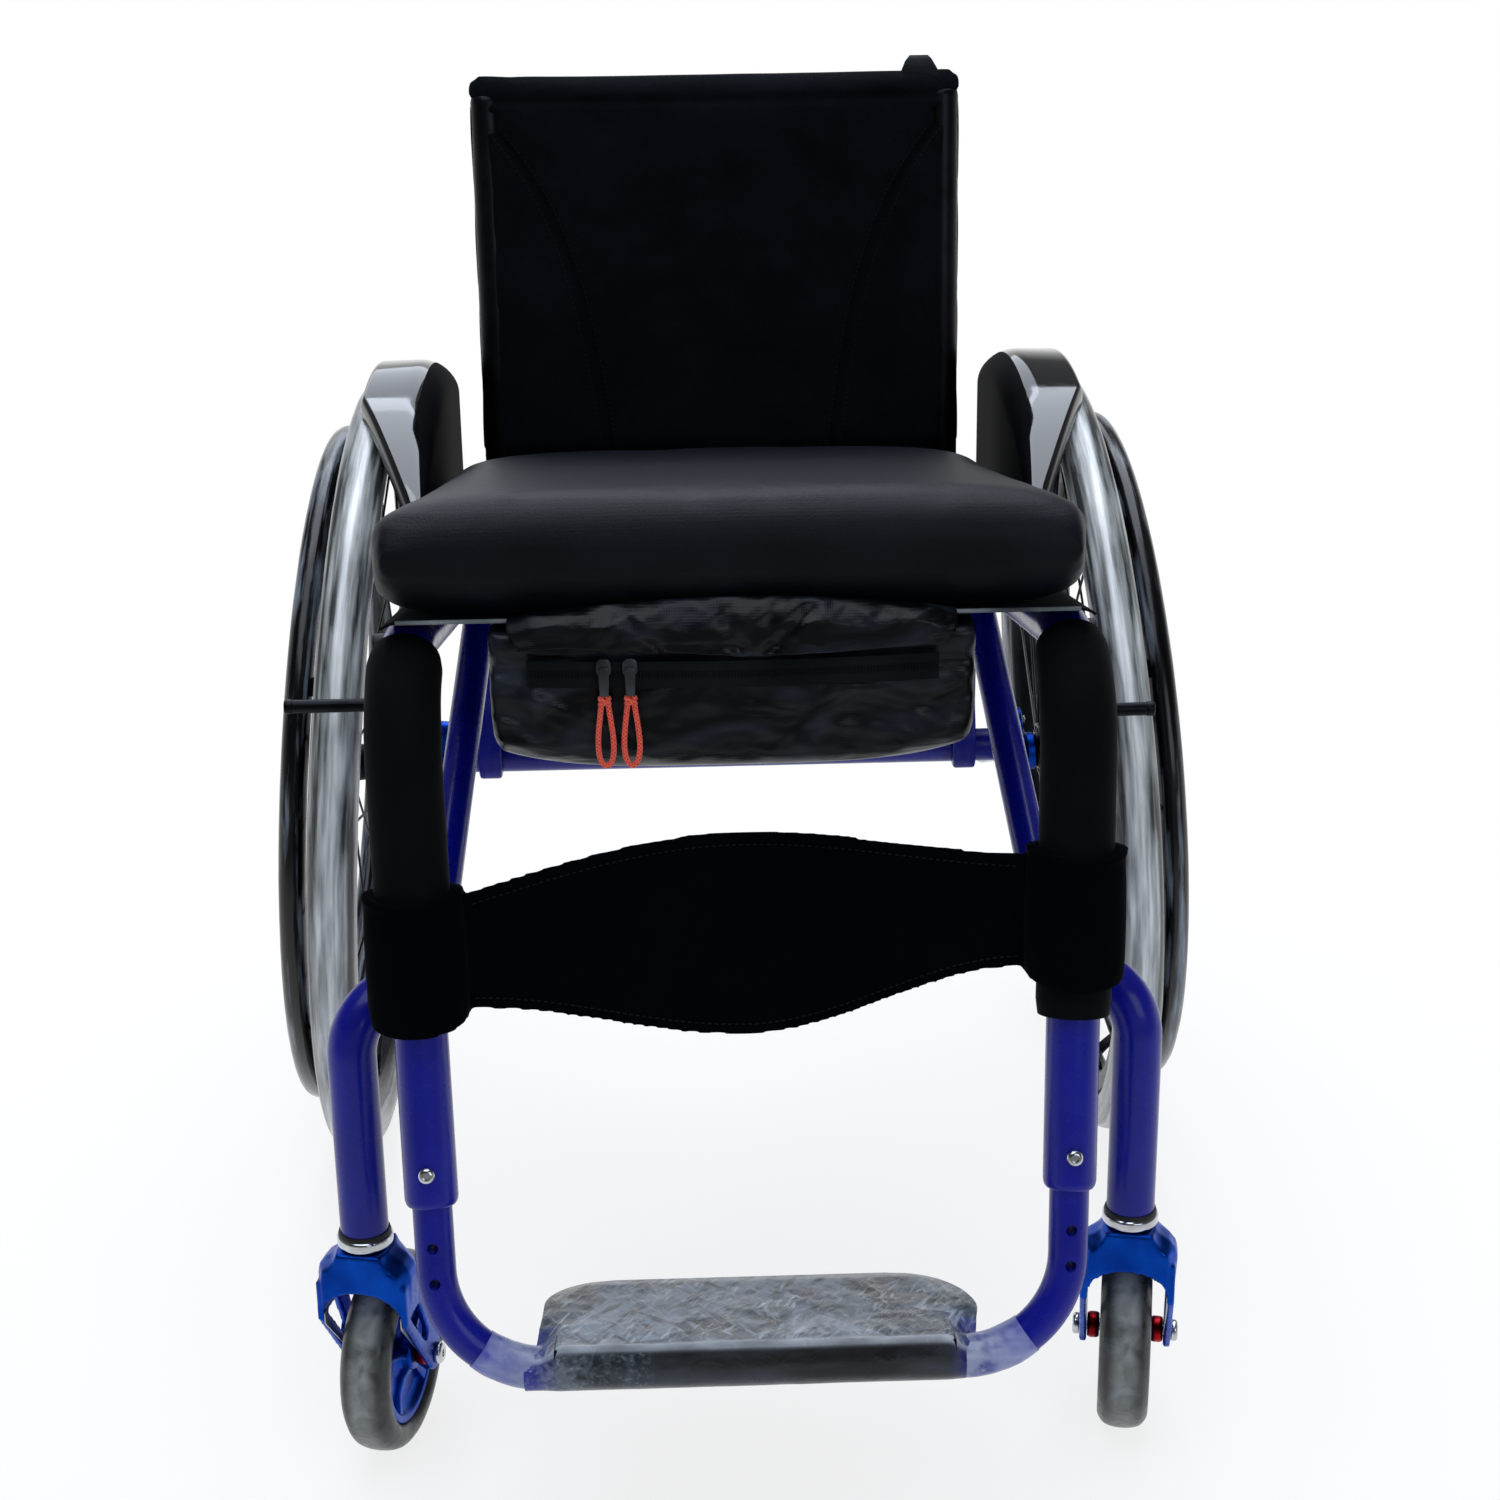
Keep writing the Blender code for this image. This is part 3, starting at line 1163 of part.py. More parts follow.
def build():
    clear_scene()
    blue = material("gloss_blue_paint", (0.01, 0.012, 0.3), 0.25)
    bright = material("blue_anodised", (0.0, 0.12, 0.75), 0.3, 0.9)
    steel = material("polished_steel", (0.7, 0.7, 0.72), 0.25, 1.0)
    alloy = material("black_alloy", (0.03, 0.03, 0.03), 0.35, 0.8)
    gloss = material("gloss_black", (0.01, 0.01, 0.012), 0.12)
    rubber = material("grey_tyre", (0.12, 0.12, 0.12), 0.7)
    fabric = material("black_fabric", (0.01, 0.01, 0.012), 0.85)
    foam = material("black_foam", (0.015, 0.015, 0.016), 0.9)
    nylon = material("coated_nylon", (0.015, 0.015, 0.02), 0.5)
    cord = material("orange_cord", (0.8, 0.12, 0.03), 0.7)
    root = empty("rear_axle_floor", (0, AXLE_Y, 0))
    hinge = empty(
        "back_hinge", (0, HINGE_BEHIND_AXLE, HINGE_HEIGHT), (-RECLINE, 0, 0), parent=root)
    for side in (1, -1):
        side_tube(side, root, blue)
        caster_frame(side, root, blue)
        axle_post(side, root, blue)
        foam_cover(side, root, foam)
        back_bracket(side, root, alloy)
        back_post(side, hinge, alloy)
        stem_ring(side, root, steel)
        side_guard(side, root, gloss)
        brake_mount(side, root, alloy)
        footrest_bolt(side, root, steel)
        axis = empty(f"rear_wheel_{word(side)}", *wheel_place(side), parent=root)
        rear_tyre(side, axis, rubber)
        rear_rim(side, axis, alloy)
        rear_hub(side, axis, alloy)
        handrim(side, axis, gloss)
        axle_receiver(side, axis, bright)
        axle_pin(side, axis, steel)
        axle_button(side, axis, alloy)
        swivel = empty(
            f"caster_swivel_{word(side)}", (side * STEM_SPREAD / 2, -STEM_FORWARD, 0),
            (0, 0, CASTER_SWING[side]), parent=root)
        fork(side, swivel, bright)
        roll = empty(f"caster_roll_{word(side)}", (0, CASTER_TRAIL, CASTER_RADIUS), parent=swivel)
        caster_wheel(side, roll, rubber, bright)
        caster_axle(side, roll, steel)
        pivot = empty(f"brake_pivot_{word(side)}", (0, -BRAKE_FORWARD, BRAKE_PIVOT_HEIGHT), parent=root)
        brake_bar(side, pivot, alloy)
        lever = empty(
            f"lever_pivot_{word(side)}", (0, -LEVER_PIVOT_FORWARD, LEVER_PIVOT_HEIGHT), parent=root)
        brake_lever(side, lever, alloy)
    camber_tube(root, blue)
    seat_cross_tube(root, blue)
    footrest_tube(root, blue)
    footplate(root, alloy)
    back_bar(hinge, alloy)
    back_upholstery(hinge, fabric)
    seat_sling(root, nylon)
    seat_cushion(root, fabric)
    calf_strap(root, fabric)
    pouch(root, nylon)
    for letter in SLIDER_PLACES:
        zip_slider(letter, root, steel)
        zip_pull(letter, root, cord)


build()
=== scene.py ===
# %% [markdown]
# # An active wheelchair
# A rigid-frame wheelchair is mostly bent tube, two large cambered wheels and a few soft parts.
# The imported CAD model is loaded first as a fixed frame. Every piece made here is drawn round it,
# in the same place, and is then tied to the CAD body that it moves with.

import json
import math

import bmesh
import bpy
import numpy as np
from mathutils import Matrix, Vector, noise


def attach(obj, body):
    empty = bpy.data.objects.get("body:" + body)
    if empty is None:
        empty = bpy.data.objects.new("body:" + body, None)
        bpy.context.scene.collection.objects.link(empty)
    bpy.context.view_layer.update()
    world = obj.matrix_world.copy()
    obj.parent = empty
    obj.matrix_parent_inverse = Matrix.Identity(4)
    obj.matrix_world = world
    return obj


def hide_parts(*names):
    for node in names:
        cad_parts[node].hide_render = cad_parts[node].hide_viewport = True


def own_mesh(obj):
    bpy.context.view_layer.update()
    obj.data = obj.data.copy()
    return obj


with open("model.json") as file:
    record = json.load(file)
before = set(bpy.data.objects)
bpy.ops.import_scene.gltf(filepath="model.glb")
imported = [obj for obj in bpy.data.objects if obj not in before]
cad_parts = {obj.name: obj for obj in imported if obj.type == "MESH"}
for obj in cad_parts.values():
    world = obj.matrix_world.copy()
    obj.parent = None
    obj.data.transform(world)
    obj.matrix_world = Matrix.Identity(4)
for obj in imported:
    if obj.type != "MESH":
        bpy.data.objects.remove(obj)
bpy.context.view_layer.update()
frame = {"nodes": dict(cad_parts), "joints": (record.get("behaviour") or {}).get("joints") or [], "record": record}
JOINTS = {joint["name"]: joint for joint in frame["joints"]}

# %% [markdown]
# Lengths below are in millimetres and are measured from the point on the floor under the rear
# axle, because that is how a wheelchair is set up: seat heights and front-end lengths all start
# there. One function moves points from there to the row frame, in metres.

# %% Sizes of the chair
MM = 0.001
WHEEL_JOINT = JOINTS["rear_wheel_left_spin"]["pos_m"]
AXLE_Y = WHEEL_JOINT[1] / MM
HUB_HEIGHT = WHEEL_JOINT[2] / MM
TRACK = 2 * WHEEL_JOINT[0] / MM
CAMBER = math.radians(4.0)
WHEEL_RADIUS, TYRE_WIDTH, TYRE_SEAT = 305.0, 36.0, 276.0
SPOKES, FLANGE = 24, 22.0
PUSH_RADIUS, PUSH_TUBE, PUSH_OFFSET, PUSH_TABS = 256.4, 9.5, 31.5, 6
SEAT_REAR, SEAT_FRONT, KNEE_Y = 465.0, 537.0, 505.0
REAR_WIDTH, KNEE_WIDTH, TUBE = 377.0, 389.0, 15.5
SEAT_RISE = (SEAT_FRONT - SEAT_REAR) / KNEE_Y
TAPER = (KNEE_WIDTH - REAR_WIDTH) / 2 / KNEE_Y
FOOT_TUBE, FOOT_Z, FOOT_Y, FOOT_WIDTH = 11.5, 133.0, 603.0, 363.0
SOCKET_Z = 229.0
STEM_X, STEM_Y, HOUSING = 237.0, 501.0, 14.8
CASTER_RADIUS, TRAIL = 63.5, 34.0
SWING = {1: math.radians(-11.0), -1: math.radians(-12.5)}
CROWN_TOP = 159.3
WORD = {1: "left", -1: "right"}


def row(point):
    """Millimetres about the rear axle's floor point, to metres in the row frame."""
    return Vector((point[0] * MM, (point[1] + AXLE_Y) * MM, point[2] * MM))


ORIGIN = row((0, 0, 0))


def seat_z(y):
    return SEAT_REAR - y * SEAT_RISE


def rail_point(side, y):
    return Vector((side * (REAR_WIDTH / 2 - y * TAPER), y, seat_z(y)))


def foot_corner(side):
    return Vector((side * FOOT_WIDTH / 2, -FOOT_Y, FOOT_Z))


def front_line(side, height):
    """Point at a height on the line of the front tube, which leans forward and inward."""
    top, low = rail_point(side, -KNEE_Y), foot_corner(side)
    return top.lerp(low, (top.z - height) / (top.z - low.z))


def down_front(side):
    return (foot_corner(side) - rail_point(side, -KNEE_Y)).normalized()


print("hub height", round(HUB_HEIGHT, 1), "mm, track", TRACK, "mm")

# %% [markdown]
# ## Camera, floor and light
# The photograph was taken from just above the seat, standing a good metre and a half in front.
# The camera was fitted to it: these are its place, its turn and its focal length in pixels of a
# 1500-pixel picture. The studio is plain: a pale floor that fades to white, a white surround
# under a dim ceiling, which metal can mirror and which is duller behind the camera, and four
# broad lamps at a level where a colour renders about as it is written. The one called roof
# stands in for the patch of sky that the side guards mirror in the photograph.

# %% Camera
FOCAL_PIXELS, PICTURE = 2357.762, 1500
YAW, PITCH, ROLL = 0.02642, 0.32109, -0.01484
eye = row((-29.313, -1793.677, 904.692))
ahead = Vector((math.sin(YAW) * math.cos(PITCH), math.cos(YAW) * math.cos(PITCH), -math.sin(PITCH)))
level = Vector((math.cos(YAW), -math.sin(YAW), 0))
upright = level.cross(ahead)
across = math.cos(ROLL) * level + math.sin(ROLL) * upright
above = -math.sin(ROLL) * level + math.cos(ROLL) * upright
lens = bpy.data.cameras.new("camera")
lens.sensor_width = 36
lens.lens = FOCAL_PIXELS * lens.sensor_width / PICTURE
lens.clip_end = 30
camera = bpy.data.objects.new("camera", lens)
camera.matrix_world = Matrix((
    (across.x, above.x, -ahead.x, eye.x), (across.y, above.y, -ahead.y, eye.y),
    (across.z, above.z, -ahead.z, eye.z), (0, 0, 0, 1)))
bpy.context.scene.collection.objects.link(camera)
bpy.context.scene.camera = camera
bpy.context.scene.view_settings.view_transform = "Standard"
print("lens", round(lens.lens, 2), "mm")


# %% [markdown]
# Colours are written as sRGB hex codes and turned into linear values in one place, and every
# node of every shader and tree is added by one function.

# %% Helpers for colours and nodes
def linear(code):
    """A hex sRGB colour as the linear values that a shader takes."""
    values = [int(code[i:i + 2], 16) / 255 for i in (1, 3, 5)]
    return tuple(v / 12.92 if v <= 0.04045 else ((v + 0.055) / 1.055) ** 2.4 for v in values)


def opaque(code):
    return (*linear(code), 1)


def plug(tree, value, socket):
    """Feed a socket with an output, with a node's first output, or with a plain value."""
    if isinstance(value, bpy.types.Node):
        value = value.outputs[0]
    if isinstance(value, bpy.types.NodeSocket):
        tree.links.new(value, socket)
    else:
        socket.default_value = value


def add(tree, kind, sockets=None, **settings):
    """Add a node, set its properties and feed its sockets."""
    made = tree.nodes.new(kind)
    for name, value in settings.items():
        setattr(made, name, value)
    for socket, value in (sockets or {}).items():
        plug(tree, value, made.inputs[socket])
    return made


# %% [markdown]
# The world and the floor show white to the camera and light the chair with softer values. In
# front of the chair the floor's mirror image is duller, as the unlit room was.

# %% Floor, surround and lamps
WHITE = (1, 1, 1, 1)


def rays_seen(tree):
    """The kinds of ray, and whether a ray comes straight or through glass from the camera."""
    rays = add(tree, "ShaderNodeLightPath").outputs
    sockets = {0: rays["Is Camera Ray"], 1: rays["Is Transmission Ray"]}
    return rays, add(tree, "ShaderNodeMath", sockets, operation="MAXIMUM")


def own_tree(owner):
    owner.use_nodes = True
    owner.node_tree.nodes.clear()
    return owner.node_tree


world = bpy.data.worlds.new("studio")
bpy.context.scene.world = world
tree = own_tree(world)
soft = add(tree, "ShaderNodeBackground", {"Color": opaque("#eef2f8"), "Strength": 0.42})
rays, seen = rays_seen(tree)
white = add(tree, "ShaderNodeBackground", {"Color": WHITE, "Strength": 1.0})
way = add(tree, "ShaderNodeSeparateXYZ", {0: add(tree, "ShaderNodeTexCoord").outputs["Generated"]})
ceiling = add(tree, "ShaderNodeMapRange", {0: way.outputs[2], 1: 0.06, 2: 0.32, 3: 1.0, 4: 0.14})
depth = add(tree, "ShaderNodeMapRange", {0: way.outputs[1], 1: -0.5, 2: 0.4, 3: 0.24, 4: 1.0})
mirrored_level = add(tree, "ShaderNodeMath", {0: ceiling, 1: depth}, operation="MULTIPLY")
mirror = add(tree, "ShaderNodeBackground", {"Color": WHITE, "Strength": mirrored_level})
first = add(tree, "ShaderNodeMixShader", {0: rays["Is Glossy Ray"], 1: soft, 2: mirror})
final = add(tree, "ShaderNodeMixShader", {0: seen, 1: first, 2: white})
add(tree, "ShaderNodeOutputWorld", {0: final})

floor_paint = bpy.data.materials.new("pale_floor_paint")
tree = own_tree(floor_paint)
grit = add(tree, "ShaderNodeTexNoise", {"Scale": 40.0, "Detail": 4.0})
tone = add(tree, "ShaderNodeMix", {0: grit, 6: opaque("#f6f7f8"), 7: opaque("#fbfbfc")}, data_type="RGBA")
matt = add(tree, "ShaderNodeBsdfDiffuse", {"Color": tone.outputs[2]})
where = add(tree, "ShaderNodeTexCoord").outputs["Object"]
place = add(tree, "ShaderNodeSeparateXYZ", {0: where})
ahead_of_chair = add(tree, "ShaderNodeMapRange", {0: place.outputs[1], 1: -1.3, 2: -0.1, 3: 0.8, 4: 0.0})
rays, seen = rays_seen(tree)
dull = add(tree, "ShaderNodeMath", {0: rays["Is Glossy Ray"], 1: ahead_of_chair}, operation="MULTIPLY")
bright = add(tree, "ShaderNodeMath", {0: 1.0, 1: dull}, operation="SUBTRACT")
glow = add(tree, "ShaderNodeEmission", {"Color": WHITE, "Strength": bright})
apart = add(tree, "ShaderNodeVectorMath", {0: where}, operation="LENGTH")
fade = add(tree, "ShaderNodeMapRange", {0: apart.outputs["Value"], 1: 0.5, 2: 1.6, 3: 0.8, 4: 1.0})
seen = add(tree, "ShaderNodeMath", {0: seen, 1: rays["Is Glossy Ray"]}, operation="MAXIMUM")
share = add(tree, "ShaderNodeMath", {0: seen, 1: fade}, operation="MULTIPLY")
share = add(tree, "ShaderNodeMath", {0: share, 1: dull}, operation="MAXIMUM")
lifted = add(tree, "ShaderNodeMixShader", {0: share, 1: matt, 2: glow})
add(tree, "ShaderNodeOutputMaterial", {0: lifted})
disc = bpy.data.meshes.new("floor")
FLOOR_RADIUS_M, FLOOR_SIDES = 12, 64
angles = [a * math.pi / (FLOOR_SIDES // 2) for a in range(FLOOR_SIDES)]
spread = [(FLOOR_RADIUS_M * math.cos(a), FLOOR_RADIUS_M * math.sin(a), 0) for a in angles]
disc.from_pydata(spread, [], [tuple(range(FLOOR_SIDES))])
disc.materials.append(floor_paint)
floor = bpy.data.objects.new("floor", disc)
bpy.context.scene.collection.objects.link(floor)

# each lamp's place and size in metres, then its power in watts
LAMPS = {
    "overhead": ((-0.4, -0.9, 2.9), 2.0, 30.0),
    "roof": ((0.1, 1.1, 3.0), 2.5, 72.0),
    "front": ((1.3, -2.9, 1.6), 1.6, 16.0),
    "behind": ((-0.6, 2.8, 2.2), 2.0, 20.0),
}
LIT_POINT = Vector((0, 0, 0.4))
for name, (place, size, power) in LAMPS.items():
    lamp = bpy.data.lights.new(name, "AREA")
    lamp.size = size
    lamp.energy = power
    lamp.color = linear("#e6eefb")
    held = bpy.data.objects.new(name, lamp)
    held.location = place
    held.rotation_euler = (LIT_POINT - Vector(place)).to_track_quat("-Z", "Y").to_euler()
    bpy.context.scene.collection.objects.link(held)
print("lamps:", ", ".join(LAMPS))

# %% [markdown]
# ## Finishes
# Each finish starts from what the real surface is. A pattern's size is given in millimetres and
# turned into a texture scale, so that a weave or an orange-peel ripple keeps its real size.
# Nearly every texture reads the object's own coordinates, which here are the chair's own.


def finish(name, slot, colour, rough, metal=0.0, **constants):
    """Start a finish: a Principled shader with its constants set on its own sockets."""
    made = bpy.data.materials.new(name)
    made.use_nodes = True
    tree = made.node_tree
    shader = tree.nodes["Principled BSDF"]
    shader.inputs["Base Color"].default_value = opaque(colour)
    shader.inputs["Roughness"].default_value = rough
    shader.inputs["Metallic"].default_value = metal
    for socket, value in constants.items():
        shader.inputs[socket.replace("_", " ")].default_value = value
    where = add(tree, "ShaderNodeTexCoord").outputs["Object"]
    return made, tree, shader, where


def speckle(tree, where, size_mm, detail=2.0, stretch=(1, 1, 1), twist=0.0):
    """Noise whose blotches measure about size_mm across."""
    turned_to = add(tree, "ShaderNodeMapping", {"Vector": where, "Scale": stretch})
    return add(tree, "ShaderNodeTexNoise", {
        "Vector": turned_to, "Scale": 1 / (size_mm * MM), "Detail": detail, "Distortion": twist})


def between(tree, factor, low, high, near=0.3, far=0.7):
    """Two hex colours mixed by a factor that is spread between two of its values."""
    share = add(tree, "ShaderNodeMapRange", {0: factor, 1: near, 2: far})
    return add(tree, "ShaderNodeMix", {0: share, 6: opaque(low), 7: opaque(high)},
               data_type="RGBA").outputs[2]


def ranged(tree, factor, low, high):
    return add(tree, "ShaderNodeMapRange", {0: factor, 1: 0.3, 2: 0.7, 3: low, 4: high})


def bump(tree, shader, height, depth_mm, strength=1.0, under=None):
    sockets = {"Height": height, "Distance": depth_mm * MM, "Strength": strength}
    if under is not None:
        sockets["Normal"] = under
    made = add(tree, "ShaderNodeBump", sockets)
    plug(tree, made, shader.inputs["Normal"])
    return made


def paint_with(tree, shader, colour, rough=None):
    plug(tree, colour, shader.inputs["Base Color"])
    if rough is not None:
        plug(tree, rough, shader.inputs["Roughness"])


def mottled(made_of, tones, rough, relief):
    """A finish with two tones mixed by noise, a roughness that varies, and one fine relief.

    Each is a size in millimetres and a detail with, for the tones, two hex colours, for the
    roughness, its least and greatest, and for the relief, its depth in millimetres.
    """
    made, tree, shader, where = made_of
    size, detail, dark, light = tones
    uneven = ranged(tree, speckle(tree, where, *rough[:2]), *rough[2:]) if rough else None
    paint_with(tree, shader, between(tree, speckle(tree, where, size, detail), dark, light), uneven)
    bump(tree, shader, speckle(tree, where, *relief[:2]), relief[2])
    return made


# %% [markdown]
# The frame is aluminium tube with a gloss powder coat. Powder flows out into a faint
# orange-peel ripple of about a millimetre and a half, and its colour is very even.

# %% Powder coat
blue_coat = mottled(finish(
    "powder_coated_aluminium", "gloss_blue_paint", "#08107e", 0.26,
    Specular_IOR_Level=0.28, Coat_Weight=0.1, Coat_Roughness=0.06),
    (45, 3, "#060e78", "#0a1286"), (12, 3, 0.22, 0.32), (1.6, 1, 0.006))

# %% [markdown]
# The forks, caster hubs and axle clamps are bright blue anodised aluminium: a clear dyed layer
# over fine bead-blasted metal, so the metal keeps its shine and takes the dye's colour.

# %% Anodised aluminium in three colours, and two bare metals
def anodised(name, slot, dark, light, rough):
    return mottled(finish(name, slot, light, rough, 1.0), (25, 3, dark, light),
                   (3, 4, rough - 0.05, rough + 0.07), (0.7, 2, 0.012))


blue_anodised = anodised("anodised_aluminium_blue", "blue_anodised", "#063596", "#0c4dbc", 0.34)
black_anodised = anodised("anodised_aluminium_black", "black_alloy", "#17181b", "#222327", 0.38)
red_anodised = anodised("anodised_aluminium_red", "polished_steel", "#7d0f14", "#b81a20", 0.3)
gunmetal = anodised("gunmetal_zinc", "polished_steel", "#3b3e42", "#5a5e63", 0.4)
milled = anodised("milled_aluminium", "polished_steel", "#a9adae", "#c4c8c9", 0.42)

# %% [markdown]
# Bolts, stem rings and axle pins are turned and polished stainless steel. Turning leaves rings
# too fine to see at this size, so they are drawn 0.6 mm apart, with a few soft smears.

# %% Polished steel
steel, tree, shader, where = finish("polished_stainless_steel", "polished_steel", "#d3d6da", 0.16, 1.0)
lines = speckle(tree, where, 14, 3, (1, 1, 24))
paint_with(tree, shader, between(tree, speckle(tree, where, 9, 3), "#b9bdc2", "#dfe2e6"),
           ranged(tree, lines, 0.1, 0.24))
bump(tree, shader, speckle(tree, where, 0.6, 1), 0.006)

# %% [markdown]
# The side guards are moulded gloss plastic. It mirrors the room in broad soft shapes, and only
# a trace of sink and dust shows. The wall beside the seat has a fine matt grain instead.

# %% Gloss plastic
guard_plastic = mottled(
    finish("gloss_moulded_abs", "gloss_black", "#08090b", 0.06, Specular_IOR_Level=0.9),
    (30, 4, "#07080a", "#0d0f12"), (8, 5, 0.05, 0.1), (38, 1, 0.08))
grained = mottled(
    finish("grained_moulded_abs", "gloss_black", "#06070a", 0.7, Specular_IOR_Level=0.02),
    (30, 4, "#040507", "#080a0d"), None, (0.8, 2, 0.06))

# %% [markdown]
# The rear tyres and push rings are still wound in clear packing film, so they look silver-grey.
# Their long bright streaks round the wheel are painted highlights of the film, and the crown of
# the tyre is painted palest, as a painted highlight. Each of these meshes carries its own wheel
# coordinates, and the streaks are noise that is long round the wheel and short across it.
# Reading the angle as a sine and a cosine leaves no seam.

# %% Film-wound rubber and film-wound ring
STREAK_MM, CROWN_EDGE_M = 6, 0.013


def wound(name, slot, dark, middle, light, rough, shine, specular, crown=0.0):
    made, tree, shader, _ = finish(
        name, slot, middle, rough, Coat_Weight=shine, Coat_Roughness=0.1, Specular_IOR_Level=specular)
    local = add(tree, "ShaderNodeAttribute", attribute_name="wheel").outputs["Vector"]
    parts = add(tree, "ShaderNodeSeparateXYZ", {0: local})
    flat = add(tree, "ShaderNodeCombineXYZ", {1: parts.outputs[1], 2: parts.outputs[2]})
    radius = add(tree, "ShaderNodeVectorMath", {0: flat}, operation="LENGTH").outputs["Value"]
    direction = add(tree, "ShaderNodeVectorMath", {0: flat}, operation="NORMALIZE")
    turn = add(tree, "ShaderNodeSeparateXYZ", {0: direction})
    fine = 1 / (STREAK_MM * MM)
    side_step = add(tree, "ShaderNodeMath", {0: parts, 1: fine}, operation="MULTIPLY")
    out_step = add(tree, "ShaderNodeMath", {0: radius, 1: fine}, operation="MULTIPLY")
    fields = []
    for turns in (1.1, 4.5):
        y = add(tree, "ShaderNodeMath", {0: turn.outputs[1], 1: turns}, operation="MULTIPLY")
        z = add(tree, "ShaderNodeMath", {0: turn.outputs[2], 1: turns}, operation="MULTIPLY")
        at = add(tree, "ShaderNodeCombineXYZ", {0: side_step, 1: y, 2: z})
        fields.append(add(tree, "ShaderNodeTexNoise", {
            "Vector": at, "W": out_step, "Scale": 1.0, "Detail": 3.0, "Distortion": 0.15},
            noise_dimensions="4D"))
    both = add(tree, "ShaderNodeMath", {0: fields[0], 1: fields[1]}, operation="ADD")
    # painted highlight: the crown of the section, its middle, is painted paler than its sides
    off_centre = add(tree, "ShaderNodeMath", {0: parts}, operation="ABSOLUTE")
    crown_highlight = add(tree, "ShaderNodeMapRange", {0: off_centre, 1: 0.0, 2: CROWN_EDGE_M, 3: crown, 4: -crown})
    both = add(tree, "ShaderNodeMath", {0: both, 1: crown_highlight}, operation="ADD")
    share = add(tree, "ShaderNodeMapRange", {0: both, 1: 0.78, 2: 1.3})
    # the ramp's pale end paints the film's streaks as highlights
    ramp = add(tree, "ShaderNodeValToRGB", {0: share})
    ramp.color_ramp.elements[0].color = opaque(dark)
    ramp.color_ramp.elements[1].color = opaque(light)
    ramp.color_ramp.elements.new(0.45).color = opaque(middle)
    paint_with(tree, shader, ramp, ranged(tree, fields[1], rough - 0.08, rough + 0.12))
    bump(tree, shader, fields[1], 0.5)
    return made


wound_tyre = wound("film_wound_rubber", "grey_tyre", "#343736", "#a0a4a3", "#f2f5f5", 0.3, 0.3, 0.5, 0.16)
wound_ring = wound("film_wound_powder_coat", "gloss_black", "#030405", "#090a0c", "#7f8a96", 0.2, 0.1, 0.35)

# %% [markdown]
# The caster tyres are cast polyurethane: grey and a little glossy, with a random mottle of dirt.
# The middle of the tread is painted paler, as a painted highlight, and its sides darker, as
# painted shade. The band reads the wheel's own coordinates.

# %% Cast polyurethane
caster_rubber, tree, shader, where = finish("cast_polyurethane", "grey_tyre", "#515452", 0.3)
local = add(tree, "ShaderNodeAttribute", attribute_name="wheel").outputs["Vector"]
sideways = add(tree, "ShaderNodeSeparateXYZ", {0: local})
off_centre = add(tree, "ShaderNodeMath", {0: sideways}, operation="ABSOLUTE")
# painted highlight along the middle of the tread and painted shade down its sides; the dirt noise mottles both
band = add(tree, "ShaderNodeMapRange", {0: off_centre, 1: 0.003, 2: 0.0115}, interpolation_type="SMOOTHSTEP")
dirt = speckle(tree, local, 13, 5, twist=0.8)
painted_tread_highlight, painted_flank_shade = between(tree, dirt, "#565a58", "#8d9190"), between(tree, dirt, "#1a1d1c", "#3e4241")
lit_and_shaded_tread = add(tree, "ShaderNodeMix", {0: band, 6: painted_tread_highlight, 7: painted_flank_shade}, data_type="RGBA")
paint_with(tree, shader, lit_and_shaded_tread.outputs[2], ranged(tree, speckle(tree, local, 5, 4), 0.24, 0.42))
bump(tree, shader, speckle(tree, local, 1.4, 3), 0.05)

# %% [markdown]
# The back wears a black knitted spacer fabric. Its loops are about 1.2 mm apart and are drawn
# 1.8 mm apart so that they show. Cloth has almost no mirror shine, but its fuzz catches light
# at a slant, which is what sheen is for. The cushion's knit is smoother, and its crest shines
# softly.

# %% Knitted spacer fabric and neoprene
def cloth(name, slot, dark, light, pitch_mm, depth_mm, rough, sheen, specular=0.05):
    made, tree, shader, where = finish(
        name, slot, light, rough, Specular_IOR_Level=specular, Sheen_Weight=sheen, Sheen_Roughness=0.45,
        Sheen_Tint=opaque("#8d96a6"))
    loops = add(tree, "ShaderNodeTexVoronoi", {
        "Vector": where, "Scale": 1 / (pitch_mm * MM), "Randomness": 0.35},
        feature="SMOOTH_F1").outputs["Distance"]
    fuzz = speckle(tree, where, 0.9, 2)
    height = add(tree, "ShaderNodeMath", {0: loops, 1: fuzz}, operation="ADD")
    broad = speckle(tree, where, 55, 4)
    shade = between(tree, broad, dark, light)
    pores = add(tree, "ShaderNodeMapRange", {0: loops, 1: 0.1, 2: 0.7, 3: 1.15, 4: 0.7})
    toned = add(tree, "ShaderNodeVectorMath", {0: shade, 3: pores}, operation="SCALE")
    paint_with(tree, shader, toned, ranged(tree, fuzz, rough - 0.06, rough + 0.04))
    first = bump(tree, shader, height, depth_mm, 0.8)
    bump(tree, shader, speckle(tree, where, 22, 2), 0.5, 0.5, first)
    return made


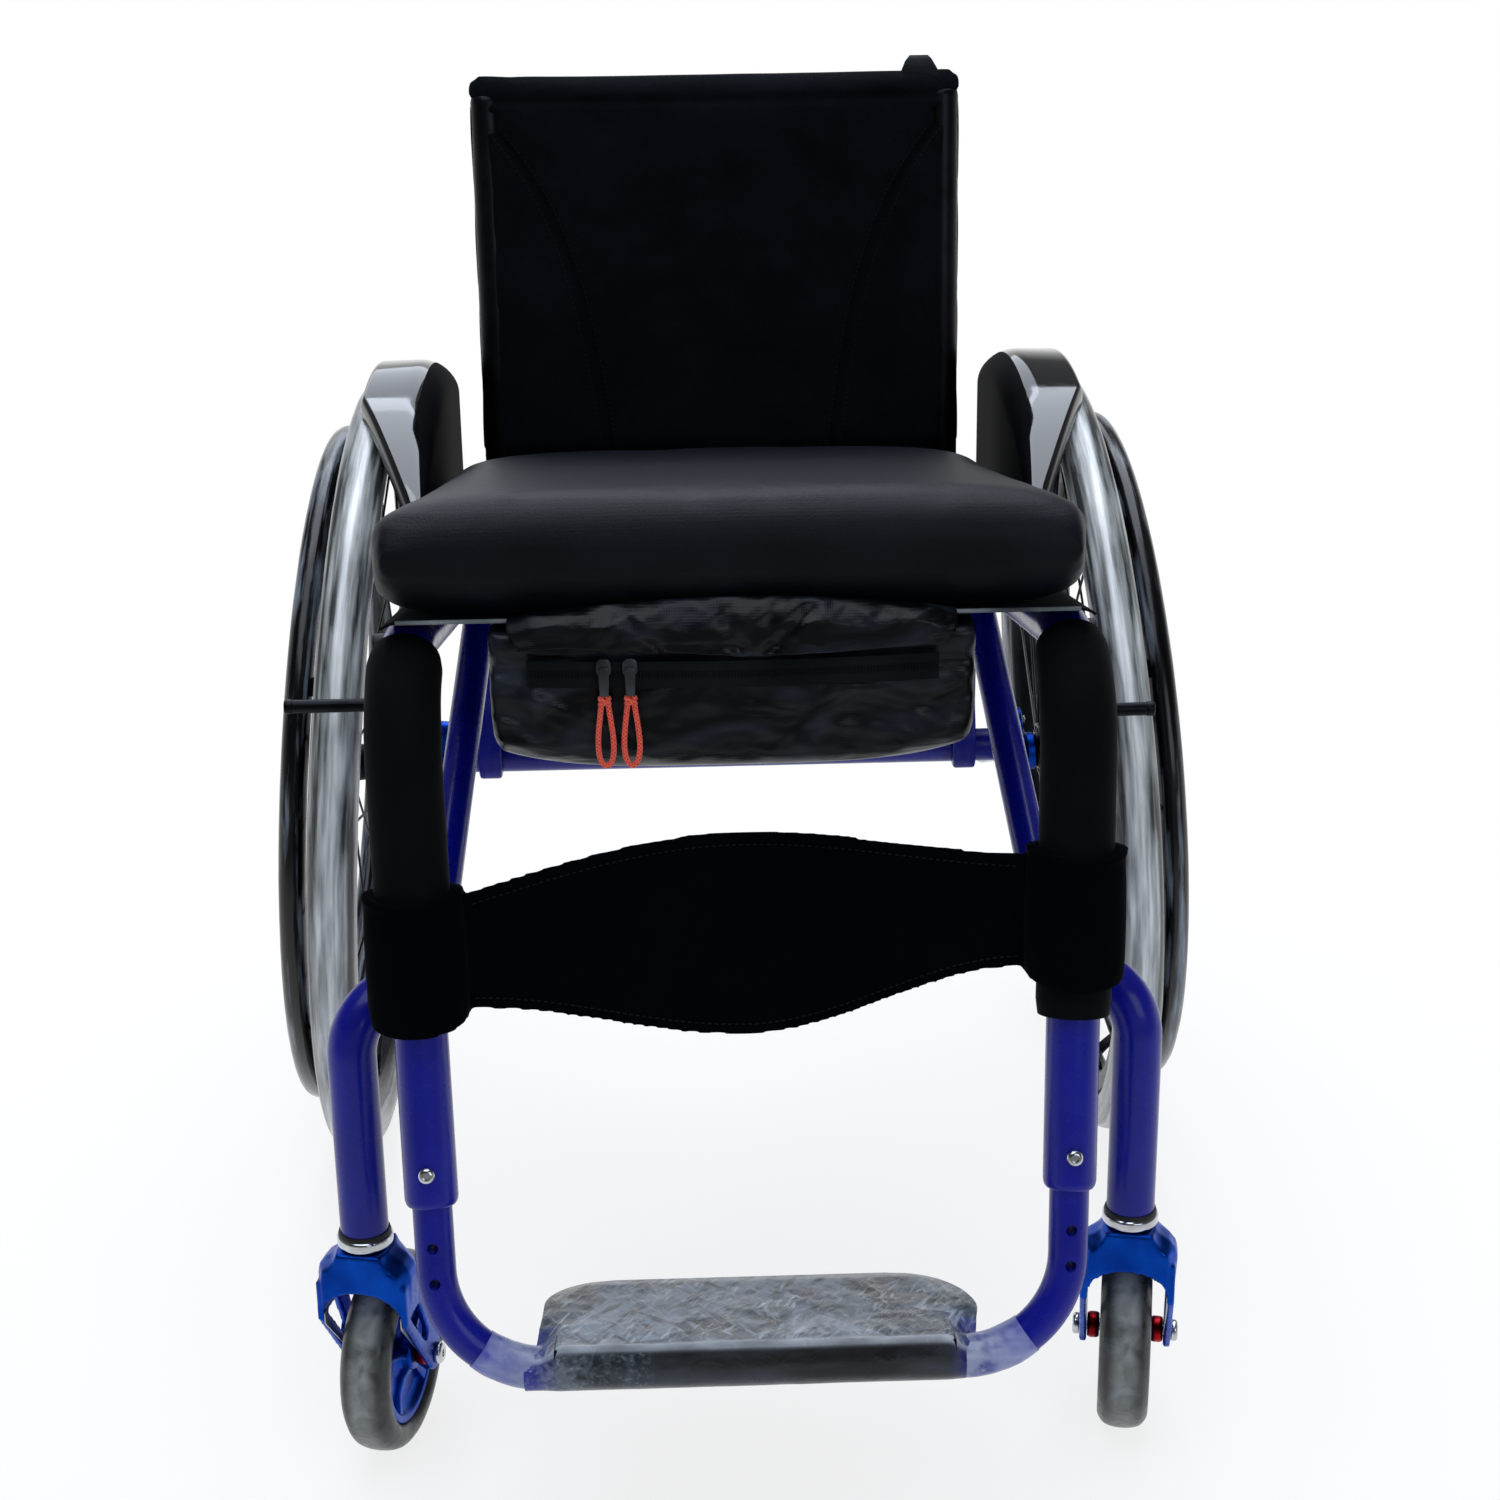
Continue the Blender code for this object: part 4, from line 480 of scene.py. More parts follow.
knit = cloth("knitted_spacer_fabric", "black_fabric", "#06090d", "#0c1015", 1.8, 0.35, 0.9, 0.04, 0.03)
smooth_knit = cloth("smooth_stretch_knit", "black_fabric", "#060a10", "#0b1118", 1.8, 0.2, 0.5, 0.03, 0.13)
neoprene = cloth("knit_faced_neoprene", "black_fabric", "#020305", "#040508", 1.2, 0.16, 0.95, 0.02, 0.02)
foam = cloth("closed_cell_foam", "black_foam", "#050607", "#090a0c", 0.9, 0.12, 0.8, 0.03, 0.06)
sling_cloth = cloth("woven_sling_nylon", "coated_nylon", "#06080a", "#0b0d10", 0.9, 0.1, 0.8, 0.02, 0.04)
coil = cloth("moulded_nylon_coil", "coated_nylon", "#070c0e", "#0f1619", 0.8, 0.05, 0.7, 0.0, 0.08)
webbing = cloth("nylon_webbing", "black_fabric", "#090b0e", "#12151a", 1.0, 0.3, 0.7, 0.05, 0.08)

# %% [markdown]
# The pouch and the sling are nylon with a thin coating. It creases sharply and shines softly
# along the creases, and the creases are also painted pale, as painted highlights. The ripstop
# threads are 0.4 mm apart and are drawn 1.5 mm apart.

# %% Coated nylon
nylon, tree, shader, where = finish(
    "coated_ripstop_nylon", "coated_nylon", "#07090d", 0.3, Specular_IOR_Level=0.24)
THREAD_PITCH_MM = 1.5
axes = add(tree, "ShaderNodeSeparateXYZ", {0: where}).outputs
threads = []
for axis in (0, 2):
    thread_turns = 2 * math.pi / (THREAD_PITCH_MM * MM)
    angle = add(tree, "ShaderNodeMath", {0: axes[axis], 1: thread_turns}, operation="MULTIPLY")
    threads.append(add(tree, "ShaderNodeMath", {0: angle}, operation="SINE"))
woven = add(tree, "ShaderNodeMath", {0: threads[0], 1: threads[1]}, operation="MAXIMUM")
crease = speckle(tree, where, 34, 2, (0.6, 1, 1.2), 0.8)
# painted highlights: the creases are painted pale, and the cloth between them near black
paint_with(tree, shader, between(tree, crease, "#020305", "#1d242e", 0.46, 0.72),
           ranged(tree, crease, 0.24, 0.36))
first = bump(tree, shader, woven, 0.05, 0.6)
bump(tree, shader, crease, 4.0, 0.8, first)

# %% [markdown]
# The zip pulls are loops of braided orange cord. Its mesh carries the angle round the cord and
# the length along it, and two sets of strands cross where those run against each other.

# %% Braided cord
BRAID_PITCH_MM = 2.4
cord_braid, tree, shader, _ = finish(
    "braided_polyester_cord", "orange_cord", "#e8492c", 0.7, Sheen_Weight=0.2)
round_cord = add(tree, "ShaderNodeAttribute", attribute_name="braid").outputs["Vector"]
braid = add(tree, "ShaderNodeSeparateXYZ", {0: round_cord})
angle = add(tree, "ShaderNodeMath", {0: braid.outputs[1], 1: braid}, operation="ARCTAN2")
strands = []
for lean in (1.0, -1.0):
    strand_turns = lean * 2 * math.pi / (BRAID_PITCH_MM * MM)
    along = add(tree, "ShaderNodeMath", {0: braid.outputs[2], 1: strand_turns}, operation="MULTIPLY")
    phase = add(tree, "ShaderNodeMath", {0: angle, 1: 4.0, 2: along}, operation="MULTIPLY_ADD")
    strands.append(add(tree, "ShaderNodeMath", {0: phase}, operation="SINE"))
crossing = add(tree, "ShaderNodeMath", {0: strands[0], 1: strands[1]}, operation="MAXIMUM")
# painted shade: the cord is painted darker where its strands dip between their crossings
paint_with(tree, shader, between(tree, crossing, "#b52f18", "#f0563a", -0.6, 0.8))
bump(tree, shader, crossing, 0.25)

# %% [markdown]
# The footplate and the ends of its bar are wrapped in the same clear film. Stretched, it lies in
# dull facets, painted lighter and darker as painted reflections, with thin white creases painted
# as glints and a painted highlight along its folded edge. What it covers shows through: black on
# the plate's lip and blue on the bar. The mesh says where each of those is.

# %% Crumpled film
film, tree, shader, where = finish(
    "crumpled_stretch_film", "polished_steel", "#5a636f", 0.2, Specular_IOR_Level=0.45)
spot = add(tree, "ShaderNodeAttribute", attribute_name="film").outputs["Vector"]
on_plate, on_bar, on_edge = add(tree, "ShaderNodeSeparateXYZ", {0: spot}).outputs


def crease_lines(lean, long, size_mm, first, last):
    """Thin crease lines that all lean one way: noise drawn out along them, used as dark streaks and as painted
    glints.
    """
    drawn = add(tree, "ShaderNodeMapping",
                {"Vector": where, "Rotation": (0, 0, math.radians(lean)), "Scale": (long, 1.0, 1.0)},
                vector_type="TEXTURE")
    lines = add(tree, "ShaderNodeTexNoise", {
        "Vector": drawn, "Scale": 1 / (size_mm * MM), "Detail": 4.0, "Distortion": 0.2})
    return add(tree, "ShaderNodeMapRange", {0: lines, 1: first, 2: last})


def either(*fields):
    most = fields[0]
    for other in fields[1:]:
        most = add(tree, "ShaderNodeMath", {0: most, 1: other}, operation="MAXIMUM")
    return most


FACET_MM = 46
# painted reflection: the film's facets are painted lighter and darker, as if each mirrored a different part of the
# room
drawn = add(tree, "ShaderNodeMapping", {"Vector": where, "Rotation": (0, 0, 0.3), "Scale": (1, 0.6, 1)})
cells = add(tree, "ShaderNodeTexVoronoi", {"Vector": drawn, "Scale": 1 / (FACET_MM * MM)}).outputs["Color"]
facet = add(tree, "ShaderNodeSeparateXYZ", {0: cells})
cloud = add(tree, "ShaderNodeMath", {0: facet, 1: 0.3, 2: speckle(tree, where, 22, 4, (1, 0.4, 1), 0.6)},
            operation="MULTIPLY_ADD")
painted_facet_reflections = between(tree, cloud, "#202a35", "#8592a0", 0.44, 0.8)
# dark streaks across the painted reflections
streaks = either(crease_lines(56, 8, 9.0, 0.5, 0.68), crease_lines(126, 7, 8.0, 0.54, 0.72))
painted_facet_reflections = add(tree, "ShaderNodeMix", {0: streaks, 6: painted_facet_reflections, 7: opaque("#1d2631")},
              data_type="RGBA").outputs[2]
gate = ranged(tree, speckle(tree, where, 34, 3), 0.15, 1.0)
# painted glints: thin white creases, broken up by noise, only on the plate's top
lined = either(crease_lines(68, 16, 3.4, 0.54, 0.72), crease_lines(114, 14, 4.2, 0.55, 0.76),
               crease_lines(40, 12, 2.6, 0.57, 0.78))
lined = add(tree, "ShaderNodeMath", {0: lined, 1: gate}, operation="MULTIPLY")
lined = add(tree, "ShaderNodeMath", {0: lined, 1: on_plate}, operation="MULTIPLY")
broken = ranged(tree, speckle(tree, where, 14, 3, (0.4, 1, 1)), 0.3, 1.0)
# painted highlight along the film's folded front edge, broken by noise
folded = add(tree, "ShaderNodeMath", {0: on_edge, 1: broken}, operation="MULTIPLY")
bare = add(tree, "ShaderNodeMapRange", {0: on_bar, 3: 1.0, 4: 0.5})
whole = add(tree, "ShaderNodeMath", {0: either(lined, folded), 1: bare}, operation="MULTIPLY")
# the plate's black lip under the film; its paler speckles are painted reflections
dark_lip = between(tree, speckle(tree, where, 12, 4, (0.2, 1, 0.7)), "#07090c", "#343c46", 0.4, 0.75)
under = add(tree, "ShaderNodeMix", {0: on_plate, 6: dark_lip, 7: painted_facet_reflections}, data_type="RGBA").outputs[2]
under = add(tree, "ShaderNodeMix", {0: on_bar, 6: under, 7: opaque("#1a269c")}, data_type="RGBA").outputs[2]
# the painted glints and the painted fold highlight are mixed in as near white
creased = add(tree, "ShaderNodeMix", {0: whole, 6: under, 7: opaque("#cdd5de")}, data_type="RGBA")
paint_with(tree, shader, creased.outputs[2], ranged(tree, cloud, 0.14, 0.3))
bump(tree, shader, speckle(tree, where, 12, 3, (1, 0.5, 1), 1.0), 0.5)

# %% [markdown]
# Two small finishes are left. The sling's hem is bound with a grey woven tape, worn pale in
# places, and the lever grips, tube plugs and stem seals are plain moulded rubber.

# %% Binding tape and grip rubber
pale_thread, tree, shader, where = finish(
    "polyester_binding_tape", "coated_nylon", "#555b5f", 0.6, Specular_IOR_Level=0.1)
paint_with(tree, shader, between(tree, speckle(tree, where, 26, 3, (0.5, 1, 1)), "#1b1e21", "#7d8386"))
bump(tree, shader, speckle(tree, where, 1.0, 2), 0.1)
grip_rubber = mottled(finish("moulded_rubber_grip", "black_alloy", "#0d0e10", 0.6),
                      (8, 3, "#0a0b0c", "#141517"), None, (1.2, 2, 0.15))

# %% [markdown]
# ## Ways of making a shape
# Tubes are rings swept along a line, wheels are profiles turned about an axle, and plates are
# outlines pulled through a thickness. Each helper gives points and faces, so shapes can be
# moved and joined before they become a mesh.

# %% Shape helpers
def band_faces(rings, count, wrap=False):
    faces = []
    for i in range(rings if wrap else rings - 1):
        a, b = i * count, ((i + 1) % rings) * count
        faces += [(a + k, a + (k + 1) % count, b + (k + 1) % count, b + k) for k in range(count)]
    return faces


def grid_faces(rows, columns):
    """Faces of a sheet whose points come row by row."""
    width = columns + 1
    return [(i * width + j, i * width + j + 1, (i + 1) * width + j + 1, (i + 1) * width + j)
            for i in range(rows) for j in range(columns)]


def loft(rings, wrap=False):
    """Closed skin through rings with the same number of points."""
    count = len(rings[0])
    faces = band_faces(len(rings), count, wrap)
    if not wrap:
        last = (len(rings) - 1) * count
        faces += [tuple(range(count)), tuple(range(last, last + count))]
    return [Vector(p) for ring in rings for p in ring], faces


def swept_rings(path, radius, sides):
    """Rings square to a path, each turned as little as possible from the one before."""
    path = [Vector(p) for p in path]
    last = len(path) - 1
    tangents = [(path[min(i + 1, last)] - path[max(i - 1, 0)]).normalized() for i in range(last + 1)]
    out = tangents[0].cross(Vector((1, 0, 0)))
    if out.length < 0.2:
        out = tangents[0].cross(Vector((0, 1, 0)))
    rings = []
    for i, centre in enumerate(path):
        out = (out - tangents[i] * out.dot(tangents[i])).normalized()
        other = tangents[i].cross(out)
        size = radius[i] if isinstance(radius, (list, tuple)) else radius
        rings.append([centre + size * (math.cos(2 * math.pi * k / sides) * out
                                       + math.sin(2 * math.pi * k / sides) * other) for k in range(sides)])
    return rings


def swept(path, radius, sides=36):
    return loft(swept_rings(path, radius, sides))


def rod(start, end, radius, sides=28, round_off=0.0):
    """A straight round bar, with its end edges rounded off."""
    start, end = Vector(start), Vector(end)
    way = (end - start).normalized()
    if not round_off:
        return swept([start, end], radius, sides)
    steps = [round_off * (1 - math.cos(a * math.pi / 8)) for a in range(5)]
    drops = [round_off * (1 - math.sin(a * math.pi / 8)) for a in range(5)]
    path = [start + way * s for s in steps] + [end - way * s for s in reversed(steps)]
    return swept(path, [radius - d for d in drops] + [radius - d for d in reversed(drops)], sides)


def crossways(side, start, end, place, *size):
    """A rod across the chair, between two distances out from its middle."""
    return rod((side * start, *place), (side * end, *place), *size)


def turned(profile, steps=96, closed=True):
    """(x, radius) points turned about X. Open profiles start and end on the axis."""
    points, index = [], []
    for x, radius in profile:
        if radius < 1e-6:
            index.append([len(points)] * steps)
            points.append(Vector((x, 0, 0)))
            continue
        index.append(list(range(len(points), len(points) + steps)))
        points += [Vector((x, radius * math.cos(2 * math.pi * k / steps),
                           radius * math.sin(2 * math.pi * k / steps))) for k in range(steps)]
    faces = []
    for i in range(len(profile) if closed else len(profile) - 1):
        a, b = index[i], index[(i + 1) % len(profile)]
        for k in range(steps):
            n = (k + 1) % steps
            faces.append(tuple(dict.fromkeys((a[k], a[n], b[n], b[k]))))
    return points, [f for f in faces if len(f) > 2]


def rounded(corners, radius, steps=3, closed=True):
    """An outline with its corners rounded off."""
    out, last = [], len(corners) - 1
    for i, corner in enumerate(corners):
        here = Vector(corner)
        if not closed and i in (0, last):
            out.append(tuple(here))
            continue
        back, on = Vector(corners[i - 1]) - here, Vector(corners[(i + 1) % len(corners)]) - here
        reach = min(radius, back.length * 0.45, on.length * 0.45)
        a, b = here + back.normalized() * reach, here + on.normalized() * reach
        out += [tuple(a.lerp(here, k / steps).lerp(here.lerp(b, k / steps), k / steps))
                for k in range(steps + 1)]
    return out


def mirrored(half, between_halves=()):
    """A half outline followed by its mirror image, with any points that stand in the middle."""
    return [*half, *between_halves, *[(-a, b) for a, b in reversed(half)]]


def arc(centre, radius, start, end, steps):
    return [(centre[0] + radius * math.cos(math.radians(start + (end - start) * i / steps)),
             centre[1] + radius * math.sin(math.radians(start + (end - start) * i / steps)))
             for i in range(steps + 1)]


def plate(outline, low, high, across_axis="X", edge=0.6):
    """An outline pulled through a thickness, with softened edges."""
    put = {"X": lambda u, v, w: (w, u, v), "Y": lambda u, v, w: (u, w, v),
           "Z": lambda u, v, w: (u, v, w)}[across_axis]
    middle = Vector((sum(p[0] for p in outline) / len(outline), sum(p[1] for p in outline) / len(outline)))
    levels = [(low, edge), (low + edge * 0.3, edge * 0.3), (low + edge, 0.0)]
    levels += [(high - edge, 0.0), (high - edge * 0.3, edge * 0.3), (high, edge)]
    rings = []
    for level_at, inset in levels:
        ring = []
        for u, v in outline:
            away = Vector((u, v)) - middle
            shift = away.normalized() * inset
            ring.append(put(u - shift.x, v - shift.y, level_at))
        rings.append(ring)
    return loft(rings)


def moved(shape, matrix):
    return [matrix @ Vector(p) for p in shape[0]], shape[1]


def joined(*shapes):
    points, faces = [], []
    for own_points, own_faces in shapes:
        shift = len(points)
        points += list(own_points)
        faces += [tuple(v + shift for v in face) for face in own_faces]
    return points, faces


def bent(corners, bends, steps=18):
    """A line through corner points with each inner corner rounded to a bend radius."""
    corners = [Vector(c) for c in corners]
    path = [corners[0]]
    for i, bend in enumerate(bends, start=1):
        back, on = (corners[i - 1] - corners[i]).normalized(), (corners[i + 1] - corners[i]).normalized()
        half = back.angle(on) / 2
        reach = bend / math.tan(half)
        middle = corners[i] + (back + on).normalized() * (bend / math.sin(half))
        first, last = corners[i] + back * reach - middle, corners[i] + on * reach - middle
        normal = first.cross(last).normalized()
        path += [middle + Matrix.Rotation(first.angle(last) * k / steps, 3, normal) @ first
                 for k in range(steps + 1)]
    return path + [corners[-1]]


# %% [markdown]
# A shape becomes a piece in one call: its mesh goes to the row frame, gets its finish and smooth
# shading, rides on its CAD body and says which CAD nodes it stands for.

# %% Pieces
PIECES = []
SMOOTH_ALL = 180


def outward_mesh(name, points, faces, look):
    """A mesh from points in metres, with its faces turned outward."""
    mesh = bpy.data.meshes.new(name)
    mesh.from_pydata(points, [], faces)
    work = bmesh.new()
    work.from_mesh(mesh)
    bmesh.ops.recalc_face_normals(work, faces=work.faces)
    work.to_mesh(mesh)
    work.free()
    mesh.materials.append(look)
    return mesh


def mesh_of(name, shape, look, smooth=32, attributes=None):
    mesh = outward_mesh(name, [row(p) for p in shape[0]], shape[1], look)
    for label, values in (attributes or {}).items():
        layer = mesh.attributes.new(label, "FLOAT_VECTOR", "POINT")
        layer.data.foreach_set("vector", np.array(values, np.float32).ravel())
    shade(mesh, smooth)
    return mesh


def shade(mesh, angle):
    mesh.shade_smooth()
    if angle < SMOOTH_ALL:
        mesh.set_sharp_from_angle(angle=math.radians(angle))


def dress(made, body, stands_for=()):
    """Ride on a body and stand for CAD nodes, whose parts are hidden."""
    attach(made, body)
    if stands_for:
        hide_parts(*([stands_for] if isinstance(stands_for, str) else stands_for))
    PIECES.append(made)
    return made


def put(mesh, name):
    made = bpy.data.objects.new(name, mesh)
    bpy.context.scene.collection.objects.link(made)
    return made


def piece(name, shape, look, body, stands_for=(), smooth=32, attributes=None):
    return dress(put(mesh_of(name, shape, look, smooth, attributes), name), body, stands_for)


def evaluated(made):
    """An object's mesh as its modifiers leave it."""
    seen = bpy.context.evaluated_depsgraph_get()
    seen.update()
    return bpy.data.meshes.new_from_object(made.evaluated_get(seen))


def settle(made, smooth=None):
    """Turn an object's modifiers into plain mesh, which keeps the object's finish."""
    look, mesh = made.data.materials[0], evaluated(made)
    made.modifiers.clear()
    made.data = mesh
    if not mesh.materials:
        mesh.materials.append(look)
    if smooth is not None:
        shade(mesh, smooth)
    return made


def modify(made, kind, **settings):
    """Add a modifier and set its properties."""
    step = made.modifiers.new(kind.lower(), kind)
    for name, value in settings.items():
        setattr(step, name, value)
    return step


def even_skin(made, voxel_mm):
    modify(made, "REMESH", mode="VOXEL", voxel_size=voxel_mm * MM)


def finer(made, smooth):
    """Split each face in four, round the surface, and keep that as plain mesh."""
    modify(made, "SUBSURF", levels=1, render_levels=1)
    return settle(made, smooth)


def melted(name, shape, look, voxel_mm, passes, cuts=()):
    """One skin round overlapping solids, with its edges and inner corners rounded as if forged or foamed."""
    made = put(mesh_of(name, shape, look, SMOOTH_ALL), name)
    blanks = [put(mesh_of(f"{name}_cut", blank, look), f"{name}_cut") for blank in cuts]
    even_skin(made, voxel_mm)
    for blank in blanks:
        modify(made, "BOOLEAN", object=blank, solver="EXACT")
    if blanks:
        even_skin(made, voxel_mm)
    modify(made, "SMOOTH", factor=0.5, iterations=passes)
    settle(made, SMOOTH_ALL)
    for blank in blanks:
        bpy.data.objects.remove(blank)
    return made


def drilled(name, shape, look, holes, smooth=32):
    """A solid with exact round holes through it."""
    made = put(mesh_of(name, shape, look, smooth), name)
    drill = put(mesh_of(f"{name}_drill", joined(*holes), look), f"{name}_drill")
    modify(made, "BOOLEAN", operation="DIFFERENCE", solver="EXACT", object=drill)
    settle(made, smooth)
    bpy.data.objects.remove(drill)
    return made


# %% [markdown]
# Spokes, tabs, weld ripples, stitches and zip teeth repeat. Two Geometry Nodes trees place
# them: one goes along a line at a fixed pitch, the other goes round an axle. Each result is
# turned into plain mesh, because instances are lost on export.

# %% What both trees share
def tree_start(name, **inputs):
    """An empty tree with its inputs declared, and the sockets that give them."""
    tree = bpy.data.node_groups.new(name, "GeometryNodeTree")
    for label, kind in inputs.items():
        tree.interface.new_socket(label, in_out="INPUT", socket_type=f"NodeSocket{kind}")
    tree.interface.new_socket("Items", in_out="OUTPUT", socket_type="NodeSocketGeometry")
    return tree, add(tree, "NodeGroupInput").outputs


def tree_end(tree, given, places, turns):
    """Copy the item to each place, make the copies real and give them their finish."""
    item = add(tree, "GeometryNodeObjectInfo", {"Object": given["Item"]})
    copies = add(tree, "GeometryNodeInstanceOnPoints", {
        "Points": places, "Instance": item.outputs["Geometry"], "Rotation": turns})
    real = add(tree, "GeometryNodeRealizeInstances", {0: copies})
    last = add(tree, "GeometryNodeSetMaterial", {"Geometry": real, "Material": given["Finish"]})
    add(tree, "NodeGroupOutput", {0: last})
    return tree


# %% [markdown]
# The first tree turns each item to face along the line. It lays the stitches, the zip's teeth
# and the ripples of the welds.

# %% Tree that repeats an item along a line
def line_tree():
    tree, given = tree_start("items_along_a_line", Line="Geometry", Item="Object", Pitch="Float", Up="Vector",
                             Finish="Material")
    curve = add(tree, "GeometryNodeMeshToCurve", {0: given["Line"]})
    dots = add(tree, "GeometryNodeCurveToPoints", {"Curve": curve, "Length": given["Pitch"]}, mode="LENGTH")
    lined = add(tree, "FunctionNodeAlignRotationToVector", {"Vector": dots.outputs["Tangent"]}, axis="Z")
    faced = add(tree, "FunctionNodeAlignRotationToVector", {
        "Rotation": lined, "Vector": given["Up"]}, axis="X", pivot_axis="Z")
    return tree_end(tree, given, dots.outputs["Points"], faced)


# %% [markdown]
# The second tree turns its item about the X axis by equal shares of a full turn. It lays the
# spokes, the push ring's tabs and the ribs of the caster hubs.

# %% Tree that repeats an item round the X axis
def round_tree():
    tree, given = tree_start("items_round_an_axle", Start="Geometry", Item="Object", Count="Int",
                             First="Float", Finish="Material")
    dots = add(tree, "GeometryNodeMeshLine", {"Count": given["Count"], "Offset": (0, 0, 0)})
    index = add(tree, "GeometryNodeInputIndex")
    share = add(tree, "ShaderNodeMath", {0: index, 1: given["Count"]}, operation="DIVIDE")
    angle = add(tree, "ShaderNodeMath", {0: share, 1: 2 * math.pi, 2: given["First"]},
                operation="MULTIPLY_ADD")
    turn = add(tree, "ShaderNodeCombineXYZ", {0: angle})
    return tree_end(tree, given, dots, turn)


ALONG, ROUND = line_tree(), round_tree()


def item_object(name, shape, look):
    """A small mesh in metres about its own origin, kept out of the scene, that a tree copies."""
    mesh = outward_mesh(name, [Vector(p) * MM for p in shape[0]], shape[1], look)
    mesh.shade_smooth()
    return bpy.data.objects.new(name, mesh)


def grown(name, base, tree, values):
    """Run a tree on a base mesh and keep the result as plain mesh."""
    made = put(base, name)
    step = modify(made, "NODES", node_group=tree)
    for socket in tree.interface.items_tree:
        if socket.in_out == "INPUT" and socket.name in values:
            step[socket.identifier] = values[socket.name]
    mesh = evaluated(made)
    bpy.data.objects.remove(made)
    mesh.name = name
    return mesh


def along_line(name, lines, item, pitch_mm, look, up=(0, 0, 1)):
    """Copies of an item along one or more lines of points, as shape points in the row frame."""
    base = bpy.data.meshes.new(f"{name}_line")
    points, edges = [], []
    for line in lines:
        first = len(points)
        points += [row(p) for p in line]
        edges += [(first + i, first + i + 1) for i in range(len(line) - 1)]
    base.from_pydata(points, edges, [])
    return grown(name, base, ALONG, {"Item": item, "Pitch": pitch_mm * MM, "Up": up, "Finish": look})


def round_axle(name, item, count, first, look, place):
    """Copies of an item round the X axis, then moved to the axle's place in millimetres."""
    base = bpy.data.meshes.new(f"{name}_start")
    base.from_pydata([(0, 0, 0)], [], [])
    mesh = grown(name, base, ROUND, {"Item": item, "Count": count, "First": first, "Finish": look})
    in_metres = place.copy()
    in_metres.translation = place.translation * MM
    mesh.transform(Matrix.Translation(ORIGIN) @ in_metres)
    return mesh


def merged(name, look, *meshes, smooth=32):
    """Several meshes as one object."""
    work = bmesh.new()
    for mesh in meshes:
        work.from_mesh(mesh)
    whole = bpy.data.meshes.new(name)
    work.to_mesh(whole)
    work.free()
    for mesh in meshes:
        bpy.data.meshes.remove(mesh)
    whole.materials.append(look)
    shade(whole, smooth)
    return put(whole, name)


# %% [markdown]
# ## The frame
# Each side is one tube: it runs along the seat, bends down at the knee and ends in a socket
# for the footrest. The end is turned in a little, as a swaged tube is. A second, slimmer tube
# braces the seat to the upright that carries the caster.

# %% Side tubes
KNEE_BEND, RAIL_END = 75.0, 45.0
BOLT_ABOVE_END, BOLT_HOLE, PLUG = 21.0, 3.3, 13.6
# how far above the tube's end, and how much slimmer, each ring of its turned-in edge is
SWAGE = [(5.0, 0.0), (3.2, 0.25), (1.6, 0.8), (0.5, 1.6), (0.0, 2.6)]


def side_path(side, steps=28):
    corners = [rail_point(side, RAIL_END), rail_point(side, -KNEE_Y), front_line(side, SOCKET_Z)]
    return bent(corners, [KNEE_BEND], steps)


def bolt_spot(side):
    down = down_front(side)
    forward = Vector((0, -1, 0))
    at = front_line(side, SOCKET_Z) - down * BOLT_ABOVE_END
    return at, (forward - down * forward.dot(down)).normalized()


for side in (1, -1):
    path = side_path(side)
    end, down = path.pop(), down_front(side)
    radii = [TUBE] * len(path) + [TUBE - slimmer for _, slimmer in SWAGE]
    path += [end - down * up for up, _ in SWAGE]
    spot, forward = bolt_spot(side)
    mouth = rod(end - down * 6.0, end + down * 4.0, FOOT_TUBE + 0.3, 40)
    hole = rod(spot, spot + forward * 30, BOLT_HOLE, 20)
    tube_piece = drilled(f"frame_tube_{WORD[side]}", swept(path, radii, 44), blue_coat, [mouth, hole])
    dress(tube_piece, "frame", f"side_tube_{WORD[side]}")
    plug_at = rail_point(side, RAIL_END)
    back = (plug_at - rail_point(side, 0)).normalized()
    plug = rod(plug_at - back * 2, plug_at + back * 2.2, PLUG, 36, 1.6)
    piece(f"tube_plug_{WORD[side]}", plug, grip_rubber, "frame")
print("side tubes from", round(RAIL_END), "mm behind the axle to", SOCKET_Z, "mm high")

# %% [markdown]
# Each caster frame is one thicker tube, bent twice, that runs down to the caster's bearings, a
# brace up to the seat tube and a short gusset to the front tube.

# %% Caster frames
BRACE, GUSSET, HOUSING_BEND = 11.0, 5.5, 33.0
HOUSING_BENT_Z, HOUSING_LOW = 319.0, 169.5


def brace_ends(side):
    return Vector((side * 174.0, -205.0, 477.0)), Vector((side * 191.0, -462.0, 321.0))


def gusset_start(side):
    """Where the small tube starts that ties the caster frame to the front tube."""
    end = brace_ends(side)[1]
    return Vector((end.x, end.y, end.z - HOUSING / 2 - GUSSET))


for side in (1, -1):
    start, end = brace_ends(side)
    stem = Vector((side * STEM_X, -STEM_Y, HOUSING_BENT_Z))
    foot = Vector((side * STEM_X, -STEM_Y, HOUSING_LOW))
    upright_path = bent([end.lerp(start, 0.15), end, stem, foot], [HOUSING_BEND, HOUSING_BEND], 14)
    low = gusset_start(side)
    shape = joined(
        swept(upright_path, HOUSING, 40), rod(start, end, BRACE, 32),
        rod(low, front_line(side, low.z), GUSSET, 24))
    piece(f"caster_upright_{WORD[side]}", shape, blue_coat, "frame", f"caster_frame_{WORD[side]}", smooth=50)

# %% [markdown]
# At the rear a straight tube holds both wheels' clamps, and a forged post on each side carries
# it. A cross tube under the seat stiffens the frame.

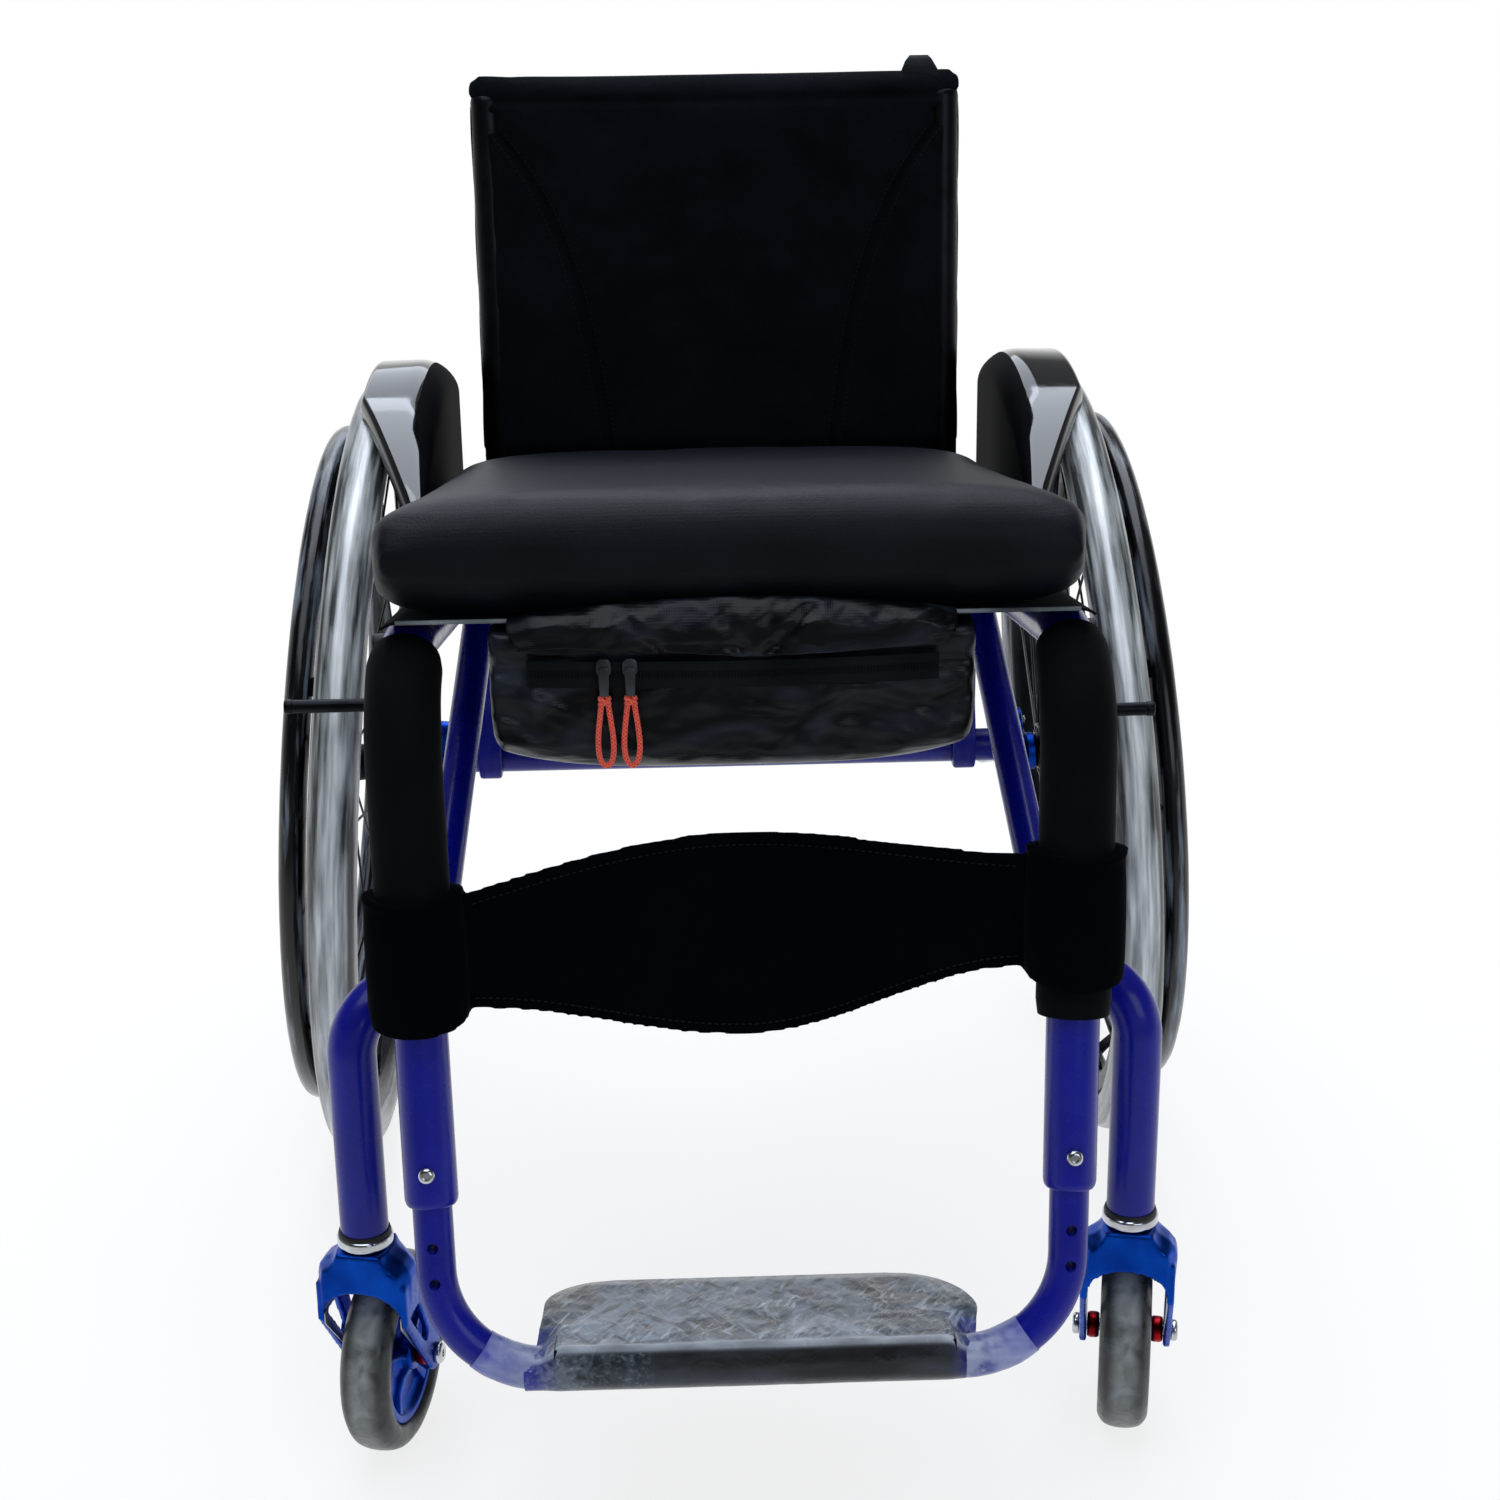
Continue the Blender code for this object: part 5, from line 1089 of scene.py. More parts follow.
# %% Camber tube, cross tube and axle posts
CAMBER_TUBE, RECEIVER_IN = 13.0, -56.6
CROSS_Y, CROSS_TUBE, POST_HALF = -230.0, 11.0, 9.0
camber_z = HUB_HEIGHT - RECEIVER_IN * math.sin(CAMBER)
camber_end = TRACK / 2 + RECEIVER_IN * math.cos(CAMBER) - 2.0
piece("camber_bar", rod((-camber_end, 0, camber_z), (camber_end, 0, camber_z), CAMBER_TUBE, 44, 1.0),
      blue_coat, "frame", "camber_tube")
piece("seat_cross_bar", rod(rail_point(-1, CROSS_Y), rail_point(1, CROSS_Y), CROSS_TUBE, 40),
      blue_coat, "frame", "seat_cross_tube")
for side in (1, -1):
    foot = CAMBER_TUBE + 6.0
    outline = [(-foot, camber_z - 9), (-foot * 0.8, camber_z - 15), (foot * 0.8, camber_z - 15),
               (foot, camber_z - 9), (foot, camber_z + 8), (foot * 0.55, camber_z + 40),
               (foot / 2, seat_z(0)), (-foot / 2, seat_z(0)), (-foot * 0.55, camber_z + 40), (-foot, camber_z + 8)]
    middle = rail_point(side, 0).x
    shape = plate(rounded(outline, 6.0, 5), middle - POST_HALF, middle + POST_HALF, edge=2.5)
    piece(f"axle_upright_{WORD[side]}", shape, blue_coat, "frame", f"axle_post_{WORD[side]}")


# %% [markdown]
# Tubes are TIG welded, and the ripples of the weld stand round each joint. The line of a weld
# is where one tube's skin meets the other's, which a quadratic gives at each angle. A flat
# droplet is then repeated along it, closer than it is wide, so that the ripples run together.

# %% Weld lines
def weld_line(start, way, radius, axis_point, axis, main_radius, steps=72):
    """Where a branch tube's skin first meets a main tube's skin, seen from the branch's start."""
    way, axis = Vector(way).normalized(), Vector(axis).normalized()
    out = way.cross(axis).normalized()
    other = way.cross(out)
    line = []
    for k in range(steps + 1):
        angle = 2 * math.pi * k / steps
        at = Vector(start) + radius * (math.cos(angle) * out + math.sin(angle) * other) - Vector(axis_point)
        flat_at, flat_way = at - axis * at.dot(axis), way - axis * way.dot(axis)
        a, b, c = flat_way.dot(flat_way), 2 * flat_at.dot(flat_way), flat_at.dot(flat_at) - main_radius ** 2
        root = b * b - 4 * a * c
        if root < 0:
            continue
        line.append(at + Vector(axis_point) + way * ((-b - math.sqrt(root)) / (2 * a)))
    return line


WELD_PITCH = 1.6
welds = []
for side in (1, -1):
    rail_way = rail_point(side, -100) - rail_point(side, 0)
    rail_at = rail_point(side, 0)
    welds.append(weld_line((0, CROSS_Y, seat_z(CROSS_Y)), (side, 0, 0), CROSS_TUBE, rail_at, rail_way, TUBE))
    start, end = brace_ends(side)
    welds.append(weld_line(end, start - end, BRACE, rail_at, rail_way, TUBE))
    low = gusset_start(side)
    welds.append(weld_line(low, front_line(side, low.z) - low, GUSSET, front_line(side, 300),
                           down_front(side), TUBE))
droplet = item_object("weld_droplet",
                      turned([(-0.5, 0), (-0.4, 1.2), (0, 1.9), (0.6, 1.7), (1.2, 0.9), (1.4, 0)], 10, False),
                      blue_coat)
droplet.data.transform(Matrix.Rotation(-math.pi / 2, 4, "Y"))
beads = along_line("weld_beads", [line for line in welds if len(line) > 20], droplet, WELD_PITCH, blue_coat)
weld_piece = merged("weld_beads", blue_coat, beads, smooth=60)
dress(weld_piece, "frame")
print("weld lines:", len(welds), "triangles:", len(weld_piece.data.polygons))

# %% [markdown]
# ## Footrest
# The footrest is one bent tube whose legs slide into the side tubes. A row of holes gives the
# height settings, and a button-head bolt holds each leg.

# %% Footrest tube and bolts
INSIDE_TUBE, FOOT_BEND, HEIGHT_HOLE = 110.0, 62.0, 3.2
tops = {side: front_line(side, SOCKET_Z) - down_front(side) * INSIDE_TUBE for side in (1, -1)}
foot_path = bent([tops[-1], foot_corner(-1), foot_corner(1), tops[1]], [FOOT_BEND, FOOT_BEND], 26)
holes = []
for side in (1, -1):
    spot, forward = bolt_spot(side)
    holes.append(rod(spot - forward * 30, spot + forward * 30, BOLT_HOLE, 20))
    for drop in (20.5, 41.5):
        spot = front_line(side, SOCKET_Z) + down_front(side) * drop
        holes.append(rod(spot - Vector((0, 24, 0)), spot + Vector((0, 24, 0)), HEIGHT_HOLE, 22))
dress(drilled("footrest_bar", swept(foot_path, FOOT_TUBE, 40), blue_coat, holes), "frame", "footrest_tube")

SOCKET_HEAD = [(-15.8, 0), (-15.8, 3.0), (15.8, 3.0), (15.8, 4.8), (16.8, 4.8), (17.9, 4.4), (18.6, 3.6),
               (19.0, 2.6), (19.0, 2.2), (17.4, 2.0), (17.4, 0)]
for side in (1, -1):
    spot, forward = bolt_spot(side)
    stand = Matrix.Translation(spot) @ forward.to_track_quat("X", "Z").to_matrix().to_4x4()
    piece(f"button_head_bolt_{WORD[side]}", moved(turned(SOCKET_HEAD, 30, False), stand), steel, "frame",
          f"footrest_bolt_{WORD[side]}")

# %% [markdown]
# The footplate is a black plate over the bar. The film round it is a skin of its own, a little
# larger than the plate: it lies on the top, turns down over the front lip and goes back under
# the bar. Folded noise crumples it, and at both ends it draws in to the bar. The mesh notes
# where plate, bar and folded edge lie under it, for the finish.

# %% Footplate and its film
TILT = math.radians(12.5)
tilted = Matrix.Translation((0, -FOOT_Y, FOOT_Z)) @ Matrix.Rotation(-TILT, 4, "X")
PLATE_LOW, PLATE_THICK, PLATE_DEPTH = FOOT_TUBE + 0.6, 4.0, 103.0
PLATE_FRONT_HALF, PLATE_REAR_HALF, PLATE_CORNER, LIP_TALL = 116.0, 125.0, 42.0, 13.0
plate_top = PLATE_LOW + PLATE_THICK
front_edge = -plate_top
half = [(PLATE_FRONT_HALF, front_edge), (PLATE_FRONT_HALF, -front_edge)]
half += arc((PLATE_REAR_HALF - PLATE_CORNER, PLATE_DEPTH - PLATE_CORNER), PLATE_CORNER, 0, 90, 16)
outline = mirrored(half)
lip = [(front_edge, plate_top - LIP_TALL), (-PLATE_LOW, plate_top - LIP_TALL), (-PLATE_LOW, PLATE_LOW + 2),
       (front_edge, PLATE_LOW + 2)]
shape = joined(plate(outline, PLATE_LOW, plate_top, "Z", 0.8),
               plate(lip, -PLATE_FRONT_HALF, PLATE_FRONT_HALF, "X", 0.8))
piece("foot_plate", moved(shape, tilted), black_anodised, "frame", "footplate")


def crumple(point, size_mm, depth_mm, seed=0.0):
    """Sharp-folded noise, for film and coated cloth."""
    at = Vector(point) / size_mm + Vector((seed, seed * 0.7, -seed))
    value, share = 0.0, 1.0
    for _ in range(3):
        value += share * (1 - 2 * abs(noise.noise(at)))
        at = at * 2.1 + Vector((3.1, 1.7, 5.3))
        share *= 0.5
    return value / 1.75 * depth_mm


def clamped(value):
    return min(1.0, max(0.0, value))


FILM_TOP, FILM_FRONT_Y, FILM_ON_BAR = plate_top + 0.5, -17.0, FOOT_TUBE + 1.3
FILM_WRAP = [(front_edge - 0.9, 13.5), (front_edge - 1.0, 4.0), (-14.8, -5.5), (-9.4, -10.4), (-2.5, -13.0),
             (5.0, -12.4), (9.6, -9.0)]


def film_half(y, side):
    """Half the film's width: round at the back, loose at the right, drawn out to the bar at the left."""
    over = clamped((y - (PLATE_DEPTH - PLATE_CORNER)) / (PLATE_CORNER + 0.6))
    half = PLATE_REAR_HALF + 0.8 - PLATE_CORNER * (1 - math.sqrt(1 - over ** 2))
    if side > 0:
        return half + 8.5 * math.exp(-((y - 40.0) / 30.0) ** 2) - 4.0 * max(0.0, y / FILM_FRONT_Y)
    return half + 8.0 * (max(0.0, 38.0 - y) / 55.0) ** 1.6


def film_skin():
    """The film's top over the plate, down round its front lip, and back under the bar."""
    rows, columns = 60, 130
    profile = [(PLATE_DEPTH + 0.6 - (PLATE_DEPTH - front_edge + 0.6) * (i / rows) ** 0.9, FILM_TOP)
               for i in range(rows + 1)]
    top_rows = len(profile)
    profile += rounded([(front_edge, FILM_TOP)] + FILM_WRAP, 3.5, 3, closed=False)[1:]
    points, marks = [], []
    for i, (y, z) in enumerate(profile):
        on_top = i < top_rows
        for j in range(columns + 1):
            u = 2 * j / columns - 1
            half = film_half(max(y, FILM_FRONT_Y) if on_top else FILM_FRONT_Y, u)
            x = u * half
            rim = (1 - abs(u)) * half
            if on_top:
                rim = min(rim, (PLATE_DEPTH - y) + 0.5)
            sink = max(0.0, abs(x) - 112.0) * 0.4 * max(
                0.0, 1 - max(y, 0.0) / 34.0) if on_top or z > 5 else 0.0
            lift = min(1.0, rim / 12.0) * (0.9 + crumple((x, y, z), 34.0, 1.0, 4.0))
            out = Vector((0, 0, 1)) if on_top else Vector((0, y, z)).normalized()
            at = Vector((x, y, z - sink)) + out * (lift if on_top else 0.25 * lift)
            hug = clamped((abs(x) - 114.0) / 9.0) * clamped((24.0 - y) / 12.0)
            reach = math.hypot(at.y, at.z)
            if hug > 0 and reach > FILM_ON_BAR:
                tight = FILM_ON_BAR / reach
                at = Vector((x, at.y * (1 - hug + hug * tight), at.z * (1 - hug + hug * tight)))
            points.append(at)
            # the edge mark is where the finish paints a highlight along the fold over the front edge
            from_edge = (y - front_edge - 1.0) / 2.2 if on_top else (z - FILM_TOP) / 2.0
            edge = math.exp(-from_edge ** 2)
            blue = 0.75 * clamped((abs(x) - 112.0) / 22.0) if y < 24 else 0.0
            under_film = 0.4 * clamped((-58.0 - x) / 8.0)
            marks.append((1.0 if on_top and y > front_edge + 2 else under_film, blue, edge))
    return (points, grid_faces(len(profile) - 1, columns)), marks


skin_shape, skin_marks = film_skin()
skin = put(mesh_of("footplate_film", moved(skin_shape, tilted), film, 60, {"film": skin_marks}),
           "footplate_film")
modify(skin, "SOLIDIFY", thickness=0.25 * MM, offset=-1.0)
settle(skin, 60)
dress(skin, "frame")

# %% [markdown]
# The ends of the bar are wound in the same film. It is a thin sleeve of its own, crumpled in the
# same way, that runs out smoothly before the bend ends.

# %% Film on the ends of the bar
BAR_FILM_FROM, BAR_FILM_TO, BAR_FILM_STEP = 118.0, 160.0, 1.2
for side in (1, -1):
    path = [p for p in foot_path if BAR_FILM_FROM < side * p.x < BAR_FILM_TO]
    line = [Vector((side * (BAR_FILM_FROM - 0.5), -FOOT_Y, FOOT_Z))] + sorted(path, key=lambda p: side * p.x)
    fine = []
    for a, b in zip(line, line[1:]):
        count = max(1, int((b - a).length / BAR_FILM_STEP))
        fine += [a.lerp(b, k / count) for k in range(count)]
    fine.append(line[-1])
    rings = swept_rings(fine, FOOT_TUBE + 0.5, 48)
    last = len(fine) - 1
    rings = [[centre + (p - centre).normalized() * (FOOT_TUBE + 0.5 + min(1.0, (last - i) / 9.0) * (
        0.35 + 0.35 * crumple(p, 13.0, 1.0, 2.0))) for p in ring]
        for i, (centre, ring) in enumerate(zip(fine, rings))]
    inner = swept_rings(fine, FOOT_TUBE + 0.2, 48)
    fade = [min(1.0, 0.45 + 0.55 * i / last) for i in range(len(fine))]
    # the third mark paints highlights over the crumpled film on the bar
    marks = [(0.6, blue, min(0.9, max(0.0, crumple(p, 17.0, 1.7, 5.0))))
             for blue, ring in zip(fade + fade[::-1], rings + inner[::-1]) for p in ring]
    piece(f"bar_film_{WORD[side]}", loft(rings + inner[::-1], wrap=True), film, "frame", smooth=60,
          attributes={"film": marks})
print("footrest drawn with", len(holes), "holes")

# %% [markdown]
# ## Wheels
# A cambered wheel is drawn about its own axle and then leaned. Round parts are profiles turned
# about X. The tyre's skin is lifted a little by folded noise where the packing film is wound.

# %% Places of the rear wheels
def wheel_place(side):
    return Matrix.Translation((side * TRACK / 2, 0, HUB_HEIGHT)) @ Matrix.Rotation(-side * CAMBER, 4, "Y")


def wound_ring_shape(profile, steps, middle_x, middle_radius, lift_mm, seed):
    """A turned ring raised by long folds away from its section's middle, with its wheel coordinates."""
    points, faces = turned(profile, steps)
    lifted = []
    for p in points:
        radius = math.hypot(p.y, p.z)
        angle = math.atan2(p.z, p.y)
        spiral = Vector((p.x * 0.5, math.cos(angle) * 9, math.sin(angle) * 9)) * 12
        fold = crumple(spiral + Vector((radius, 0, 0)), 11.0, lift_mm, seed)
        above = radius - middle_radius
        away = Vector((p.x - middle_x, p.y / radius * above, p.z / radius * above))
        lifted.append(p + away.normalized() * fold)
    return (lifted, faces), [tuple(p * MM) for p in points]


TYRE_HALF = TYRE_WIDTH / 2
WHEEL_STEPS = 260
half = [(-TYRE_HALF * 0.66, TYRE_SEAT + 0.5), (-TYRE_HALF + 0.4, TYRE_SEAT + 9),
        (-TYRE_HALF * 0.86, WHEEL_RADIUS - 7), (-TYRE_HALF * 0.45, WHEEL_RADIUS - 1.6)]
tyre_profile = rounded(mirrored(half, [(0, WHEEL_RADIUS - 0.4)]), 8.0, 4)
rim_profile = rounded([
    (-12.0, TYRE_SEAT), (-10.6, 273.5), (10.6, 273.5), (12.0, TYRE_SEAT), (12.0, 266.0), (10.5, 262.5),
    (6.0, 258.3), (-6.0, 258.3), (-10.5, 262.5), (-12.0, 266.0)], 1.6, 3)
half = [(-30, 6.5), (-30, 12.0), (-28.5, 15), (-27, 15), (-27, FLANGE), (-23, FLANGE), (-21.5, 15.5),
        (-10, 13.6)]
hub_profile = rounded(mirrored(half), 0.9, 2)

CLAMP_BOLT = [(0, 0), (0, 3.4), (2.4, 3.4), (3.0, 2.8), (3.0, 1.5), (1.4, 1.4), (1.4, 0)]

FLANGE_X, SPOKE_END = 25.0, 257.6
for side in (1, -1):
    stand, word = wheel_place(side), WORD[side]
    body = f"rear_wheel_{word}"
    skin, local = wound_ring_shape(tyre_profile, WHEEL_STEPS, 0.0, (WHEEL_RADIUS + TYRE_SEAT) / 2, 0.28,
                                   3.0 + side)
    piece(f"rear_tyre_skin_{word}", moved(skin, stand), wound_tyre, body, f"rear_tyre_{word}",
          smooth=SMOOTH_ALL, attributes={"wheel": local})
    piece(f"wheel_rim_{word}", moved(turned(rim_profile, 200), stand), black_anodised, body,
          f"rear_rim_{word}")

    shell = mesh_of(f"hub_shell_{word}", moved(turned(hub_profile, 64), stand), black_anodised)
    laced = [shell]
    for number, lean in ((0, -1), (1, 1)):
        start = Vector((lean * FLANGE_X, FLANGE - 4.0, 0))
        stop = Vector((lean * 3.0, SPOKE_END, 0))
        way = (stop - start).normalized()
        spoke = joined(
            swept([start - way * 1.0, start + way * 12, stop - way * 16, stop - way * 14],
                  [1.25, 1.0, 1.0, 1.0], 8),
            swept([stop - way * 15, stop - way * 13.6, stop - way * 5, stop - way * 4.4, stop + way * 0.8],
                  [1.3, 1.9, 1.9, 2.4, 2.4], 8),
            moved(turned([(-3.2, 0), (-3.0, 1.6), (-2.3, 2.0), (2.3, 2.0), (3.0, 1.6), (3.2, 0)], 10, False),
                  Matrix.Translation(start)))
        part = item_object(f"spoke_{word}_{number}", spoke, black_anodised)
        laced.append(round_axle(f"spoke_set_{word}_{number}", part, SPOKES // 2,
                                2 * math.pi * (0.5 + number) / SPOKES, black_anodised, stand))
    dress(merged(f"hub_and_spokes_{word}", black_anodised, *laced, smooth=40), body, f"rear_hub_{word}")

    ring_section = [(side * (PUSH_OFFSET + PUSH_TUBE * math.cos(a * math.pi / 12)),
                     PUSH_RADIUS + PUSH_TUBE * math.sin(a * math.pi / 12)) for a in range(24)]
    skin, local = wound_ring_shape(ring_section, WHEEL_STEPS, side * PUSH_OFFSET, PUSH_RADIUS, 0.16,
                                   11.0 + side)
    piece(f"push_ring_{word}", moved(skin, stand), wound_ring, body, f"handrim_{word}", smooth=SMOOTH_ALL,
          attributes={"wheel": local})
    tab_rings = []
    for share, x, radius, half in ((0.0, 12.3, 271.0, 8.0), (0.3, 17.0, 266.5, 7.2), (0.65, 23.5, 261.0, 6.4),
                                   (1.0, PUSH_OFFSET, PUSH_RADIUS, 6.0)):
        section = rounded([(-half, -2.2), (half, -2.2), (half, 2.2), (-half, 2.2)], 1.4, 3)
        tab_rings.append([Vector((side * x, radius + v, u)) for u, v in section])
    tab = item_object(f"ring_tab_{word}", loft(tab_rings), black_anodised)
    tabs = round_axle(f"ring_tabs_{word}", tab, PUSH_TABS, math.pi / PUSH_TABS, black_anodised, stand)
    dress(merged(f"push_ring_tabs_{word}", black_anodised, tabs, smooth=40), body)

    clamp_profile = [(side * x, r) for x, r in rounded([
        (-56.6, 6.5), (-56.6, 18), (-53.6, 20), (-38.6, 20), (-36.6, 15), (-30.6, 15), (-30.6, 6.5)], 1.0, 3)]
    half = 12.0
    ear = [(-half, 14.0), (half, 14.0)] + arc((0, 37.0 - half), half, 0, 180, 14)
    low, high = sorted((side * -55.6, side * -39.6))
    clamp = joined(turned(clamp_profile, 56), plate(ear, low, high, edge=1.2))
    piece(f"axle_clamp_{word}", moved(clamp, stand), blue_anodised, "frame", f"axle_receiver_{word}")
    bolt = moved(turned([(side * x, r) for x, r in CLAMP_BOLT], 18, False),
                 Matrix.Translation((side * -39.4, 0.0, 27.0)))
    piece(f"axle_clamp_bolts_{word}", moved(bolt, stand), steel, "frame")

    pin = rounded([(-76.6, 0), (-76.6, 4.7), (-73.6, 6.2), (30.3, 6.2), (30.3, 11.0), (37.6, 11.0),
                   (39.3, 9.5), (39.3, 4.5), (32.3, 4.5), (32.3, 0)], 0.7, 2, closed=False)
    piece(f"quick_release_pin_{word}", moved(turned([(side * x, r) for x, r in pin], 44, False), stand),
          steel, "frame", f"axle_pin_{word}")
    push = rounded([(35.6, 0), (35.6, 4.2), (43.3, 4.2), (43.3, 0)], 1.2, 4, closed=False)
    piece(f"release_button_{word}", moved(turned([(side * x, r) for x, r in push], 32, False), stand),
          black_anodised, f"axle_button_{word}", f"axle_button_{word}")
print("rear wheels:", SPOKES, "spokes each, lean", round(math.degrees(CAMBER), 1), "degrees")

# %% [markdown]
# ## Casters
# The fork is forged: a bell-shaped crown with faceted shoulders over two arms. Solids that
# overlap are joined and melted into one skin, then a window is cut through both arms, and the
# skin is smoothed, which rounds every edge and inner corner the way a forging has them. Each
# window's edge is milled bright.

# %% Forks
FORK_IN, FORK_ARM, FORK_DEPTH = 24.5, 4.6, 17.0
arch_top = CASTER_RADIUS * 2 + 4.0
shoulder, arch_low = CROWN_TOP - 19.0, arch_top - 13.0
FORK_VOXEL, FORK_PASSES = 1.1, 4
# the crown's depths from back to front, and how far its outline draws in at each
CROWN_LEVELS = [(-17.0, 6.0), (-15.0, 4.6), (-6.0, 0.0), (6.0, 0.0), (15.0, 4.6), (17.0, 6.0)]


def swivel_place(side):
    return Matrix.Translation((side * STEM_X, -STEM_Y, 0)) @ Matrix.Rotation(SWING[side], 4, "Z")


def crown_ring(depth, shrink):
    """The crown's outline at one depth: its outer edge draws in towards the front and back faces."""
    outer = FORK_IN + FORK_ARM
    half = [(outer - shrink * 0.8, arch_low), (outer + 1 - shrink, shoulder - 4),
            (outer + 1.2 - shrink, shoulder),
            (outer - shrink, shoulder + 6), (outer - 4 - shrink, shoulder + 11 - shrink * 0.4),
            (19.0 - shrink * 0.5, shoulder + 15 - shrink * 0.3), (15.5 - shrink * 0.3, CROWN_TOP)]
    ring = mirrored(half)
    ring += [(x * FORK_IN, arch_low + (z - arch_low) * (arch_top - arch_low + shrink * 0.4))
             for x, z in arc((0, arch_low), 1, 180, 0, 20)]
    return [(x, depth, z) for x, z in ring]


for side in (1, -1):
    stand, word = swivel_place(side), WORD[side]
    crown = loft([crown_ring(depth, shrink) for depth, shrink in CROWN_LEVELS])
    arm = [(-FORK_DEPTH + 2, shoulder - 2), (-FORK_DEPTH + 1.5, arch_low - 6)]
    arm += arc((TRAIL, CASTER_RADIUS), 11.0, 200, 375, 22) + [(FORK_DEPTH - 2, shoulder - 2)]
    window = rounded([(-9, arch_low - 3), (9, arch_low - 3), (22, CASTER_RADIUS + 24),
                      (17, CASTER_RADIUS + 18)], 3.5, 4)
    arms = [plate(arm, *sorted((at * FORK_IN, at * (FORK_IN + FORK_ARM))), edge=0.8) for at in (-1, 1)]
    made = melted(f"forged_fork_{word}", moved(joined(crown, *arms), stand), blue_anodised, FORK_VOXEL,
                  FORK_PASSES, cuts=[moved(plate(window, -40, 40, edge=0.1), stand)])
    dress(made, f"caster_fork_{word}", f"fork_{word}")
    for number, at in enumerate((-1, 1)):
        low, high = sorted((at * (FORK_IN - 0.25), at * (FORK_IN + 0.6)))
        rim_strip = [(-14.6, arch_low - 1), (-14.6, arch_low - 9), (22.0, CASTER_RADIUS + 3.0),
                     (24.4, CASTER_RADIUS + 7.5), (-9.5, arch_low - 6), (-9.5, arch_low - 1)]
        piece(f"fork_milled_face_{word}_{number}",
              moved(plate(rounded(rim_strip, 1.6, 3), low, high, edge=0.15), stand),
              milled, f"caster_fork_{word}")
    ring = rounded([(0, 6.4), (0, 14.4), (2.2, 17.3), (7.4, 17.3), (9.4, 15.3), (9.4, 6.4)], 0.9, 3)
    up = (Matrix.Translation((side * STEM_X, -STEM_Y, HOUSING_LOW - 0.3))
          @ Matrix.Rotation(math.pi / 2, 4, "Y"))
    piece(f"stem_collar_{word}", moved(turned(ring, 64), up), steel, "frame", f"stem_ring_{word}")
    seal = rounded([(-1.6, 8.0), (-1.6, 15.6), (1.2, 16.4), (1.2, 8.0)], 0.5, 2)
    piece(f"stem_seal_{word}", moved(turned(seal, 56), up), grip_rubber, "frame")
print("forks:", ", ".join(o.name for o in PIECES if o.name.startswith("forged_fork")))

# %% [markdown]
# A caster wheel is a polyurethane tyre on an anodised hub. The hub's face is dished and has
# five ribs, which the second tree repeats round its axle. Red spacers take up the room between
# the hub and the arms.

# %% Caster wheels
HUB_RIBS = 5
for side in (1, -1):
    word = WORD[side]
    stand = swivel_place(side) @ Matrix.Translation((0, TRAIL, CASTER_RADIUS))
    body = f"caster_wheel_{word}"
    half = [(-12.8, 46.3), (-16, 49.5), (-16, 55.5), (-12.0, 61.2), (-6.0, 63.1)]
    tyre = turned(rounded(mirrored(half, [(0, CASTER_RADIUS)]), 5.0, 4), 128)
    piece(f"caster_tread_{word}", moved(tyre, stand), caster_rubber, body, f"caster_tyre_{word}", smooth=60,
          attributes={"wheel": [tuple(p * MM) for p in tyre[0]]})
    face = [(16, 4.3), (16, 11), (14.6, 12.2), (9.2, 13.2), (6.8, 20), (6.8, 36), (9.0, 39.2), (12.8, 41.4),
            (12.8, 46)]
    hub = rounded(mirrored(face), 1.2, 3)
    shell = mesh_of(f"caster_hub_shell_{word}", moved(turned(hub, 96), stand), blue_anodised)
    sets = [shell]
    for number, at in enumerate((-1, 1)):
        rib_rings = []
        for radius, half, proud in ((11.0, 4.6, 14.2), (18.0, 3.2, 10.8), (28.0, 2.8, 9.6),
                                    (40.5, 4.2, 12.0)):
            section = [(-half, 5.0), (half, 5.0), (half - 0.9, proud), (-half + 0.9, proud)]
            rib_rings.append([Vector((at * v, radius, u)) for u, v in rounded(section, 1.0, 2)])
        rib = item_object(f"hub_rib_{word}_{number}", loft(rib_rings), blue_anodised)
        sets.append(round_axle(f"hub_ribs_{word}_{number}", rib, HUB_RIBS, 0.3, blue_anodised, stand))
    dress(merged(f"ribbed_caster_hub_{word}", blue_anodised, *sets, smooth=40), body, f"caster_hub_{word}")
    half = rounded([(29.4, 4.0), (29.4, 6.9), (32.4, 6.9), (33.7, 5.6), (33.7, 2.4), (31.6, 2.2), (31.6, 0)],
                   0.6, 2, closed=False)
    pin = [(-x, r) for x, r in reversed(half)] + half
    piece(f"caster_bolt_{word}", moved(turned(pin, 36, False), stand), steel, f"caster_fork_{word}",
          f"caster_axle_{word}")
    spacers = []
    for at in (-1, 1):
        washer = rounded([(at * 16.4, 4.4), (at * 16.4, 7.6), (at * 18.4, 8.4), (at * 22.6, 8.4),
                          (at * 24.2, 7.4), (at * 24.2, 4.4)], 0.7, 2)
        spacers.append(turned(washer, 40))
    piece(f"caster_spacers_{word}", moved(joined(*spacers), stand), red_anodised, f"caster_fork_{word}")
print("caster wheels:", HUB_RIBS, "ribs on each face")

# %% [markdown]
# ## Back frame and hinges
# Two posts fold forward on studs that stand out of brackets welded to the seat rails.

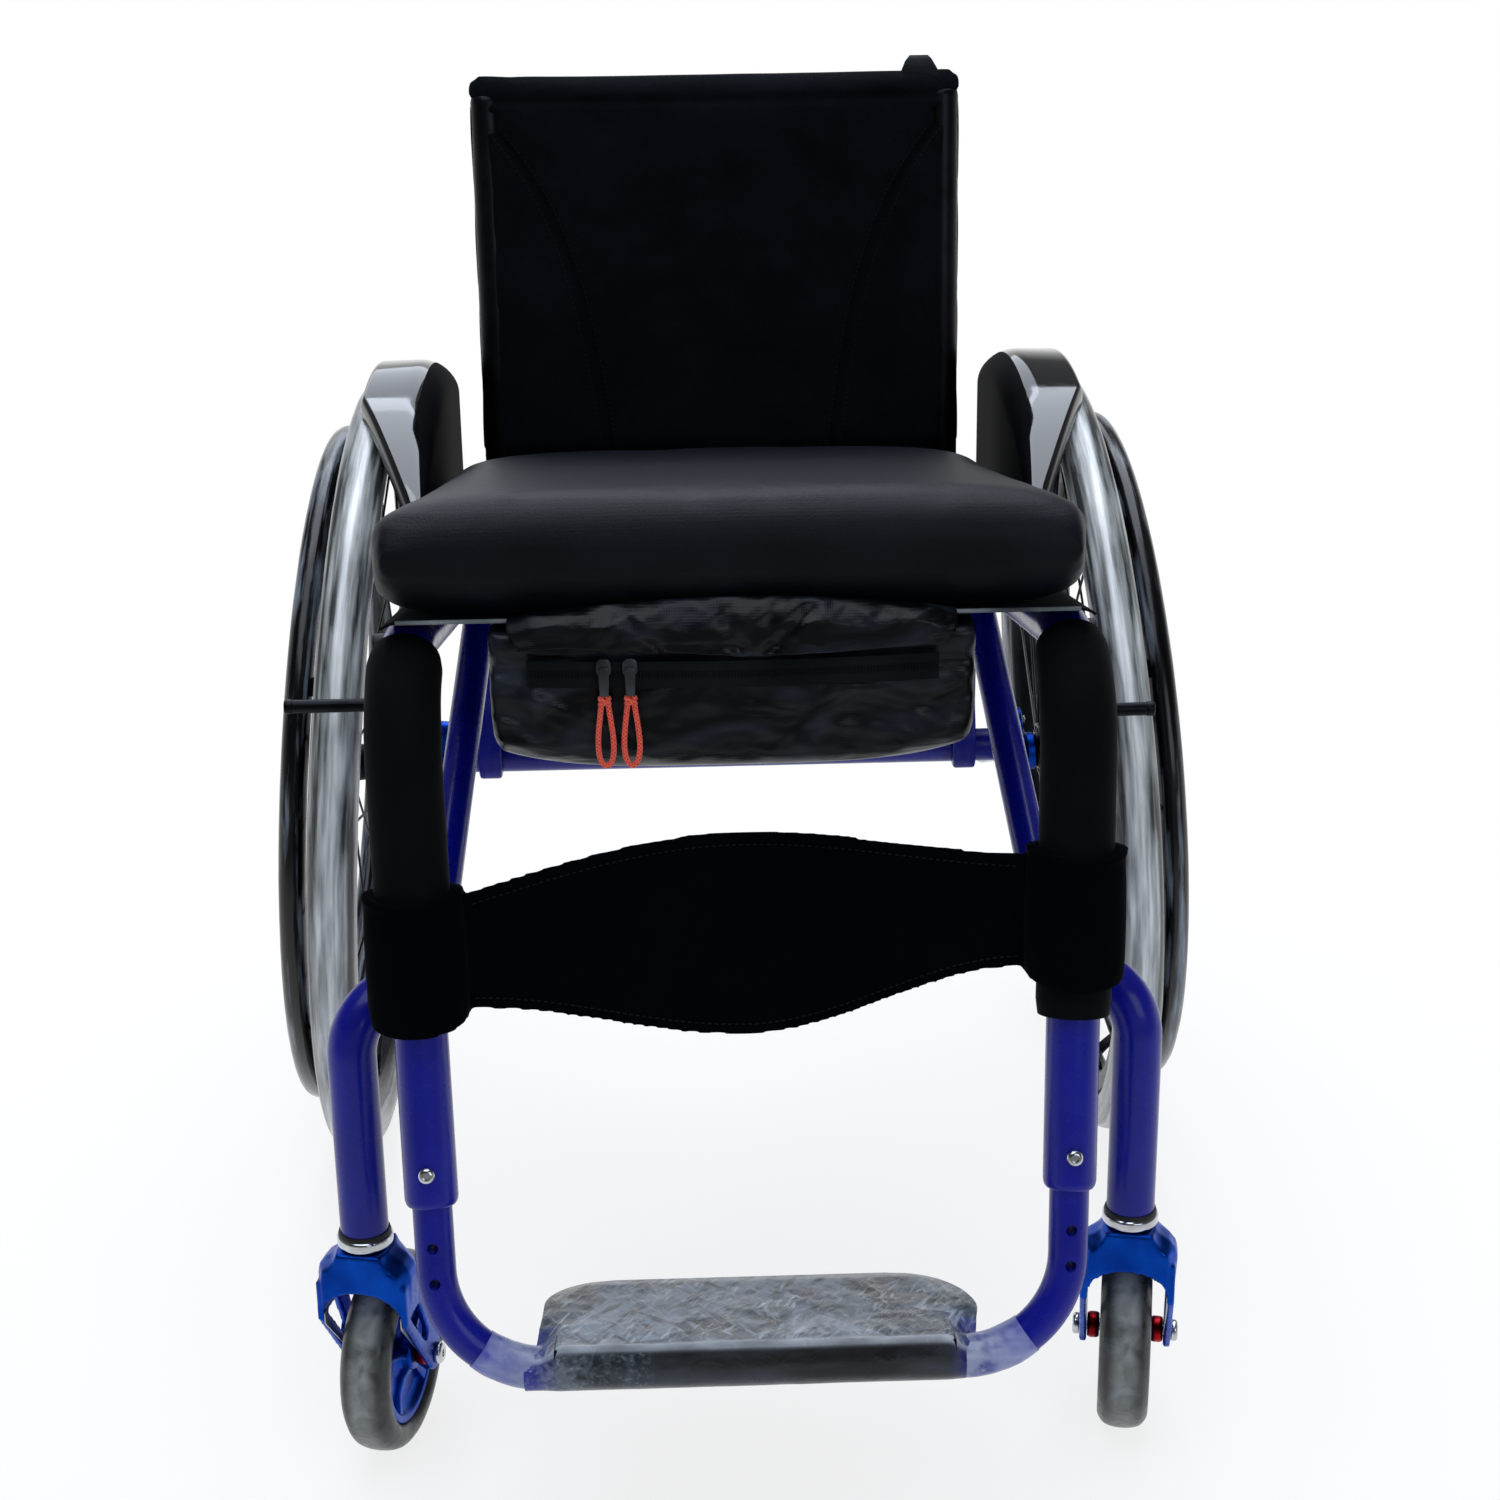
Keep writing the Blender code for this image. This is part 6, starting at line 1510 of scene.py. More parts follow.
# %% Posts, cross bar and brackets
HINGE = Vector((0, 22.0, 500.0))
RECLINE = math.radians(4.0)
lean_back = Matrix.Translation(HINGE) @ Matrix.Rotation(-RECLINE, 4, "X")
POST_X, POST = 171.0, 12.5
for side in (1, -1):
    word = WORD[side]
    path = [(side * POST_X, 0, z) for z in (-13, -11.6, -9.4, -6, 311, 314, 315.4, 316)]
    radii = [POST - 4.6, POST - 2.2, POST - 0.7, POST, POST, POST - 0.7, POST - 2.0, POST - 4.0]
    piece(f"backrest_post_{word}", moved(swept(path, radii, 36), lean_back), black_anodised, "back",
          f"back_post_{word}")
    inner = POST_X + POST + 0.9
    foot = seat_z(HINGE.y) + 2
    outline = arc((HINGE.y, HINGE.z), 13.0, -10, 190, 22) + [(HINGE.y - 20, foot), (HINGE.y + 20, foot)]
    low, high = sorted((side * inner, side * (inner + 6.0)))

    stud = crossways(side, POST_X - POST - 2, inner + 9, (HINGE.y, HINGE.z), 4.0, 24, 0.6)
    cap = crossways(side, inner + 5.8, inner + 8.8, (HINGE.y, HINGE.z), 6.4, 6, 0.5)
    piece(f"fold_bracket_{word}", joined(plate(outline, low, high, edge=0.9), stud, cap),
          black_anodised, "frame", f"back_bracket_{word}")
piece("backrest_cross_bar", moved(rod((-POST_X + 12, 0, 24), (POST_X - 12, 0, 24), 8.0, 32), lean_back),
      black_anodised, "back", "back_cross_bar")
print("back posts lean", round(math.degrees(RECLINE), 1), "degrees")

# %% [markdown]
# ## Brakes
# A plate on each seat rail carries a hand lever and a link. Pulling the lever swings a short bar
# back against the tread. Each part is a flat link with round ends, turning on a shoulder stud.

# %% Brake plates, levers and bars
BRAKE_Y, BRAKE_Z, LEVER_Y, LEVER_Z = 268.0, 492.0, 283.0, 505.0
BAR_PLACE = {1: (-299.0, 430.0), -1: (-293.0, 443.0)}
BAR_END = {1: 281.0, -1: 298.0}


def link_outline(start, end, half, steps=12):
    lie = math.degrees(math.atan2(end[1] - start[1], end[0] - start[0]))
    return arc(end, half, lie - 90, lie + 90, steps) + arc(start, half, lie + 90, lie + 270, steps)


def brake_layer(number):
    """How far out the plate (0), the lever (1) and the tyre bar's link (2) start."""
    first = rail_point(1, -BRAKE_Y).x + TUBE + 0.6
    return (first, first + 4.3, first + 9.1)[number]


for side in (1, -1):
    word = WORD[side]
    lever_at, bar_at = (-LEVER_Y, LEVER_Z), (-BRAKE_Y, BRAKE_Z)
    low, high = sorted((side * brake_layer(0), side * (brake_layer(0) + 4.0)))
    parts = [plate(link_outline(lever_at, bar_at, 9.0), low, high, edge=0.7)]
    for at, layer in ((lever_at, 1), (bar_at, 2)):
        parts.append(crossways(side, brake_layer(0) + 1, brake_layer(layer) + 4.8, at, 3.0, 20))
    piece(f"brake_plate_{word}", joined(*parts), black_anodised, "frame", f"brake_mount_{word}")
    place = BAR_PLACE[side]
    low, high = sorted((side * brake_layer(2), side * (brake_layer(2) + 4.5)))
    bar = crossways(side, brake_layer(2) + 1, BAR_END[side], place, 4.5, 28, 1.2)
    cap = crossways(side, BAR_END[side] - 6, BAR_END[side] - 0.2, place, 4.9, 28, 1.0)
    piece(f"tyre_clamp_bar_{word}",
          joined(plate(link_outline(bar_at, place, 6.5), low, high, edge=0.8), bar, cap),
          black_anodised, f"brake_bar_{word}", f"brake_bar_{word}")
    grip_at = (-LEVER_Y - 105.0, LEVER_Z + 6.0)
    low, high = sorted((side * brake_layer(1), side * (brake_layer(1) + 4.3)))
    piece(f"hand_lever_{word}", plate(link_outline(lever_at, grip_at, 6.0), low, high, edge=0.8),
          black_anodised, f"brake_lever_{word}", f"brake_lever_{word}")
    grip = crossways(side, brake_layer(1) + 0.1, brake_layer(1) + 11.8, grip_at, 6.9, 28, 2.0)
    piece(f"lever_grip_{word}", grip, grip_rubber, f"brake_lever_{word}")
print("brakes:", sum("brake" in o.name or "lever" in o.name or "clamp_bar" in o.name for o in PIECES),
      "pieces")

# %% [markdown]
# ## Side guards
# A guard is a thin moulded shell. Its wall stands beside the seat, and its top rolls out over
# the tyre, wider towards the back. A slice is drawn at each angle round the wheel and the
# slices are skinned.

# %% Side guards
GUARD_X, GUARD_THICK = 208.0, 3.0
GUARD_FROM, GUARD_TO, GUARD_SLICES = math.radians(-42.0), math.radians(17.0), 72
GUARD_RADIUS, GUARD_REACH, GUARD_BEND, GUARD_LIP = WHEEL_RADIUS + 9.5, 56.0, 24.0, 9.0


def guard_at(angle):
    """The guard at one angle round the wheel: its y, its top, its reach outward and its bend."""
    along = (angle - GUARD_FROM) / (GUARD_TO - GUARD_FROM)
    reach = GUARD_REACH * min(1.0, 0.12 + 1.9 * along)
    y, top = GUARD_RADIUS * math.sin(angle), HUB_HEIGHT + GUARD_RADIUS * math.cos(angle)
    return y, top, reach, min(GUARD_BEND, reach * 0.45)


def guard_slice(side, angle):
    y, top, reach, bend = guard_at(angle)
    lip, t = min(GUARD_LIP, reach * 0.5), GUARD_THICK
    outer = [(0, seat_z(y) + 1)] + arc((bend, top - bend + t), bend, 180, 90, 14)
    outer += rounded([(bend + 1, top + t), (reach - 2.5, top + t - 0.6), (reach, top - 3),
                      (reach, top - lip)], 3.0, 4, closed=False)[1:]
    inner = rounded([(reach - t, top - lip), (reach - t, top - 3), (reach - 4.6, top - 0.8), (bend + 1, top)],
                    2.0, 4, closed=False)
    inner += arc((bend, top - bend + t), bend - t, 90, 180, 14) + [(t, seat_z(y) + 1)]
    return [(side * (GUARD_X + x), y, z) for x, z in outer + inner]


def guard_grain(side, angle):
    """The grained face of the wall, which ends where the arch turns outward."""
    y, top, _, bend = guard_at(angle)
    middle, grain_end = (bend, top - bend + GUARD_THICK), 118
    face = [(-0.3, seat_z(y) + 1)] + arc(middle, bend + 0.3, 180, grain_end, 8)
    face += arc(middle, bend - 0.2, grain_end, 180, 8) + [(0.2, seat_z(y) + 1)]
    return [(side * (GUARD_X + x), y, z) for x, z in face]


for side in (1, -1):
    word = WORD[side]
    angles = [GUARD_FROM + (GUARD_TO - GUARD_FROM) * i / GUARD_SLICES for i in range(GUARD_SLICES + 1)]
    piece(f"moulded_guard_{word}", loft([guard_slice(side, angle) for angle in angles]),
          guard_plastic, "frame", f"side_guard_{word}", smooth=50)
    piece(f"guard_grain_{word}", loft([guard_grain(side, angle) for angle in angles]), grained, "frame",
          smooth=50)
    head = turned([(side * x, r) for x, r in ((0, 0), (0, 4.5), (-1.4, 4.5), (-2.2, 3.4), (-2.2, 0))],
                  24, False)
    heads = [moved(head, Matrix.Translation((side * GUARD_X, y, seat_z(y) + 26))) for y in (-120.0, 20.0)]
    piece(f"guard_screws_{word}", joined(*heads), steel, "frame")
print("guards:", GUARD_SLICES, "slices each")

# %% [markdown]
# ## Soft parts
# Padded covers are made as a tailor sees them: a closed skin a little too small, blown up from
# inside by a cloth simulation, and only then sewn, by pressing channels into it. The simulation
# runs on an even voxel skin, and a cap keeps any point from moving too far.

# %% Puffing a cover
def puffed(made, voxel_mm, pressure, cap_mm, frames=20):
    """Swell a closed skin with the cloth solver and keep the result."""
    even_skin(made, voxel_mm)
    settle(made)
    rest = np.array([v.co for v in made.data.vertices])
    own = modify(made, "CLOTH").settings
    own.quality = 5
    own.mass = 0.3
    own.tension_stiffness = own.compression_stiffness = 18
    own.shear_stiffness = 6
    own.bending_stiffness = 0.8
    own.use_pressure = True
    own.uniform_pressure_force = pressure
    own.effector_weights.gravity = 0
    scene = bpy.context.scene
    for number in range(1, frames + 1):
        scene.frame_set(number)
    swollen = made.evaluated_get(bpy.context.evaluated_depsgraph_get())
    after = np.array([v.co for v in swollen.to_mesh().vertices])
    swollen.to_mesh_clear()
    made.modifiers.clear()
    shift = after - rest
    far = np.linalg.norm(shift, axis=1, keepdims=True)
    shift *= np.minimum(1.0, cap_mm * MM / np.maximum(far, 1e-9))
    made.data.vertices.foreach_set("co", (rest + shift).ravel())
    made.data.update()
    scene.frame_set(1)
    return finer(made, SMOOTH_ALL)


def reshape(made, change):
    """Move each vertex by a function of its place in millimetres about the axle's floor point."""
    mesh = made.data
    normals = [v.normal.copy() for v in mesh.vertices]
    for vertex, normal in zip(mesh.vertices, normals):
        at = (vertex.co - ORIGIN) / MM
        vertex.co = row(change(at, normal))
    mesh.update()


# %% [markdown]
# The cushion is foam in a zipped cover. Its front edge rolls over, its top is crowned, and its
# sides pull in a little between the corners. A seam is pressed in round its sides.

# %% Seat cushion
CUSHION_SHIFT, CUSHION_THICK = -4.0, 65.0
CUSHION_Y0, CUSHION_Y1, ROLL_OVER = -500.0, -18.0, 34.0
CUSHION_BASE = TUBE + 0.3 + 3.0 + 0.6
CUSHION_FRONT_WIDTH, CUSHION_NARROWER, REAR_ROUND, SEAM_DEEP = 420.0, 16.0, 17.0, 1.6


def cushion_ring(y, tall, inset, count=72):
    along = (y - CUSHION_Y0) / (CUSHION_Y1 - CUSHION_Y0)
    half = ((CUSHION_FRONT_WIDTH - CUSHION_NARROWER * along) / 2
            - 4.0 * math.sin(math.pi * min(max(along, 0), 1)) - inset)
    bottom = seat_z(y) + CUSHION_BASE
    ring = []
    for k in range(count):
        c, s = math.cos(2 * math.pi * k / count), math.sin(2 * math.pi * k / count)
        x = half * math.copysign(abs(c) ** 0.3, c)
        z = CUSHION_THICK / 2 * tall * math.copysign(abs(s) ** 0.38, s)
        if s > 0:
            z += 4.0 * tall * (1 - (x / half) ** 2)
        ring.append((CUSHION_SHIFT + x, y, bottom + CUSHION_THICK / 2 + z))
    return ring


rings = []
for share in (0.02, 0.08, 0.18, 0.32, 0.5, 0.7, 0.88):
    fall = math.sqrt(1 - (1 - share) ** 2)
    rings.append(cushion_ring(CUSHION_Y0 + ROLL_OVER * share, fall, 8 * (1 - share) - 1.0))
start, stop = CUSHION_Y0 + ROLL_OVER, CUSHION_Y1 - REAR_ROUND
rings += [cushion_ring(start + (stop - start) * i / 40, 1.0, -1.0) for i in range(41)]
for share in (0.8, 0.5, 0.25, 0.08, 0.02):
    fall = math.sqrt(1 - (1 - share) ** 2)
    rings.append(cushion_ring(CUSHION_Y1 - REAR_ROUND * share, fall, 1.0 + 5 * (1 - share)))
cushion = put(mesh_of("seat_cushion_cover", loft(rings), smooth_knit, SMOOTH_ALL), "seat_cushion_cover")
puffed(cushion, 6.0, 5.0, 3.5)


def cushion_sewing(at, normal):
    """Keep the cushion's flat underside off the sling, and press in the seam round its side."""
    floor_at = seat_z(at.y) + CUSHION_BASE
    seam = floor_at + CUSHION_THICK * 0.5
    near = math.exp(-((at.z - seam) / 2.6) ** 2)
    sewn_here = abs(normal.z) < 0.75 and at.y > CUSHION_Y0 + 40
    out = at - normal * (near * SEAM_DEEP if sewn_here else 0.0)
    out.z = max(out.z, floor_at + 0.1)
    return out


reshape(cushion, cushion_sewing)
dress(cushion, "frame", "seat_cushion")
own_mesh(cushion)
print("cushion:", len(cushion.data.polygons), "faces")

# %% [markdown]
# The back cover slips over both posts. Two curved seams divide its middle panel from the side
# panels, a crease near the top shows where the cover folds over, and a hem runs along the foot.

# %% Back cover
BACK_HALF, BACK_LOW, BACK_HIGH = 190.5, 38.0, 332.5
SEAM_DEPTH, CREASE_DEPTH, HEM_DEPTH = 4.2, 2.6, 1.3
back_inverse = lean_back.inverted()


def seam_x(height):
    share = min(max((height - BACK_LOW) / (BACK_HIGH - 42 - BACK_LOW), 0), 1)
    return 84.0 + 82.0 * (0.45 * share + 0.55 * share ** 4)


def back_level(height, depth, width, count=96):
    ring = []
    seam = seam_x(height)
    for k in range(count):
        c, s = math.cos(2 * math.pi * k / count), math.sin(2 * math.pi * k / count)
        x = BACK_HALF * width * math.copysign(abs(c) ** 0.6, c)
        edge = abs(s) ** 0.9
        if abs(x) < seam:
            pad = 1 - 0.5 * (abs(x) / seam) ** 3
        else:
            t = (abs(x) - seam) / max(BACK_HALF - seam, 1)
            pad = 0.5 - 0.35 * t
        y = -(14.0 + 9.0 * pad) * edge if s < 0 else 13.6 * edge
        ring.append((x, y * depth, height))
    return ring


# height, share of the full depth, share of the full width
levels = [(BACK_LOW + 0.5, 0.3, 0.975), (BACK_LOW + 2, 0.62, 0.985), (BACK_LOW + 5, 0.85, 0.992),
          (BACK_LOW + 9, 0.96, 0.996)]
levels += [(BACK_LOW + 14 + (BACK_HIGH - 34 - BACK_LOW) * i / 26, 1.0, 0.995) for i in range(27)]
levels += [(BACK_HIGH - 14, 0.96, 0.993), (BACK_HIGH - 9, 0.86, 0.988), (BACK_HIGH - 5, 0.7, 0.98),
           (BACK_HIGH - 2, 0.48, 0.965), (BACK_HIGH - 0.6, 0.25, 0.94)]
back_shape = moved(loft([back_level(*level) for level in levels]), lean_back)
back_cover = put(mesh_of("backrest_cover", back_shape, knit, SMOOTH_ALL), "backrest_cover")
puffed(back_cover, 5.0, 3.0, 3.5)


def back_sewing(at, normal):
    """Press in the two curved seams, the crease under the fold and the hem."""
    p = back_inverse @ at
    move = 0.0
    if p.y < 2.0:
        if p.z < BACK_HIGH - 30:
            side_gap = abs(abs(p.x) - seam_x(p.z))
            move += SEAM_DEPTH * math.exp(-(side_gap / 3.4) ** 2)
        crease = BACK_HIGH - 23 + 3.0 * (p.x / BACK_HALF) ** 2
        move += CREASE_DEPTH * math.exp(-((p.z - crease) / 2.8) ** 2)
        move -= 0.9 * math.exp(-((p.z - crease - 9) / 7.0) ** 2)
    move += HEM_DEPTH * math.exp(-((p.z - BACK_LOW - 12) / 2.2) ** 2)
    pull = 0.5 * noise.noise(Vector((p.x / 38, p.z / 90, 3.0)))
    return at - normal * (move + pull)


reshape(back_cover, back_sewing)
dress(back_cover, "back", "back_upholstery")
print("back cover:", len(back_cover.data.polygons), "faces")

# %% [markdown]
# Sewn seams show their stitches. Each stitch is a short rounded bar laid along the seam at a
# pitch of 4 mm, and the first tree repeats it.

# %% Stitches on the back
STITCH_PITCH = 4.0
stitch = item_object("stitch", swept([(0, 0, -1.3), (0, 0, -0.9), (0, 0, 0.9), (0, 0, 1.3)],
                                     [0.25, 0.5, 0.5, 0.25], 6), webbing)


def on_front(x, z, proud=0.25):
    """The point of the back cover's front under a place on it, by a ray from ahead."""
    start = lean_back @ Vector((x, -80, z))
    way = (lean_back.to_3x3() @ Vector((0, 1, 0))).normalized()
    hit, place, normal, _ = back_cover.ray_cast(row(start), way)
    if not hit:
        return None
    return (place + normal * proud * MM - ORIGIN) / MM


seams = []
for side in (1, -1):
    for offset in (-5.5, 5.5):
        line = []
        for i in range(60):
            z = BACK_LOW + 14 + (BACK_HIGH - 60 - BACK_LOW) * i / 59
            at = on_front(side * (seam_x(z) + offset), z)
            if at is not None:
                line.append(at)
        seams.append(line)
sewn = merged("backrest_stitches", webbing, along_line("back_seam", seams, stitch, STITCH_PITCH, webbing),
              smooth=60)
dress(sewn, "back")
print("stitch lines:", len(seams))

# %% [markdown]
# A short loop of flat webbing stands over the top edge, near the occupant's left post. It
# narrows a little where it turns over.

# %% Webbing loop on the back
LOOP_X, LOOP_HALF, WEBBING_HALF = 154, 13.0, 0.8
# y and z of the webbing's middle, in the leaning back's own frame
loop_line = [(12, 318), (11.5, 328), (8.5, 336), (2.5, 339.5), (-3.5, 337), (-7.5, 330), (-9.0, 322)]
ribbon = []
for i, (y, z) in enumerate(loop_line):
    ahead, before = Vector(loop_line[min(i + 1, len(loop_line) - 1)]), Vector(loop_line[max(i - 1, 0)])
    step = ahead - before
    away = Vector((0, step.y, -step.x)).normalized()
    half = LOOP_HALF - 1.3 * max(0.0, (z - 330.0) / 3.0) ** 1.3
    section = rounded([(-half, -WEBBING_HALF), (half, -WEBBING_HALF), (half, WEBBING_HALF),
                       (-half, WEBBING_HALF)], 0.6, 2)
    ribbon.append([lean_back @ (Vector((LOOP_X + u, y, z)) + away * v) for u, v in section])
piece("strap_loop", loft(ribbon), webbing, "back", smooth=50)
print("webbing loop:", len(loop_line), "stations")

# %% [markdown]
# The foam sleeves are pushed over the front tubes. They follow the knee, are a little uneven,
# as cut foam is, and their ends are cut square with a soft edge.

# %% Foam sleeves
SLEEVE, SLEEVE_LOW, SLEEVE_FIRST = 22.0, 328.0, 10
for side in (1, -1):
    word = WORD[side]
    path = side_path(side, 28)[SLEEVE_FIRST:-1]
    last, low_end = path[-1], front_line(side, SLEEVE_LOW)
    path += [last.lerp(low_end, k / 34) for k in range(1, 35)]
    outer = []
    for i, centre in enumerate(path):
        edge = min(i, len(path) - 1 - i)
        radius = SLEEVE - (1.2 * (1 - edge / 2.0) if edge < 2 else 0.0) - 0.1
        radius += 0.3 * noise.noise(centre / 30.0)
        outer.append(radius)
    skins = swept_rings(path, outer, 44)
    bores = swept_rings(path, TUBE + 0.6, 44)
    piece(f"foam_sleeve_{word}", loft(skins + bores[::-1], wrap=True), foam, "frame", f"foam_cover_{word}",
          smooth=50)
print("sleeves:", len(path), "stations each")

# %% [markdown]
# The calf strap is neoprene. Its ends are loops round the sleeves, wider at the bottom, with a
# bound upper edge, and its middle is deeper and hangs back behind the legs' line. Overlapping
# bands are melted into one skin, which gives the soft joins of sewn neoprene.

# %% Calf strap
# heights of the loops, of the band's ends and of its middle, then the heights of their centres
STRAP_THICK, STRAP_LOOP, STRAP_NECK, STRAP_MID = 4.5, 74.0, 63.0, 117.0
STRAP_MIDDLE, STRAP_CENTRE, SETBACK = {1: 384.0, -1: 368.0}, 362.0, 34.0
STRAP_VOXEL, STRAP_PASSES = 2.0, 3
inner, outer = SLEEVE + 0.5, SLEEVE + 0.6 + STRAP_THICK
reach = front_line(1, STRAP_CENTRE).x - 8.0
band = []
stations = 72
for i in range(stations + 1):
    x = reach * (2 * i / stations - 1)
    share = abs(x) / (front_line(1, STRAP_CENTRE).x - SLEEVE)
    bulge = 0.5 + 0.5 * math.cos(math.pi * min(share * 1.05, 1))
    end = 1 if x > 0 else -1
    rise = 1 - min(share, 1) ** 2.5
    neck = STRAP_MIDDLE[end]
    high = neck + STRAP_NECK / 2 + (STRAP_CENTRE + STRAP_MID / 2 - neck - STRAP_NECK / 2) * rise
    low = neck - STRAP_NECK / 2 + (STRAP_CENTRE - STRAP_MID / 2 - neck + STRAP_NECK / 2) * bulge
    middle, half = (high + low) / 2, (high - low) / 2
    y = front_line(end, middle).y + SETBACK * bulge + 6.0
    if share > 1:
        y -= 13.0 * (share - 1) * 8
    tip = front_line(1, middle + half).y - front_line(1, middle - half).y
    ring = []
    for u, v in rounded([(-1, 0), (1, 0), (1, 1), (-1, 1)], 0.04, 2):
        ring.append((x, y + u * tip / 2 + v * STRAP_THICK, middle + u * half))
    band.append(ring)
bands = [loft(band)]


def hung(p, centre):
    """Cloth hangs a little lower at the front of its loop than at the back."""
    return p + Vector((0, 0, 2.5 - 7.0 * min(1.0, max(0.0, (centre.y - p.y) / outer)) ** 1.4))


for side in (1, -1):
    centre = STRAP_MIDDLE[side]
    top, bottom = front_line(side, centre + STRAP_LOOP / 2), front_line(side, centre - STRAP_LOOP / 2)
    path = [top.lerp(bottom, k / 12) for k in range(13)]
    outers = [outer + 1.6 * math.sin(math.pi * k / 12) ** 0.5 + 0.8 * k / 12 for k in range(13)]
    sleeve_rings = swept_rings(path, outers, 56) + swept_rings(path, inner, 56)[::-1]
    centres = path + path[::-1]
    bands.append(loft([[hung(p, c) for p in ring] for c, ring in zip(centres, sleeve_rings)], wrap=True))
    lean = down_front(side).to_track_quat("Z", "Y").to_matrix()
    hoop = [top + down_front(side) * 1.6
            + lean @ Vector(((outer + 0.6) * math.cos(a), (outer + 0.6) * math.sin(a), 0))
            for a in [2 * math.pi * k / 60 for k in range(60)]]
    hoop = [hung(p, top) for p in hoop]
    hoop_rings = swept_rings(hoop + hoop[:1], 2.0, 12)[:-1]
    bands.append(loft(hoop_rings, wrap=True))
strap = melted("neoprene_calf_strap", joined(*bands), neoprene, STRAP_VOXEL, STRAP_PASSES)
dress(strap, "frame", "calf_strap")
print("strap:", len(strap.data.polygons), "faces")


# %% [markdown]
# One row of stitches runs along each edge of the strap's middle, laid by rays from ahead.

# %% Stitches along the strap's edges
def strap_edge(which, inset=6.5):
    line = []
    for ring in band[5:-5]:
        zs = [p[2] for p in ring]
        z = max(zs) - inset if which > 0 else min(zs) + inset
        ahead_of_strap = row((ring[0][0], -700.0, z))
        hit, place, normal, _ = strap.ray_cast(ahead_of_strap, Vector((0, 1, 0)))
        if hit:
            line.append((place + normal * 0.2 * MM - ORIGIN) / MM)
    return line


strap_lines = [strap_edge(1), strap_edge(-1)]
strap_seams = merged("strap_stitches", webbing,
                     along_line("strap_seam", strap_lines, stitch, STITCH_PITCH, webbing), smooth=60)
dress(strap_seams, "frame")
print("strap stitches:", sum(len(line) for line in strap_lines), "points on the strap")

# %% [markdown]
# ## Sling and pouch
# The sling is coated fabric stretched over both rails: flat between them, rounding over their
# tops, with a bound front hem that catches the light as a thin pale line.

# %% Sling
SLING_Y0, SLING_Y1, SLING_ROWS, SLING_DIP = -492.0, 4.0, 60, 0.5
sling_rows = []
skin_r = TUBE + 0.9
for i in range(SLING_ROWS + 1):
    y = SLING_Y0 + (SLING_Y1 - SLING_Y0) * i / SLING_ROWS
    rail = rail_point(1, y)
    section = []
    for k in range(9):
        angle = math.radians(38 - 38 * k / 8)
        section.append((rail.x + skin_r * math.sin(angle), rail.z + skin_r * math.cos(angle)))
    for k in range(1, 40):
        x = rail.x * (1 - k / 20)
        section.append((x, rail.z + skin_r - SLING_DIP * (1 - (x / rail.x) ** 2)))
    section += [(-x, z) for x, z in reversed(section[:9])]
    sling_rows.append([(x, y, z) for x, z in section])
points = [Vector(p) for r in sling_rows for p in r]
faces = grid_faces(SLING_ROWS, len(sling_rows[0]) - 1)
sling = put(mesh_of("stretched_sling", (points, faces), sling_cloth, 60), "stretched_sling")
modify(sling, "SOLIDIFY", thickness=1.6 * MM, offset=1.0)
settle(sling, 60)
dress(sling, "frame", "seat_sling")
HEM_HALF, HEM_THICK = 196, 1.3
hem = [(x, SLING_Y0 - 0.6, seat_z(SLING_Y0) + TUBE + 2.0) for x in np.linspace(-HEM_HALF, HEM_HALF, 60)]
piece("sling_hem_tape", swept(hem, HEM_THICK, 12), pale_thread, "frame", smooth=60)
print("sling:", len(sling.data.polygons), "faces")

# %% [markdown]
# The pouch hangs from the sling's front hem. Its body sags between its ends, a zip crosses its
# face, and a loose flap of the same nylon folds up over the hem. Folded noise crumples both,
# most on the flap, where the cloth carries no load.

# %% Pouch body
def evenly(outline, count):
    """A closed outline with its points spread at one pitch."""
    ring = [Vector((a, b)) for a, b in outline]
    ring.append(ring[0])
    steps = [0.0]
    for a, b in zip(ring, ring[1:]):
        steps.append(steps[-1] + (b - a).length)
    places = np.linspace(0, steps[-1], count, endpoint=False)
    spread = [np.interp(places, steps, [p[axis] for p in ring]) for axis in (0, 1)]
    return [(float(a), float(b)) for a, b in zip(*spread)]


POUCH_SHIFT, POUCH_HALF, FLAP_HALF = -4.0, 141.0, 126.0
POUCH_LOW, POUCH_FACE, POUCH_DEEP = 456.0, -500.0, 96.0
HEM_Z = seat_z(SLING_Y0) + TUBE + 0.3
ZIP_Z, ZIP_HALF, ZIP_SAG = HEM_Z - 28.0, 118, 2.5


def zip_drop(x):
    """How far the zip's line sags below its ends."""
    return ZIP_SAG * (1 - ((x - POUCH_SHIFT) / ZIP_HALF) ** 2)


pouch_rings = []
stations = 90
for i in range(stations + 1):
    share = 2 * i / stations - 1
    x = POUCH_SHIFT + share * POUCH_HALF
    close = max(0.0, (abs(share) - 0.95) / 0.05)
    inset = 8.0 * close ** 2
    bottom = POUCH_LOW + 14 * share ** 4 + inset + 1.2
    rear = POUCH_FACE + POUCH_DEEP
    front = POUCH_FACE + inset / 2 + 2.6
    roof = HEM_Z - 7.0
    outline = rounded([
        (front + 15, bottom), (front + 4, bottom + 11), (front + 1.5, HEM_Z - 36), (front + 3.2, HEM_Z - 27),
        (front + 1.5, HEM_Z - 20), (front + 3, roof), (POUCH_FACE + 40, roof),
        (rear - 4 - inset, seat_z(rear) + TUBE - 6 - inset), (rear - 8, bottom + 9)], 7.0, 5)
    pouch_rings.append([(x, y, z) for y, z in evenly(outline, 130)])
points, faces = loft(pouch_rings)


